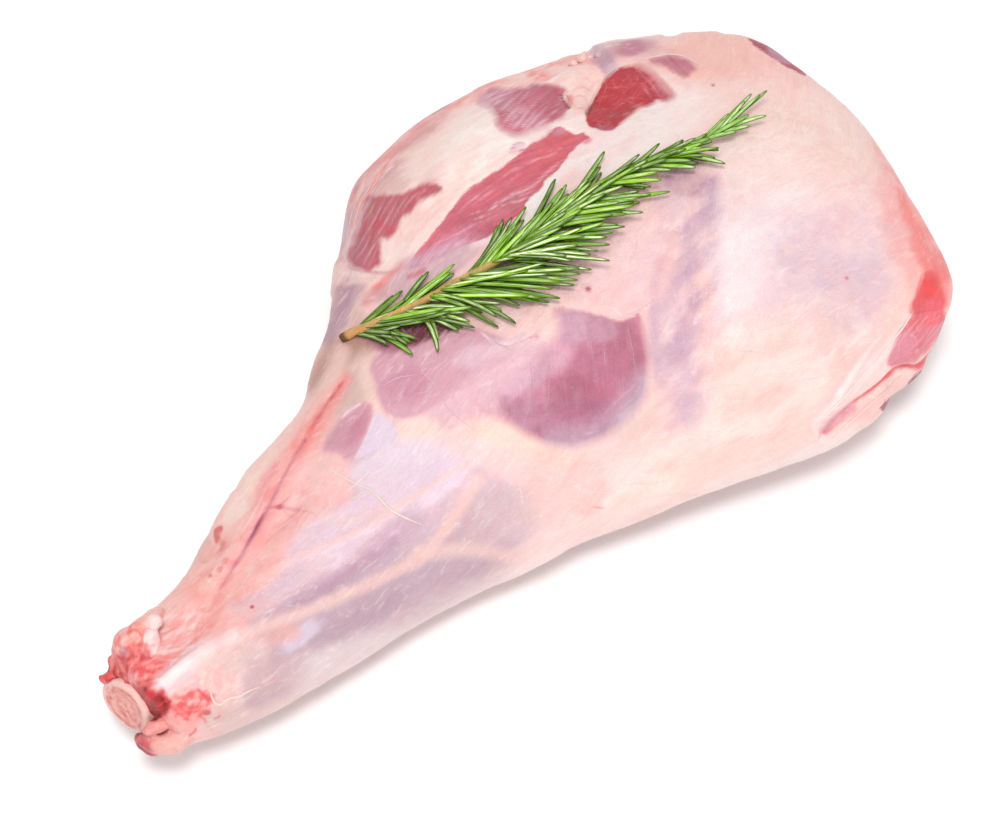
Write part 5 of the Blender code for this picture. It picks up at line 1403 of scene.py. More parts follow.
# =====================================================================
# Placing small pieces by the sheet
# =====================================================================
def on_meat(x, y, h=0.0):
    """Point over the meat at sheet place (x, y), h millimetres off it, and the skin's normal."""
    o, d = sheet_ray(x, y)
    hit, n, _, _ = BVH.ray_cast(o, d)
    if hit is None:
        q, n, _, _ = BVH.find_nearest(o + d * float((MID - EYE) @ np.array(d)))
        hit = q
    if n.dot(d) > 0:
        n = -n
    lean = max(0.35, -n.dot(d))
    return hit - d * (h * MM / lean), n


def at_depth(x, y, place, nearer=0.0):
    """Point at sheet place (x, y), level with `place` (leg frame, mm), nearer the eye by some mm."""
    ref = np.array(place) * MM + shift
    z = float(-(ref - EYE) @ BACK) - nearer * MM
    d = RIGHT * (x - 500) / FOCAL + UP * (411.5 - y) / FOCAL - BACK
    return EYE + d * z


def frames(points):
    """Tangents along a path."""
    p = np.asarray(points, float)
    t = np.gradient(p, axis=0)
    t /= np.maximum(np.linalg.norm(t, axis=1, keepdims=True), 1e-12)
    return t


def tube(points, ups, half_w, half_h, sides=8, shape=None):
    """Closed flattened tube: verts (n*sides + 2), faces."""
    p = np.asarray(points, float)
    t = frames(p)
    up = np.asarray(ups, float)
    side = np.cross(t, up)
    side /= np.maximum(np.linalg.norm(side, axis=1, keepdims=True), 1e-12)
    up = np.cross(side, t)
    n = len(p)
    if shape is None:
        a = np.linspace(0, 2 * np.pi, sides, endpoint=False)
        shape = np.stack([np.cos(a), np.sin(a)], -1)
    shape = np.asarray(shape, float)
    sides = len(shape)
    hw = np.broadcast_to(np.asarray(half_w, float), (n,))
    hh = np.broadcast_to(np.asarray(half_h, float), (n,))
    v = (p[:, None] + side[:, None] * (shape[None, :, 0:1] * hw[:, None, None])
         + up[:, None] * (shape[None, :, 1:2] * hh[:, None, None])).reshape(-1, 3)
    f = []
    for i in range(n - 1):
        for j in range(sides):
            k = (j + 1) % sides
            f.append((i * sides + j, i * sides + k, (i + 1) * sides + k, (i + 1) * sides + j))
    v = np.concatenate([v, p[:1], p[-1:]])
    lo, hi = n * sides, n * sides + 1
    for j in range(sides):
        k = (j + 1) % sides
        f.append((k, j, lo))
        f.append(((n - 1) * sides + j, (n - 1) * sides + k, hi))
    return v, f


class Bundle:
    """Many small closed meshes joined in one object, with point attributes."""

    def __init__(self):
        self.v, self.f, self.c, self.n = [], [], [], 0
        self.extra = {}

    def add(self, v, f, colour, **extra):
        self.v.append(v)
        self.f += [tuple(i + self.n for i in q) for q in f]
        c = np.asarray(colour, float)
        if c.ndim == 1:
            c = np.repeat(c[None], len(v), 0)
        self.c.append(c / 255)
        for k, a in extra.items():
            self.extra.setdefault(k, []).append(np.broadcast_to(np.asarray(a, float), (len(v),)))
        self.n += len(v)

    def build(self, name, material, level=1.0):
        v = np.concatenate(self.v)
        ob = make_object(name, v, self.f)
        add_colour(ob.data, "base", np.concatenate(self.c), level)
        for k, a in self.extra.items():
            add_float(ob.data, k, np.concatenate(a))
        bm = bmesh.new()
        bm.from_mesh(ob.data)
        bmesh.ops.recalc_face_normals(bm, faces=bm.faces)
        bm.to_mesh(ob.data)
        bm.free()
        ob.data.materials.append(material)
        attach(ob, "root")
        return ob


def tissue_material(name, bump=0.5, rough=(0.34, 0.55), coat=0.15, mott=0.22):
    t = Tree(name)
    pos_ = t.put("ShaderNodeTexCoord").outputs["Object"]
    fine = t.noise(pos_, 1100.0, 3.0, 0.6)
    mid = t.noise(pos_, 380.0, 3.0, 0.6)
    k = t.math("MULTIPLY_ADD", t.math("SUBTRACT", mid, 0.5), mott * 1.6, 1.0)
    k = t.math("MULTIPLY_ADD", t.math("SUBTRACT", fine, 0.5), mott, k)
    col = t.brighten(t.attr("base", "Color"), k)
    col = t.mix(t.ramp(t.noise(pos_, 520.0, 3.0, 0.7), 0.58, 0.72, 0.0, 0.35), col, (0.75, 0.25, 0.24))
    r_ = t.ramp(mid, 0.3, 0.7, rough[0], rough[1])
    h = t.math("MULTIPLY_ADD", mid, 0.8, t.math("MULTIPLY", fine, 0.5))
    return t.finish(col, r_, h, 0.0006, bump, Subsurface_Weight=0.15, Subsurface_Radius=(1.0, 0.4, 0.3),
                    Subsurface_Scale=0.003, Coat_Weight=coat, Coat_Roughness=0.2, IOR=1.42)


# =====================================================================
# Threads of membrane, veins and cut edges lying on the meat
# =====================================================================
threads = Bundle()
rng = np.random.default_rng(7)


def thread(pts, width, height, colour, lift=0.0, wobble=0.6, ends=0.25, seed=0):
    """A thread along sheet points; width and height in millimetres."""
    q = np.array([(r[0], r[1]) for r in pts], float)
    path = smooth_path(q, False, 14)
    seg = np.r_[0, np.cumsum(np.linalg.norm(np.diff(path, axis=0), axis=1))]
    n = max(5, int(seg[-1] / 2.2))
    s = np.linspace(0, seg[-1], n)
    path = np.stack([np.interp(s, seg, path[:, 0]), np.interp(s, seg, path[:, 1])], -1)
    path = path + wobble * np.stack([vnoise(path, 14, 61 + seed), vnoise(path, 14, 87 + seed)], -1)
    pts3, ups = [], []
    for x, y in path:
        p_, n_ = on_meat(x, y, 0.0)
        pts3.append(np.array(p_) + np.array(n_) * lift * MM)
        ups.append(np.array(n_))
    u_ = np.linspace(0, 1, n)
    taper = np.minimum(1, np.minimum(u_, 1 - u_) / ends) ** 0.6 * (0.8 + 0.25 * vnoise(path, 9, 40 + seed))
    v_, f_ = tube(pts3, ups, np.maximum(taper, 0.08) * width / 2 * MM, np.maximum(taper, 0.05) * height * MM, 8)
    threads.add(v_, f_, colour)


WHITE, MILK, CREAMY, ROSY = (255, 236, 232), (240, 212, 218), (252, 226, 204), (250, 206, 200)
# the creamy nerve across the shank
thread([(319, 465), (332, 471), (345, 478), (356, 484), (367, 488), (374, 494), (380, 499), (388, 507), (396, 513),
        (408, 519), (424, 525)], 1.1, 0.28, (249, 228, 220), 0.0, 0.8, seed=1)
thread([(366, 489), (356, 497), (348, 500)], 0.7, 0.3, (248, 222, 204), 0.05, 0.5, seed=3)
# a flap of skin over a small tear beside the vein
thread([(204, 612), (199, 624), (197, 638)], 0.6, 0.25, (216, 160, 166), 0.0, 0.6, seed=8)
# the folded membrane by the hock
thread([(210, 686), (211, 695), (214, 702), (220, 704), (226, 699), (232, 697), (240, 695), (250, 690), (262, 686)],
       1.4, 0.9, (253, 218, 208), 0.1, 0.9, seed=11)
# white fibres over the bare muscles
for i, line in enumerate([
        [(584, 318), (590, 334), (592, 348), (593, 362)], [(627, 321), (632, 346), (636, 374)],
        [(548, 352), (549, 380), (547, 410)], [(531, 362), (531, 396), (523, 428)],
        [(604, 346), (605, 368)], [(645, 376), (632, 391), (621, 399), (612, 408)],
        [(636, 386), (622, 398), (606, 410)], [(642, 392), (628, 406), (614, 416)]]):
    thread(line, 0.34, 0.07, (214, 160, 178), 0.0, 0.9, seed=20 + i)
for i, line in enumerate([
        [(481, 332), (470, 345), (451, 361), (432, 377)], [(453, 341), (437, 359), (426, 364), (422, 372), (433, 382),
        (442, 398), (449, 410), (467, 424), (478, 432)], [(383, 386), (397, 378), (418, 374)],
        [(487, 332), (495, 341), (506, 346), (518, 343), (530, 338)], [(434, 382), (428, 390), (416, 394)]]):
    thread(line, 0.48, 0.14, (234, 196, 206), 0.0, 1.0, seed=40 + i)
thread([(614, 319), (626, 317), (637, 313), (645, 307), (653, 301)], 0.8, 0.4, (250, 214, 214), 0.05, 0.8, seed=50)
thread([(490, 345), (499, 344), (510, 350), (520, 349)], 0.7, 0.3, (238, 196, 208), 0.0, 0.8, seed=51)
# folds of thin skin over the rump
for i, line in enumerate([
        [(716, 178), (718, 196), (714, 214)], [(760, 330), (790, 322), (812, 308)], [(736, 350), (760, 352), (782, 346)],
        [(700, 396), (722, 386), (742, 384)], [(712, 410), (730, 402), (748, 396)], [(742, 356), (748, 351), (760, 352)],
        [(560, 476), (590, 490), (620, 494)], [(618, 484), (650, 484), (672, 480)], [(640, 500), (672, 494), (700, 496)],
        [(518, 478), (520, 490), (522, 500)], [(800, 345), (824, 338), (850, 326)], [(780, 388), (800, 380), (826, 376)]]):
    thread(line, 0.5, 0.10, (255, 226, 220), 0.0, 1.4, seed=60 + i)
# the rim round the bare muscles of the inner side
thread([(566, 95), (571, 101), (569, 107)], 1.1, 0.7, (238, 170, 166), 0.1, 0.5, seed=80)
thread([(602, 83), (596, 94), (590, 106)], 1.2, 0.8, (248, 200, 190), 0.2, 0.5, seed=81)
thread([(603, 79), (614, 69), (630, 64)], 0.8, 0.4, (250, 214, 206), 0.1, 0.5, seed=82)
thread([(640, 60), (664, 55), (684, 57), (700, 66)], 0.9, 0.4, (250, 216, 212), 0.1, 0.8, seed=83)
thread([(350, 232), (346, 250), (348, 264), (356, 270)], 0.8, 0.4, (232, 200, 200), 0.1, 0.9, seed=85)
thread([(366, 184), (352, 214), (345, 248)], 0.7, 0.3, (236, 204, 200), 0.1, 0.9, seed=86)
thread([(376, 176), (360, 206), (352, 236)], 0.6, 0.3, (238, 206, 204), 0.1, 0.9, seed=87)
thread([(386, 164), (372, 188), (362, 204)], 0.7, 0.3, (246, 186, 178), 0.1, 0.9, seed=88)
# lips of fat at the chump's cut end
thread([(816, 426), (834, 408), (854, 386), (872, 366), (890, 345), (904, 326), (914, 310)], 1.0, 0.4,
       (255, 236, 231), 0.1, 1.4, 0.15, seed=90)
thread([(832, 438), (850, 422), (866, 408), (884, 392), (902, 376)], 1.3, 0.7, (252, 216, 206), 0.1, 1.4, seed=91)
for foot, rise, wide_, colour_ in (((582, 61), 4.2, 2.2, (250, 206, 198)), ((598, 56), 2.2, 1.6, (222, 180, 186)),
                                    ((574, 64), 1.8, 1.8, (251, 212, 204))):
    p_, n_ = on_meat(foot[0], foot[1], 0.0)
    p_ = np.array(p_)
    way_ = np.array(UP) + 0.25 * np.array(RIGHT)
    row_ = [p_ - way_ * MM, p_ + way_ * 0.35 * rise * MM, p_ + way_ * 0.7 * rise * MM, p_ + way_ * rise * MM]
    v_, f_ = tube(row_, [np.array(BACK)] * 4, np.array([1.3, 1.0, 0.6, 0.12]) * wide_ * MM,
                  np.array([1.0, 0.8, 0.5, 0.12]) * wide_ * MM, 10)
    threads.add(v_, f_, colour_)
threads.build("membrane_threads", tissue_material("membrane", 0.3, (0.32, 0.45), 0.2, 0.08), LEVEL)

# =====================================================================
# The sawn shank bone
# =====================================================================
BONE_C = np.array([-195.5, 7.0, 30.5]) * MM + shift + (RIGHT * 1.6 - UP * 0.6) * MM
AXIS = np.array([-0.985, 0.045, 0.110])
AXIS /= np.linalg.norm(AXIS)
SAW = np.array([-0.955, -0.050, 0.292])
SAW /= np.linalg.norm(SAW)
E1 = np.cross(AXIS, [0, 0, 1.0])
E1 /= np.linalg.norm(E1)
E2 = np.cross(E1, AXIS)


def bone_point(r, a, down=0.0, dent=0.0):
    """Radius r (mm) and bearing a on the saw's plane, `down` mm back along the shaft."""
    r = 1.05 * r * (1 + 0.045 * np.cos(2 * a + 0.7) + 0.03 * np.cos(3 * a + 2.0))
    flat = E1 * np.cos(a) * r + E2 * np.sin(a) * r
    h = -(SAW @ flat) / (SAW @ AXIS)
    return BONE_C + (flat + AXIS * (h - down)) * MM - SAW * dent * MM


verts_, faces_, rad_, = [], [], []
NB = 96
profile_ = [(r_, 0.0) for r_ in np.linspace(0.4, 10.0, 26)]
profile_ += [(10.5, 0.05), (10.95, 0.2), (11.25, 0.5), (11.4, 1.0), (11.4, 2.0), (11.3, 4.0), (11.0, 7.0),
             (10.6, 11.0), (9.8, 18.0), (9.0, 30.0), (8.4, 50.0), (8.2, 80.0), (9.0, 120.0), (9.8, 142.0), (7.4, 147.0),
             (3.0, 148.5)]
shape_ = []
for k_, (r_, d_) in enumerate(profile_):
    for j in range(NB):
        a_ = 2 * np.pi * j / NB
        saw_marks = 0.10 * math.sin(r_ * math.sin(a_ - 0.5) * 3.1 + 0.6 * math.sin(r_ * 0.9)) if d_ == 0 else 0.0
        marrow = 0.55 * math.exp(-((r_ - 4.2 - 1.2 * math.cos(2 * a_)) / 1.5) ** 2) if d_ == 0 else 0.0
        verts_.append(bone_point(r_, a_, d_, saw_marks + marrow))
        shape_.append((r_, d_, a_))
for i in range(len(profile_) - 1):
    for j in range(NB):
        k_ = (j + 1) % NB
        faces_.append((i * NB + j, i * NB + k_, (i + 1) * NB + k_, (i + 1) * NB + j))
verts_.append(bone_point(0.0, 0.0))
verts_.append(bone_point(0.0, 0.0, 149.0))
shape_ += [(0, 0, 0), (0, 149, 0)]
c0, c1 = len(verts_) - 2, len(verts_) - 1
for j in range(NB):
    k_ = (j + 1) % NB
    faces_.append((k_, j, c0))
    faces_.append(((len(profile_) - 1) * NB + j, (len(profile_) - 1) * NB + k_, c1))
verts_ = np.array(verts_)
shape_ = np.array(shape_)
bone = make_object("sawn_shank_bone", verts_, faces_)
rr, dd, aa = shape_.T
bp = verts_ / MM
core = ease((9.3 - rr + 0.5 * vnoise(bp, 3, 3)) / 1.2) * (dd == 0)
col_ = np.zeros((len(bp), 3))
col_[:] = (250, 208, 198)
spong = ease(vnoise(bp, 1.5, 5, 3) * 1.8 + 0.45)[:, None]
col_ = col_ * (1 - core[:, None]) + (np.array((236, 158, 150)) * (1 - spong) + np.array((246, 188, 176)) * spong) * core[:, None]
ringm = (np.exp(-((rr - 8.7 - 0.5 * np.cos(aa * 3)) / 0.7) ** 2) * (dd == 0) * ease(vnoise(bp, 2.4, 9, 3) * 1.6 + 0.45))[:, None]
col_ = col_ * (1 - 0.6 * ringm) + np.array((214, 84, 84)) * 0.6 * ringm
stain = (ease((np.sin(rr * 1.7 + 2.0 * np.cos(aa)) * 0.5 + vnoise(bp, 2.6, 13, 3)) * 1.3 - 0.35) * (dd == 0) * (rr < 9))[:, None]
col_ = col_ * (1 - 0.55 * stain) + np.array((206, 92, 98)) * 0.55 * stain
depth_ = ease((dd - 3.5) / 4)[:, None]
col_ = col_ * (1 - depth_) + np.array((222, 120, 116)) * depth_
add_colour(bone.data, "base", col_ / 255, LEVEL)
bm = bmesh.new()
bm.from_mesh(bone.data)
bmesh.ops.recalc_face_normals(bm, faces=bm.faces)
bm.to_mesh(bone.data)
bm.free()
bone.data.materials.append(tissue_material("sawn_bone", 0.7, (0.42, 0.62), 0.08, 0.14))
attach(bone, "root")
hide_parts("shank_bone")

# =====================================================================
# The hock: the leg's end again on a finer mesh, grown together with knobs of
# gristle, tendon stumps, torn red tissue and the flap under the bone
# =====================================================================
HOCK = (-182, 4, 45)
# sheet x, y, mm nearer the eye than HOCK, radii (right, up, deep) mm, turn on the sheet, colour
LUMPS = [
    # heel of the hock above the bone
    (129, 641, -3, (6.2, 5.6, 8), 30, (249, 186, 178)), (121, 651, -5, (3.6, 4.2, 6), 20, (232, 158, 158)),
    (127, 659, -5, (4.4, 3.2, 5), 0, (222, 140, 146)), (138, 634, 0.5, (4.2, 4.8, 5), 10, (246, 170, 154)),
    (141, 627, -4, (6.4, 3.4, 7), 35, (250, 192, 184)), (140, 650, -1, (4.4, 4.2, 5), 30, (243, 160, 154)),
    (152, 618, -6, (5.6, 3.2, 7), 40, (249, 200, 190)),
    # two white knobs of cartilage
    (151.3, 641.5, 2.2, (3.3, 5.0, 3.4), -8, (255, 243, 240)), (155, 621.5, 0.6, (3.2, 3.0, 3.2), 10, (255, 234, 230)),
    # raw red tissue in the hollow over the bone
    (120, 668, -9, (4.8, 4.0, 6), 50, (158, 34, 40)), (129, 671, -6.5, (4.6, 3.0, 5), 20, (216, 72, 72)),
    (139, 668, -3.5, (5.4, 3.2, 5), 25, (234, 96, 94)), (148, 662, -1.6, (5.4, 3.2, 5), 25, (240, 128, 124)),
    (110, 676, -10, (3.4, 2.2, 5), 40, (206, 66, 68)), (149, 679, -2.6, (6.0, 3.8, 5), 30, (240, 140, 138)),
    # the end of the shin tendon
    (158, 692, 1.6, (3.4, 2.2, 2.6), 35, (255, 240, 236)), (166, 686, 1.8, (5.0, 2.7, 3.0), 38, (255, 238, 234)),
    # deep red pocket beside the bone
    (147, 692, -5.5, (3.6, 4.4, 5), -50, (200, 34, 38)), (154, 704, -5.5, (4.4, 4.6, 5), -40, (184, 26, 30)),
    (160, 700, -2.4, (3.4, 3.0, 3.4), 0, (206, 76, 80)), (156, 714, -8.5, (4.0, 3.2, 4), 20, (112, 16, 22)),
    (144, 683, -6, (4.0, 3.0, 4), -30, (218, 84, 84)),
    # smooth pink knob and the flap under it
    (156.5, 726, -1.2, (4.3, 2.9, 4.4), 12, (248, 166, 160)), (150, 730, -3, (3.0, 2.2, 4), 30, (238, 134, 134)),
    (165, 721, -2.2, (3.0, 3.0, 4), 60, (238, 112, 110)),
    (146, 743, -7.4, (5.0, 3.2, 4.4), -38, (164, 62, 74)), (152, 747, -7.0, (4.4, 3.4, 4.6), -36, (176, 74, 86)),
    (141, 738, -7.4, (2.6, 2.0, 3.2), -38, (138, 40, 52)),
    (160, 744, -6.6, (5.0, 4.4, 5.5), 20, (240, 186, 178)), (172, 742, -7.0, (8.0, 4.8, 7.0), 20, (240, 192, 182)),
    # clots on the flap
    (186, 700, 1.6, (2.6, 1.6, 1.9), 10, (236, 112, 108)), (199, 697, 1.8, (2.0, 1.7, 1.8), 60, (216, 74, 78)),
    (193, 711, 1.5, (2.6, 1.6, 1.8), -10, (242, 142, 136)), (179, 705, 1.3, (2.4, 2.0, 2.2), 0, (246, 160, 154)),
    (204, 706, 0.5, (1.6, 1.3, 1.5), 20, (234, 124, 120)), (178, 716, 0.9, (3.0, 1.8, 1.8), 35, (250, 182, 174)),
    (192, 703, 1.9, (1.5, 1.2, 1.4), 0, (222, 84, 86)), (186, 708, 1.7, (1.6, 1.2, 1.4), 40, (228, 98, 98)),
    (200, 704, 1.7, (1.4, 1.1, 1.3), -30, (236, 130, 124)), (182, 695, 1.5, (1.5, 1.2, 1.4), 20, (244, 150, 144)),
    # the torn spike above the bone and more raw tissue
    (102.5, 679.5, -9.0, (1.3, 2.4, 2.0), 35, (222, 110, 106)), (114, 662, -8.0, (2.2, 3.0, 4.0), 30, (226, 118, 116)),
    (133, 679, -4.5, (4.4, 2.0, 4.0), 28, (224, 88, 86)), (142, 674, -2.8, (3.4, 1.8, 3.6), 25, (246, 160, 154)),
    (126, 664, -6.4, (3.0, 2.2, 4.0), 30, (206, 60, 62)), (136, 658, -3.4, (3.4, 2.2, 4.0), 35, (240, 132, 126)),
]
gp = pos.reshape(ROW, SIDES, 3)
gn = nrm.reshape(ROW, SIDES, 3)
leg_x = (gp[..., 0].mean(1) - shift[0]) / MM
HOCK_END = -132.0
rows = [i for i in range(ROW) if leg_x[i] < HOCK_END]
cover = np.array([0.30 - 1.5 * float(ease((leg_x[i] + 146) / 12)) for i in rows])
shell = gp[rows] + gn[rows] * (cover * MM)[:, None, None]
hv, hf = grid_faces(len(rows), SIDES, shell.reshape(-1, 3))
bm = bmesh.new()
made = [bm.verts.new(tuple(v_)) for v_ in hv]
for f_ in hf:
    bm.faces.new([made[i] for i in f_])
lump_c, lump_r, lump_m, lump_col = [], [], [], []
for (x_, y_, near_, rad, turn_, colour_) in LUMPS:
    cpt = at_depth(x_, y_, HOCK, near_)
    a_ = math.radians(turn_)
    ex = RIGHT * math.cos(a_) + UP * math.sin(a_)
    ey = -RIGHT * math.sin(a_) + UP * math.cos(a_)
    axes_ = np.stack([ex, ey, BACK])                       # rows
    m_ = bmesh.ops.create_icosphere(bm, subdivisions=3, radius=1.0)["verts"]
    for v_ in m_:
        l_ = np.array(v_.co) * np.array(rad) * MM
        v_.co = Vector(cpt + l_ @ axes_)
    lump_c.append(cpt)
    lump_r.append(np.array(rad) * MM)
    lump_m.append(axes_)
    lump_col.append(np.array(colour_) / 255)
bmesh.ops.recalc_face_normals(bm, faces=bm.faces)
tme = bpy.data.meshes.new("hock_meat")
bm.to_mesh(tme)
bm.free()
tissue = bpy.data.objects.new("hock_meat", tme)
bpy.context.scene.collection.objects.link(tissue)
rm = tissue.modifiers.new("join", "REMESH")
rm.mode = "VOXEL"
rm.voxel_size = 0.00058
dg = bpy.context.evaluated_depsgraph_get()
joined = bpy.data.meshes.new_from_object(tissue.evaluated_get(dg))
tissue.modifiers.clear()
tissue.data = joined
bm = bmesh.new()
bm.from_mesh(joined)
for _ in range(7):
    bmesh.ops.smooth_vert(bm, verts=bm.verts, factor=0.5, use_axis_x=True, use_axis_y=True, use_axis_z=True)
bm.to_mesh(joined)
bm.free()
tp = coords(joined)
tn = vertex_normals(joined)
near_end = ease((HOCK_END - 6 - (tp[:, 0] - shift[0]) / MM) / 12)
fine_ = 0.30 * vnoise(tp / MM, 3.4, 5, 3) + 0.12 * vnoise(tp / MM, 1.3, 6, 2)

# how much each place belongs to a lump, and which
own = np.zeros((len(tp), 3))
wsum = np.zeros(len(tp))
gap = np.full(len(tp), 9.0)
jig = 0.5 * vnoise(tp / MM, 4.0, 15, 3)
for cpt, rad, axes_, colour_ in zip(lump_c, lump_r, lump_m, lump_col):
    l_ = (tp - cpt) @ axes_.T / rad
    dist_ = (np.linalg.norm(l_, axis=1) - 1) * float(np.mean(rad)) / MM
    gap = np.minimum(gap, dist_)
    w_ = np.exp(-np.clip(dist_ + 0.6 + jig, -2, 9) * 2.6)
    own += w_[:, None] * colour_
    wsum += w_
own /= wsum[:, None]
lumpy = ease((1.5 - gap + jig) / 1.6)

H = Paint(tp, tn)
paint_leg(H, tn)
H.base = H.base * (1 - lumpy[:, None]) + own * lumpy[:, None]
H.cut = np.where(lumpy > 0.1, -12, H.cut)
H.blush = 0.35 + 1.0 * lumpy


def paint_hock(H):
    """Close detail of the hock's skin, on the sheet."""
    H.mottled(H.blob(190, 703, 19, 13, 20, 0.8, 0.5, 5, 31), (222, 66, 70), (253, 196, 188), 1.7, 221, 0.85, 0.8)
    H.mottled(H.blob(128, 664, 26, 12, 35, 0.8, 0.4, 5, 32), (192, 34, 40), (242, 130, 124), 1.8, 222, 0.75, 0.8)
    H.mottled(H.blob(150, 672, 22, 10, 28, 0.9, 0.4, 5, 33), (232, 92, 90), (253, 188, 182), 1.8, 223, 0.7, 0.6)
    H.mottled(H.blob(128, 642, 15, 16, 20, 0.8, 0.3, 5, 34), (232, 122, 116), (253, 214, 206), 2.0, 224, 0.6, 0.9)
    H.mottled(H.blob(180, 634, 28, 22, 30, 0.9, 0.3, 5, 35), (240, 136, 132), (255, 224, 220), 1.8, 225, 0.5, 0.35)
    H.mottled(H.blob(160, 734, 26, 10, 18, 0.9, 0.4, 5, 36), (246, 150, 144), (254, 220, 212), 2.2, 226, 0.5, 0.9)
    H.mottled(H.blob(206, 690, 30, 22, 20, 0.9, 0.4, 5, 37), (246, 170, 166), (255, 228, 222), 2.2, 227, 0.35, 0.9)
    # fibres fanning from the white knobs, red and pale
    for k_, (x0, y0, x1, y1, w_, col_) in enumerate([
            (160, 640, 196, 618, 3.0, (252, 214, 210)), (160, 646, 198, 632, 2.4, (244, 170, 168)),
            (158, 652, 192, 646, 3.0, (253, 218, 214)), (154, 656, 186, 656, 2.4, (240, 146, 144)),
            (146, 660, 176, 664, 3.4, (236, 110, 108)), (152, 667, 182, 658, 2.2, (250, 190, 186)),
            (164, 628, 192, 612, 2.4, (248, 188, 182)), (166, 622, 186, 606, 2.0, (253, 216, 208)),
            (138, 668, 160, 672, 3.0, (232, 90, 90)), (146, 674, 166, 676, 2.6, (246, 164, 160)),
            (162, 634, 186, 622, 1.6, (236, 150, 150)), (168, 650, 190, 638, 1.6, (240, 160, 160))]):
        xm, ym = (x0 + x1) / 2, (y0 + y1) / 2 + 1.5
        H.to(H.line([(x0, y0, 1.0), (xm, ym, 1.1), (x1, y1, 0.4)], w_, 2.2, 0.8, 7, 30 + k_), col_, 0.7)
    H.to(H.line([(196, 648), (184, 656), (170, 667), (158, 677)], 2.2, 3), (208, 178, 200), 0.65)
    H.to(H.line([(154, 690, 0.8), (166, 680, 1.0), (184, 666, 1.2), (206, 650, 1.5)], 13, 10, 2.0), (254, 228, 226), 0.75)
    H.to(H.line([(156, 688, 0.8), (170, 677, 1.0), (188, 662, 1.0)], 7, 7, 1.6), (255, 246, 244), 0.8)
    # painted shadow: lavender shade along the tendon's lower side
    H.to(H.line([(166, 694), (178, 682), (190, 672)], 4.5, 5, 1), (240, 206, 220), 0.7)
    H.to(H.line([(130, 632), (136, 630), (142, 636)], 2.4, 2), (226, 116, 112), 0.8)
    H.to(H.line([(143, 632), (142, 642), (145, 651)], 2.2, 2), (238, 146, 140), 0.8)
    H.to(H.line([(160, 634), (161, 644), (157, 652)], 2.0, 2), (240, 176, 172), 0.8)
    H.to(H.line([(147, 628), (154, 630), (161, 628)], 1.8, 1.6), (240, 186, 182), 0.8)
    H.to(H.blob(124, 651, 4, 5, 20, 0.8, 0.3, 6, 3), (206, 150, 164), 0.7)
    H.to(H.line([(117, 655), (122, 660), (126, 658)], 2, 2), (186, 80, 90), 0.6)
    # streaks of blood down the flap
    for k_, (x0, y0, x1, y1, w_, col_) in enumerate([
            (178, 698, 194, 692, 2.6, (238, 112, 110)), (184, 712, 198, 707, 2.6, (232, 100, 100)),
            (198, 690, 208, 700, 3.4, (226, 84, 88)), (172, 704, 186, 716, 3.0, (246, 150, 146)),
            (190, 735, 196, 729, 2.6, (222, 96, 104)), (214, 719, 220, 716, 1.8, (196, 96, 116)),
            (206, 724, 214, 734, 2.0, (244, 176, 168)), (200, 716, 206, 722, 2.4, (238, 130, 126)),
            (178, 726, 190, 722, 3, (250, 186, 180)), (164, 732, 180, 736, 3, (250, 196, 190))]):
        H.to(H.line([(x0, y0), ((x0 + x1) / 2 + 1, (y0 + y1) / 2), (x1, y1)], w_, 2.6, 0.9, 6, 50 + k_), col_, 0.75)
    H.to(H.line([(133, 745), (142, 735), (150, 738)], 2.0, 2), (226, 130, 134), 0.7)
    H.to(H.line([(140, 742), (146, 748)], 1.2, 1.2), (214, 130, 140), 0.6)
    H.to(H.line([(144, 739), (150, 746)], 1.2, 1.2), (208, 120, 130), 0.6)
    H.to(H.line([(147, 717), (153, 720), (160, 716)], 3, 2.4), (110, 14, 22), 0.8)
    H.to(H.blob(150, 696, 5, 8, -35, 0.8, 0.4, 4, 41), (214, 44, 48), 0.75)
    H.to(H.blob(159, 705, 4, 5, 0, 0.8, 0.4, 3, 42), (206, 40, 46), 0.7)
    for x_, y_, r_ in ((162, 699, 2.2), (165, 704, 1.8), (152, 712, 1.8), (146, 689, 1.6)):
        H.to(H.blob(x_, y_, r_, r_ * 1.3, 20, 0.8, 0.4, 3, int(x_)), (132, 14, 22), 0.8)
    H.lift += 0.6 * H.line([(150, 692), (166, 678), (184, 664), (202, 650)], 12, 10)
    H.lift += -0.7 * H.line([(196, 648), (184, 656), (170, 667), (156, 679)], 3, 4)
    H.lift += 0.35 * H.line([(160, 640), (178, 628), (196, 618)], 2, 3) + 0.35 * H.line([(158, 652), (176, 649), (192, 646)], 2, 3)


paint_hock(H)
H.lift = H.lift - 0.0
lift_ = (fine_ * (0.35 + 0.65 * lumpy) + (H.lift - 0.25 * vnoise(H.p, 9, 31, 2) - 0.12 * vnoise(H.p, 3.5, 32, 2)
                                           + 0.0) * 0.0) * near_end
own_lift = 0.7 * H.line([(150, 692), (166, 678), (184, 664), (202, 650)], 12, 11) \
    - 0.5 * H.line([(196, 648), (184, 656), (170, 667), (156, 679)], 2, 4) \
    + 0.4 * H.line([(160, 640), (178, 628), (196, 618)], 2, 3) + 0.4 * H.line([(158, 652), (176, 649), (192, 646)], 2, 3)
tp = tp + tn * ((lift_ + own_lift * near_end) * MM)[:, None]
tp[:, 2] = np.maximum(tp[:, 2], 0.0003)
joined.vertices.foreach_set("co", tp.astype(np.float32).ravel())
joined.update()
H.grain = H.grain * (1 - 0.6 * lumpy)
around = np.arctan2(tp[:, 1] - (shift[1] + 0.001), tp[:, 2] - 0.028) * 30
dress(joined, H, tp[:, 0] / MM, around)
joined.shade_smooth()
joined.materials.append(meat)
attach(tissue, "root")

# =====================================================================
# The sprig of rosemary
# =====================================================================
rng = np.random.default_rng(41)
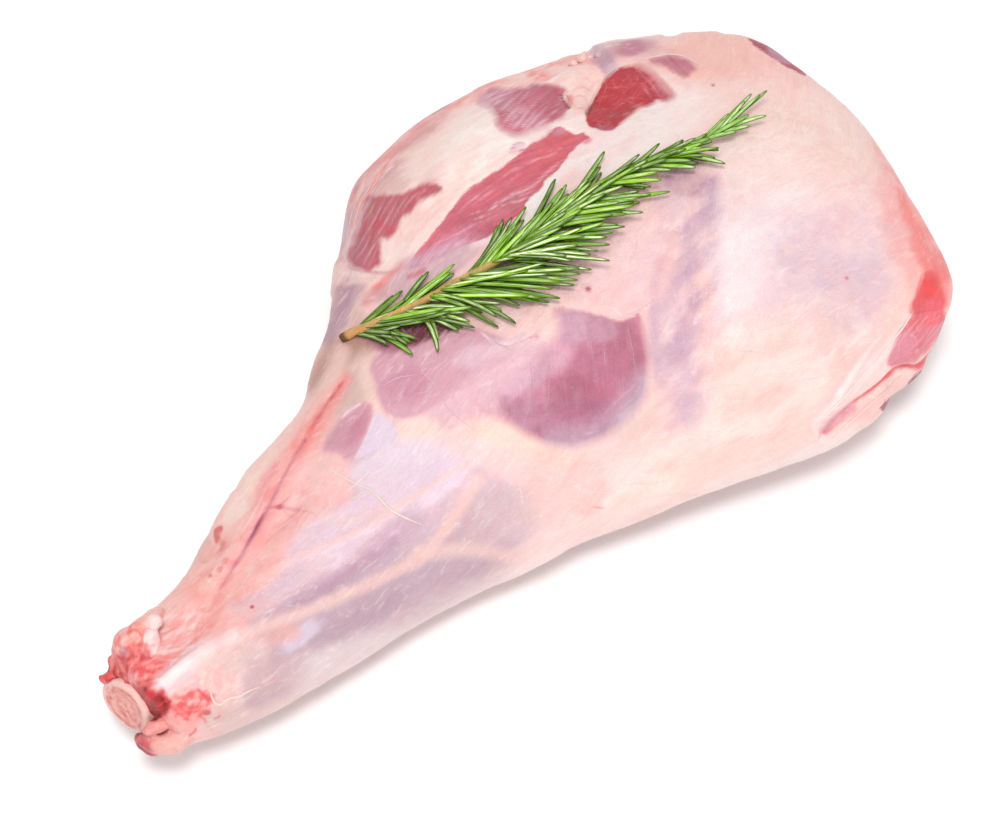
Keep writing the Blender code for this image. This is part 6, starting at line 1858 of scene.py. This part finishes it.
# the stem on the sheet: x, y, millimetres over the meat, radius
STEM_SHEET = np.array([(343, 338, 2.0, 2.0), (352, 333, 2.4, 1.9), (370, 326, 3.0, 1.75), (388, 319, 3.8, 1.65),
                       (408.5, 308.5, 4.8, 1.65), (432, 297.5, 5.4, 1.6), (446, 289, 5.6, 1.6), (469, 277.5, 5.8, 1.6),
                       (500, 260, 6.0, 1.5), (530, 239, 6.0, 1.3), (546, 225, 6.0, 1.2), (571, 208, 6.0, 1.2),
                       (592, 190, 6.4, 1.3), (621, 174, 6.2, 1.2), (650, 162, 6.0, 1.1), (679, 151, 5.8, 1.0),
                       (705, 141, 6.0, 0.95), (722, 131, 6.8, 0.85), (734, 120, 8.0, 0.7)], float)
stem_s = smooth_path(STEM_SHEET, False, 12)
stem_len = np.r_[0, np.cumsum(np.hypot(*np.diff(stem_s[:, :2], axis=0).T))]
stem_len /= stem_len[-1]


def stem_at(t_):
    return np.array([np.interp(t_, stem_len, stem_s[:, k]) for k in range(4)])


def stem_slope(t_):
    a, b = stem_at(max(t_ - 0.02, 0)), stem_at(min(t_ + 0.02, 1))
    return math.degrees(math.atan2(-(b[1] - a[1]), b[0] - a[0]))


def lifted(x, y, h):
    """The place h mm nearer the eye than the meat seen at (x, y) on the sheet."""
    p_, n_ = on_meat(x, y, 0.0)
    return np.array(p_) + BACK * h * MM, np.array(n_)


def clear_of_meat(p_, gap):
    """Lifts a point until it is gap (m) above the meat under it."""
    hit, n_, _, _ = BVH.ray_cast(Vector((p_[0], p_[1], 0.3)), Vector((0, 0, -1)))
    if hit is not None and p_[2] < hit.z + gap:
        p_ = p_.copy()
        p_[2] = hit.z + gap
    return p_


stem = Bundle()
pts_, ups_, rads_ = [], [], []
for i, t_ in enumerate(np.linspace(0, 1, 110)):
    x_, y_, h_, r_ = stem_at(t_)
    p_, n_ = lifted(x_, y_, h_)
    knot = 1 + 0.16 * math.exp(-((t_ * 30 % 1) - 0.5) ** 2 / 0.02)
    pts_.append(p_)
    ups_.append(n_)
    rads_.append(r_ * knot * MM)
pts_ = np.array(pts_)
k_ = np.array([0.25, 0.5, 0.25])
for _ in range(6):
    pts_[1:-1] = 0.25 * pts_[:-2] + 0.5 * pts_[1:-1] + 0.25 * pts_[2:]
ang_ = np.linspace(0, 2 * np.pi, 14, endpoint=False)
sec_ = np.stack([np.cos(ang_) * (1 + 0.08 * np.cos(4 * ang_)), np.sin(ang_) * (1 + 0.08 * np.cos(4 * ang_ + 1))], -1)
v_, f_ = tube(pts_, ups_, rads_, rads_, shape=sec_)
tt_ = np.r_[np.repeat(np.linspace(0, 1, 110), 14), 0, 1]
bark = np.array((216, 160, 98))[None] * (1 - tt_[:, None]) + np.array((160, 168, 84))[None] * tt_[:, None]
bark = bark * (1 + 0.16 * vnoise(v_ / MM, 1.6, 3, 3))[:, None]
cutend = (tt_ < 0.012)[:, None]
bark = bark * (1 - cutend) + np.array((112, 70, 40)) * cutend
stem.add(v_, f_, np.clip(bark, 0, 255))
STEM_PTS = pts_


def stem_point(t_):
    return np.array([np.interp(t_, np.linspace(0, 1, 110), STEM_PTS[:, k]) for k in range(3)])


# ---- needles: narrow leaves with rolled edges and a groove down the middle
BLADE = np.array([(-1.0, 0.0), (-0.80, 0.40), (-0.42, 0.52), (-0.12, 0.22), (0.12, 0.22), (0.42, 0.52), (0.80, 0.40),
                  (1.0, 0.0), (0.70, -0.40), (0.25, -0.50), (-0.25, -0.50), (-0.70, -0.40)])
needles = Bundle()
NSTA = 17
sta = np.r_[np.linspace(0, 0.90, 13), 0.935, 0.965, 0.986, 1.0]
WIDTH = np.interp(sta, [0, 0.04, 0.12, 0.30, 0.62, 0.80, 0.90, 0.935, 0.965, 0.986, 1.0],
                  [0.42, 0.56, 0.80, 0.96, 1.0, 0.90, 0.74, 0.66, 0.56, 0.42, 0.18])


def needle(t_, x1, y1, h1, bend=0.0, width=2.3, arch=2.0, roll=0.0, base_off=(0, 0), green=None, shine=None):
    """A needle from the stem at t_ to sheet place (x1, y1), its tip h1 mm over the meat."""
    sx, sy, sh, sr = stem_at(t_)
    n_ = np.array([0, 0, 1.0]) * 0.6 + BACK * 0.4
    p0 = stem_point(t_) + n_ / np.linalg.norm(n_) * sr * MM * (1.15 if h1 > 8 else 0.5 if h1 > 5 else -0.2)
    p3, n3 = lifted(x1, y1, h1)
    axis_ = p3 - p0
    L = np.linalg.norm(axis_)
    side_ = np.cross(axis_ / L, n_)
    side_ /= np.linalg.norm(side_)
    ctrl1 = p0 + axis_ * 0.33 + side_ * bend * L * 0.8 + n_ * arch * MM * 1.0
    ctrl2 = p0 + axis_ * 0.70 + side_ * bend * L * 0.7 + n_ * arch * MM * 0.9
    u_ = sta[:, None]
    path = ((1 - u_) ** 3 * p0 + 3 * (1 - u_) ** 2 * u_ * ctrl1 + 3 * (1 - u_) * u_ ** 2 * ctrl2 + u_ ** 3 * p3)
    path = np.array([clear_of_meat(p_, (1.1 if k > 1 else 0.8) * MM) for k, p_ in enumerate(path)])
    ups = []
    for k in range(NSTA):
        a_ = roll * (0.35 + 0.65 * sta[k])
        tan_ = (path[min(k + 1, NSTA - 1)] - path[max(k - 1, 0)])
        tan_ /= np.linalg.norm(tan_)
        s_ = np.cross(tan_, n_)
        s_ /= np.linalg.norm(s_)
        u0 = np.cross(s_, tan_)
        ups.append(u0 * math.cos(a_) + s_ * math.sin(a_))
    hw = WIDTH * width / 2 * MM
    v_, f_ = tube(path, np.array(ups), hw, hw * 0.62, shape=BLADE)
    g = np.array(green if green is not None else (74, 120, 54), float)
    vary = rng.uniform(-1, 1)
    tip_ = np.r_[np.repeat(sta, len(BLADE)), 0, 1]
    colour = g[None] * (1 + 0.0 * tip_[:, None])
    base_ = np.array((128, 166, 62), float)
    w_ = ease((0.20 - tip_) / 0.20)[:, None]
    colour = colour * (1 - 0.7 * w_) + base_ * 0.7 * w_
    w_ = ease((tip_ - 0.80) / 0.20)[:, None]
    colour = colour * (1 - 0.22 * w_)
    w_ = ease((tip_ - 0.95) / 0.05)[:, None]
    colour = colour * (1 - 0.5 * w_) + np.array((112, 104, 48)) * 0.5 * w_
    across_ = np.r_[np.tile(BLADE[:, 0], NSTA), 0, 0]
    upper_ = np.r_[np.tile((BLADE[:, 1] > 0.1).astype(float), NSTA), 0, 0]
    needles.add(v_, f_, np.clip(colour, 0, 255), across=across_, upper=upper_, way=tip_,
                sheen=shine if shine is not None else rng.uniform(0.25, 1.0), one=rng.uniform(0, 100))


GREENS = [(108, 162, 0), (128, 186, 0), (90, 138, 0), (142, 198, 0), (102, 154, 0), (66, 106, 0), (80, 126, 0), (94, 144, 0)]


def pick_green():
    g = np.array(GREENS[rng.integers(len(GREENS))], float)
    return g * rng.uniform(0.90, 1.10)


def where_on_stem(x, y):
    i = int(np.argmin(np.hypot(stem_s[:, 0] - x, stem_s[:, 1] - y)))
    return float(stem_len[i])


# needles by where they leave the stem and where their tips lie on the sheet:
# x0, y0, x1, y1, tip height over the meat (mm), bend
NEEDLES = [
    # over the stem
    (362, 328, 452, 312, 9.5, 0.06), (372, 324, 440, 313, 9.0, 0.03), (380, 321, 446, 309, 9.5, 0.03),
    (506, 256, 560, 230, 13.0, 0.03), (512, 252, 574, 218, 13.0, 0.04), (520, 246, 580, 212, 13.0, 0.04),
    (534, 236, 592, 196, 12.0, 0.04), (540, 230, 604, 196, 13.0, 0.04), (546, 226, 600, 186, 12.0, 0.03),
    (560, 214, 622, 176, 12.0, 0.04), (576, 204, 634, 170, 12.5, 0.03), (586, 196, 646, 163, 12.0, 0.04),
    (604, 184, 664, 155, 12.0, 0.04), (616, 176, 680, 150, 12.0, 0.04), (500, 261, 548, 238, 12.5, 0.02),
    (526, 242, 566, 214, 12.5, 0.03), (530, 240, 580, 208, 12.0, 0.04),
    # at the cut end
    (354, 331, 403, 291, 4.0, 0.03), (357, 329, 459, 308, 9.0, -0.12), (356, 330, 401, 326, 5.0, 0.08),
    (358, 330, 401, 336, 4.0, -0.04), (362, 330, 417, 339, 4.0, -0.04), (366, 330, 413, 355, 3.0, -0.05),
    (372, 327, 408, 345, 3.0, -0.04), (358, 330, 392, 333, 5.0, 0.02), (376, 324, 402, 342, 2.5, 0.0),
    (350, 333, 396, 322, 4.0, 0.04), (352, 332, 398, 340, 3.5, -0.06), (351, 333, 388, 345, 3.0, -0.08),
    (354, 331, 412, 314, 6.0, 0.04), (360, 329, 424, 322, 6.0, 0.02), (364, 328, 406, 300, 5.0, 0.03),
    # second whorl
    (391, 316, 429, 272, 4.0, 0.02), (392, 316, 455, 265, 7.0, 0.03), (398, 312, 451, 273, 8.0, 0.02),
    (386, 319, 472, 308, 9.0, 0.03), (400, 314, 475, 328, 4.0, -0.03), (408, 314, 459, 331, 3.0, -0.03),
    (414, 310, 438, 352, 2.5, -0.16), (396, 318, 466, 313, 6.0, 0.0), (404, 314, 447, 318, 6.0, 0.0),
    (392, 317, 436, 322, 4.0, 0.0), (392, 316, 446, 276, 5.0, 0.03), (410, 312, 470, 322, 4.0, -0.02),
    # third whorl
    (430, 299, 529, 297, 11.0, 0.02), (434, 299, 497, 318, 9.0, -0.10), (446, 294, 516, 324, 4.0, -0.06),
    (432, 300, 471, 310, 8.0, -0.02), (452, 290, 560, 299, 5.0, -0.02), (456, 290, 549, 303, 4.0, -0.02),
    (450, 292, 534, 302, 5.0, -0.02), (442, 293, 506, 299, 9.0, -0.02), (448, 291, 520, 306, 4.0, -0.04),
    (440, 295, 502, 312, 5.0, -0.05), (446, 292, 540, 299, 7.0, -0.01),
    (441, 292, 544, 265, 12.0, 0.03), (446, 290, 528, 272, 11.0, 0.02), (470, 280, 579, 269, 8.0, 0.02),
    (474, 280, 580, 275, 7.0, 0.0), (472, 281, 577, 281, 6.0, -0.01), (464, 284, 574, 286, 5.0, -0.01),
    (470, 281, 566, 271, 10.0, 0.02), (456, 287, 552, 290, 8.0, 0.0), (462, 284, 548, 276, 10.0, 0.02),
    (466, 282, 560, 283, 8.0, 0.0),
    # upper side of the middle
    (461, 281, 503, 220, 4.0, 0.13), (468, 276, 512, 218, 5.0, 0.06), (473, 272, 526, 208, 6.0, 0.05),
    (478, 270, 524, 221, 7.0, 0.04), (482, 268, 516, 226, 7.0, 0.03), (476, 272, 508, 232, 6.0, 0.04),
    (488, 264, 530, 226, 8.0, 0.02), (494, 262, 534, 222, 9.0, 0.02), (500, 258, 540, 214, 8.0, 0.02),
    (514, 249, 555, 180, 5.0, 0.04), (519, 246, 562, 190, 8.0, 0.03), (526, 240, 578, 190, 9.0, 0.03),
    (520, 244, 568, 196, 10.0, 0.02), (512, 250, 552, 204, 9.0, 0.03), (530, 238, 590, 184, 9.0, 0.03),
    (536, 232, 566, 186, 7.0, 0.03), (506, 254, 548, 210, 9.0, 0.02),
    (558, 214, 604, 153, 6.0, 0.03), (556, 217, 588, 180, 9.0, 0.02), (562, 212, 600, 168, 7.0, 0.03),
    # lower side of the middle
    (500, 260, 577, 247, 12.0, 0.02), (500, 260, 581, 230, 12.0, 0.04), (504, 258, 609, 262, 8.0, -0.02),
    (504, 258, 572, 263, 10.0, -0.02), (516, 250, 609, 246, 8.0, 0.0), (524, 245, 606, 239, 9.0, 0.0),
    (512, 252, 603, 225, 11.0, 0.03), (530, 240, 624, 228, 8.0, 0.01), (538, 234, 605, 221, 11.0, 0.01),
    (510, 254, 590, 256, 8.0, -0.01), (520, 247, 598, 252, 6.0, -0.01), (526, 242, 612, 234, 7.0, 0.01),
    (506, 257, 566, 258, 11.0, 0.0), (520, 246, 584, 238, 12.0, 0.02),
    (552, 219, 632, 208, 12.0, 0.02), (554, 218, 642, 214, 8.0, 0.0), (548, 222, 626, 216, 10.0, 0.01),
    (560, 212, 637, 200, 10.0, 0.02), (566, 209, 669, 193, 6.0, 0.0), (572, 206, 650, 196, 7.0, 0.0),
    (566, 210, 621, 189, 13.0, 0.02), (572, 206, 638, 157, 11.0, 0.05), (566, 210, 612, 176, 11.0, 0.03),
    (560, 214, 618, 205, 12.0, 0.01), (542, 228, 612, 217, 11.0, 0.01),
    # the arch toward the tip
    (578, 203, 658, 146, 10.0, 0.09), (588, 193, 640, 170, 12.0, 0.03), (594, 189, 660, 182, 9.0, 0.0),
    (598, 187, 656, 175, 11.0, 0.02), (606, 183, 665, 162, 12.0, 0.03), (612, 178, 676, 154, 12.0, 0.04),
    (618, 175, 671, 172, 8.0, -0.01), (600, 186, 650, 188, 6.0, -0.01), (584, 198, 628, 168, 12.0, 0.03),
    (626, 171, 705, 136, 9.0, 0.08), (632, 169, 695, 169, 6.0, -0.02), (640, 166, 690, 163, 8.0, 0.0),
    (646, 163, 717, 150, 9.0, 0.01), (640, 166, 700, 146, 11.0, 0.05), (652, 161, 702, 158, 8.0, 0.0),
    (634, 168, 684, 152, 12.0, 0.03), (664, 156, 724, 165, 5.0, -0.05), (668, 155, 714, 160, 6.0, -0.03),
    (672, 153, 717, 152, 7.0, -0.02), (650, 162, 694, 141, 10.0, 0.05), (626, 172, 682, 142, 8.0, 0.07),
    (676, 152, 708, 141, 9.0, 0.03), (660, 158, 700, 151, 10.0, 0.0),
]
TIP = [
    (704, 142, 749, 97, 10.0, 0.03), (706, 141, 764, 94, 11.0, 0.02),
    (714, 137, 764, 118, 8.0, -0.04), (708, 141, 748, 128, 7.0, -0.03), (700, 143, 727, 116, 8.0, 0.03),
    (720, 132, 757, 98, 12.0, 0.02), (710, 139, 746, 118, 11.0, 0.02),
    (716, 136, 742, 104, 10.0, 0.03), (702, 143, 734, 134, 8.0, -0.02),
]
for (x0, y0, x1, y1, h1, bend) in NEEDLES:
    # needles lying low by the meat are painted darker, as shade among the layers
    t_ = where_on_stem(x0, y0)
    needle(t_, x1, y1, h1, bend=bend, green=pick_green() * (0.80 if h1 <= 5 else 1.0), width=rng.uniform(1.85, 2.15),
           roll=rng.uniform(-0.5, 0.5), arch=1.2 if h1 < 7 else 2.0,
           shine=1.4 if (495 < x0 < 512 and x1 > 560) or (440 < x0 < 475 and h1 > 9) or x0 == 357 else None)
    # its neighbours lower down, painted darker for the shade under the upper needles
    for k_ in range(1):
        xs, ys, _, _ = stem_at(np.clip(t_ + rng.uniform(-0.022, 0.022), 0.02, 0.97))
        turn_ = math.radians(rng.uniform(-6, 6))
        far_ = rng.uniform(0.72, 0.95)
        dx_, dy_ = (x1 - x0) * far_, (y1 - y0) * far_
        needle(where_on_stem(xs, ys), xs + dx_ * math.cos(turn_) - dy_ * math.sin(turn_),
               ys + dx_ * math.sin(turn_) + dy_ * math.cos(turn_), max(h1 - rng.uniform(3, 6), 2.0),
               bend=bend + rng.uniform(-0.02, 0.02), green=pick_green() * 0.82, width=rng.uniform(1.85, 2.1),
               roll=rng.uniform(-0.7, 0.7), arch=0.8)
for (x0, y0, x1, y1, h1, bend) in TIP:
    needle(where_on_stem(x0, y0), x1, y1, h1, bend=bend, green=np.array((132, 180, 74)) * rng.uniform(0.85, 1.08),
           width=1.85, roll=rng.uniform(-0.4, 0.4), arch=1.0)


def stem_material():
    t = Tree("rosemary_stem")
    pos_ = t.put("ShaderNodeTexCoord").outputs["Object"]
    n1 = t.noise(pos_, 1500.0, 4.0, 0.6)
    n2 = t.noise(pos_, 350.0, 3.0, 0.6)
    k = t.math("MULTIPLY_ADD", t.math("SUBTRACT", n1, 0.5), 1.1, 1.0)
    k = t.math("MULTIPLY_ADD", t.math("SUBTRACT", n2, 0.5), 0.5, k)
    col = t.brighten(t.attr("base", "Color"), k)
    return t.finish(col, t.ramp(n1, 0.3, 0.7, 0.6, 0.8), n1, 0.0004, 0.8)


def needle_material():
    t = Tree("rosemary_needle")
    pos_ = t.put("ShaderNodeTexCoord").outputs["Object"]
    across_ = t.math("ABSOLUTE", t.attr("across"))
    upper_ = t.attr("upper")
    one = t.attr("one")
    way = t.attr("way")
    coord = t.put("ShaderNodeCombineXYZ", {0: t.math("MULTIPLY", t.attr("across"), 3.0),
                                           1: t.math("MULTIPLY", way, 5.0), 2: one}).outputs[0]
    patch = t.noise(coord, 1.0, 3.0, 0.6)
    fine = t.noise(pos_, 2600.0, 2.0, 0.5)
    col = t.attr("base", "Color")
    k = t.math("MULTIPLY_ADD", t.math("SUBTRACT", patch, 0.5), 1.0, 0.98)
    k = t.math("MULTIPLY_ADD", t.math("SUBTRACT", fine, 0.5), 0.30, k)
    col = t.brighten(col, k)
    # painted highlight: a pale streak down the groove of the upper face, stronger where sheen is high
    groove = t.math("MULTIPLY", t.ramp(across_, 0.56, 0.22), upper_)
    length = t.math("MULTIPLY", t.ramp(way, 0.02, 0.18), t.ramp(way, 0.99, 0.90))
    groove_highlight = t.math("MULTIPLY", groove, t.math("MULTIPLY", length, t.ramp(patch, 0.38, 0.58, 0.12, 1.0)))
    groove_highlight = t.math("MULTIPLY", groove_highlight, t.attr("sheen"))
    col = t.mix(groove_highlight, col, lin(246, 253, 212))
    shoulder = t.math("MULTIPLY", t.math("MULTIPLY", t.ramp(across_, 0.30, 0.55), t.ramp(across_, 0.95, 0.75)), upper_)
    col = t.mix(t.math("MULTIPLY", shoulder, 0.22), col, lin(150, 206, 30))
    # painted shade: the rolled edges darkened almost to black
    rim = t.ramp(across_, 0.66, 0.92)
    col = t.mix(t.math("MULTIPLY", rim, 0.90), col, lin(18, 34, 0))
    low = t.math("MULTIPLY", t.math("SUBTRACT", 1.0, upper_), t.ramp(across_, 0.95, 0.55))
    col = t.mix(t.math("MULTIPLY", low, 0.70), col, lin(162, 184, 104))
    h = t.math("MULTIPLY_ADD", fine, 0.6, t.math("MULTIPLY", t.ramp(across_, 0.12, 0.0), -0.6))
    return t.finish(col, t.ramp(patch, 0.3, 0.7, 0.46, 0.62), h, 0.0002, 0.5, Subsurface_Weight=0.06,
                    Subsurface_Radius=(0.3, 0.6, 0.15), Subsurface_Scale=0.001, Coat_Weight=0.03,
                    Coat_Roughness=0.35, Specular_IOR_Level=0.13)


stem_ob = stem.build("rosemary_stem", stem_material(), 0.85)
needle_ob = needles.build("rosemary_needles", needle_material(), 0.85)
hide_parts("rosemary_sprig")

# =====================================================================
# Floor, light and camera
# =====================================================================
floor_me = bpy.data.meshes.new("floor")
R = 6.0
floor_me.from_pydata([(-R, -R, -0.0002), (R, -R, -0.0002), (R, R, -0.0002), (-R, R, -0.0002)], [], [(0, 1, 2, 3)])
floor = bpy.data.objects.new("floor", floor_me)
bpy.context.scene.collection.objects.link(floor)
t = Tree("pale_floor")
grain_ = t.noise(t.put("ShaderNodeTexCoord").outputs["Object"], 40.0, 2.0)
floor_me.materials.append(t.finish(t.mix(grain_, (0.90, 0.90, 0.90), (0.92, 0.92, 0.92)), 0.9, Specular_IOR_Level=0.1))

WORLD, KEY_W, FILL_W = 0.74, 26.0, 11.0
world = bpy.data.worlds.new("studio")
world.use_nodes = True
bg = world.node_tree.nodes["Background"]
bg.inputs[0].default_value = (1.0, 1.0, 1.0, 1.0)
bg.inputs[1].default_value = WORLD
bpy.context.scene.world = world


def lamp(name, place, aim, size, watts, colour=(1, 1, 1)):
    data = bpy.data.lights.new(name, "AREA")
    data.shape = "DISK"
    data.size = size
    data.energy = watts
    data.color = colour
    ob = bpy.data.objects.new(name, data)
    bpy.context.scene.collection.objects.link(ob)
    ob.location = place
    ob.rotation_euler = (Vector(aim) - Vector(place)).to_track_quat("-Z", "Y").to_euler()
    return ob


aim = Vector(MID)
toward = Vector(BACK) + 0.34 * Vector(UP) - 0.02 * Vector(RIGHT)
lamp("key", aim + 2.2 * toward.normalized(), aim, 0.66, KEY_W)
side_on = Vector(BACK) * 0.75 - 0.62 * Vector(UP) + 0.42 * Vector(RIGHT)
lamp("fill", aim + 2.2 * side_on.normalized(), aim, 1.3, FILL_W)

cam_data = bpy.data.cameras.new("camera")
cam_data.lens = LENS
cam_data.sensor_width = SENSOR
cam_data.clip_start = 0.01
cam_data.clip_end = 50
cam = bpy.data.objects.new("camera", cam_data)
bpy.context.scene.collection.objects.link(cam)
cam.location = Vector(EYE)
cam.rotation_euler = (Vector(AIM) - Vector(EYE)).to_track_quat("-Z", "Y").to_euler()
bpy.context.scene.camera = cam
bpy.context.scene.view_settings.view_transform = "Standard"
bpy.context.scene.view_settings.look = "None"
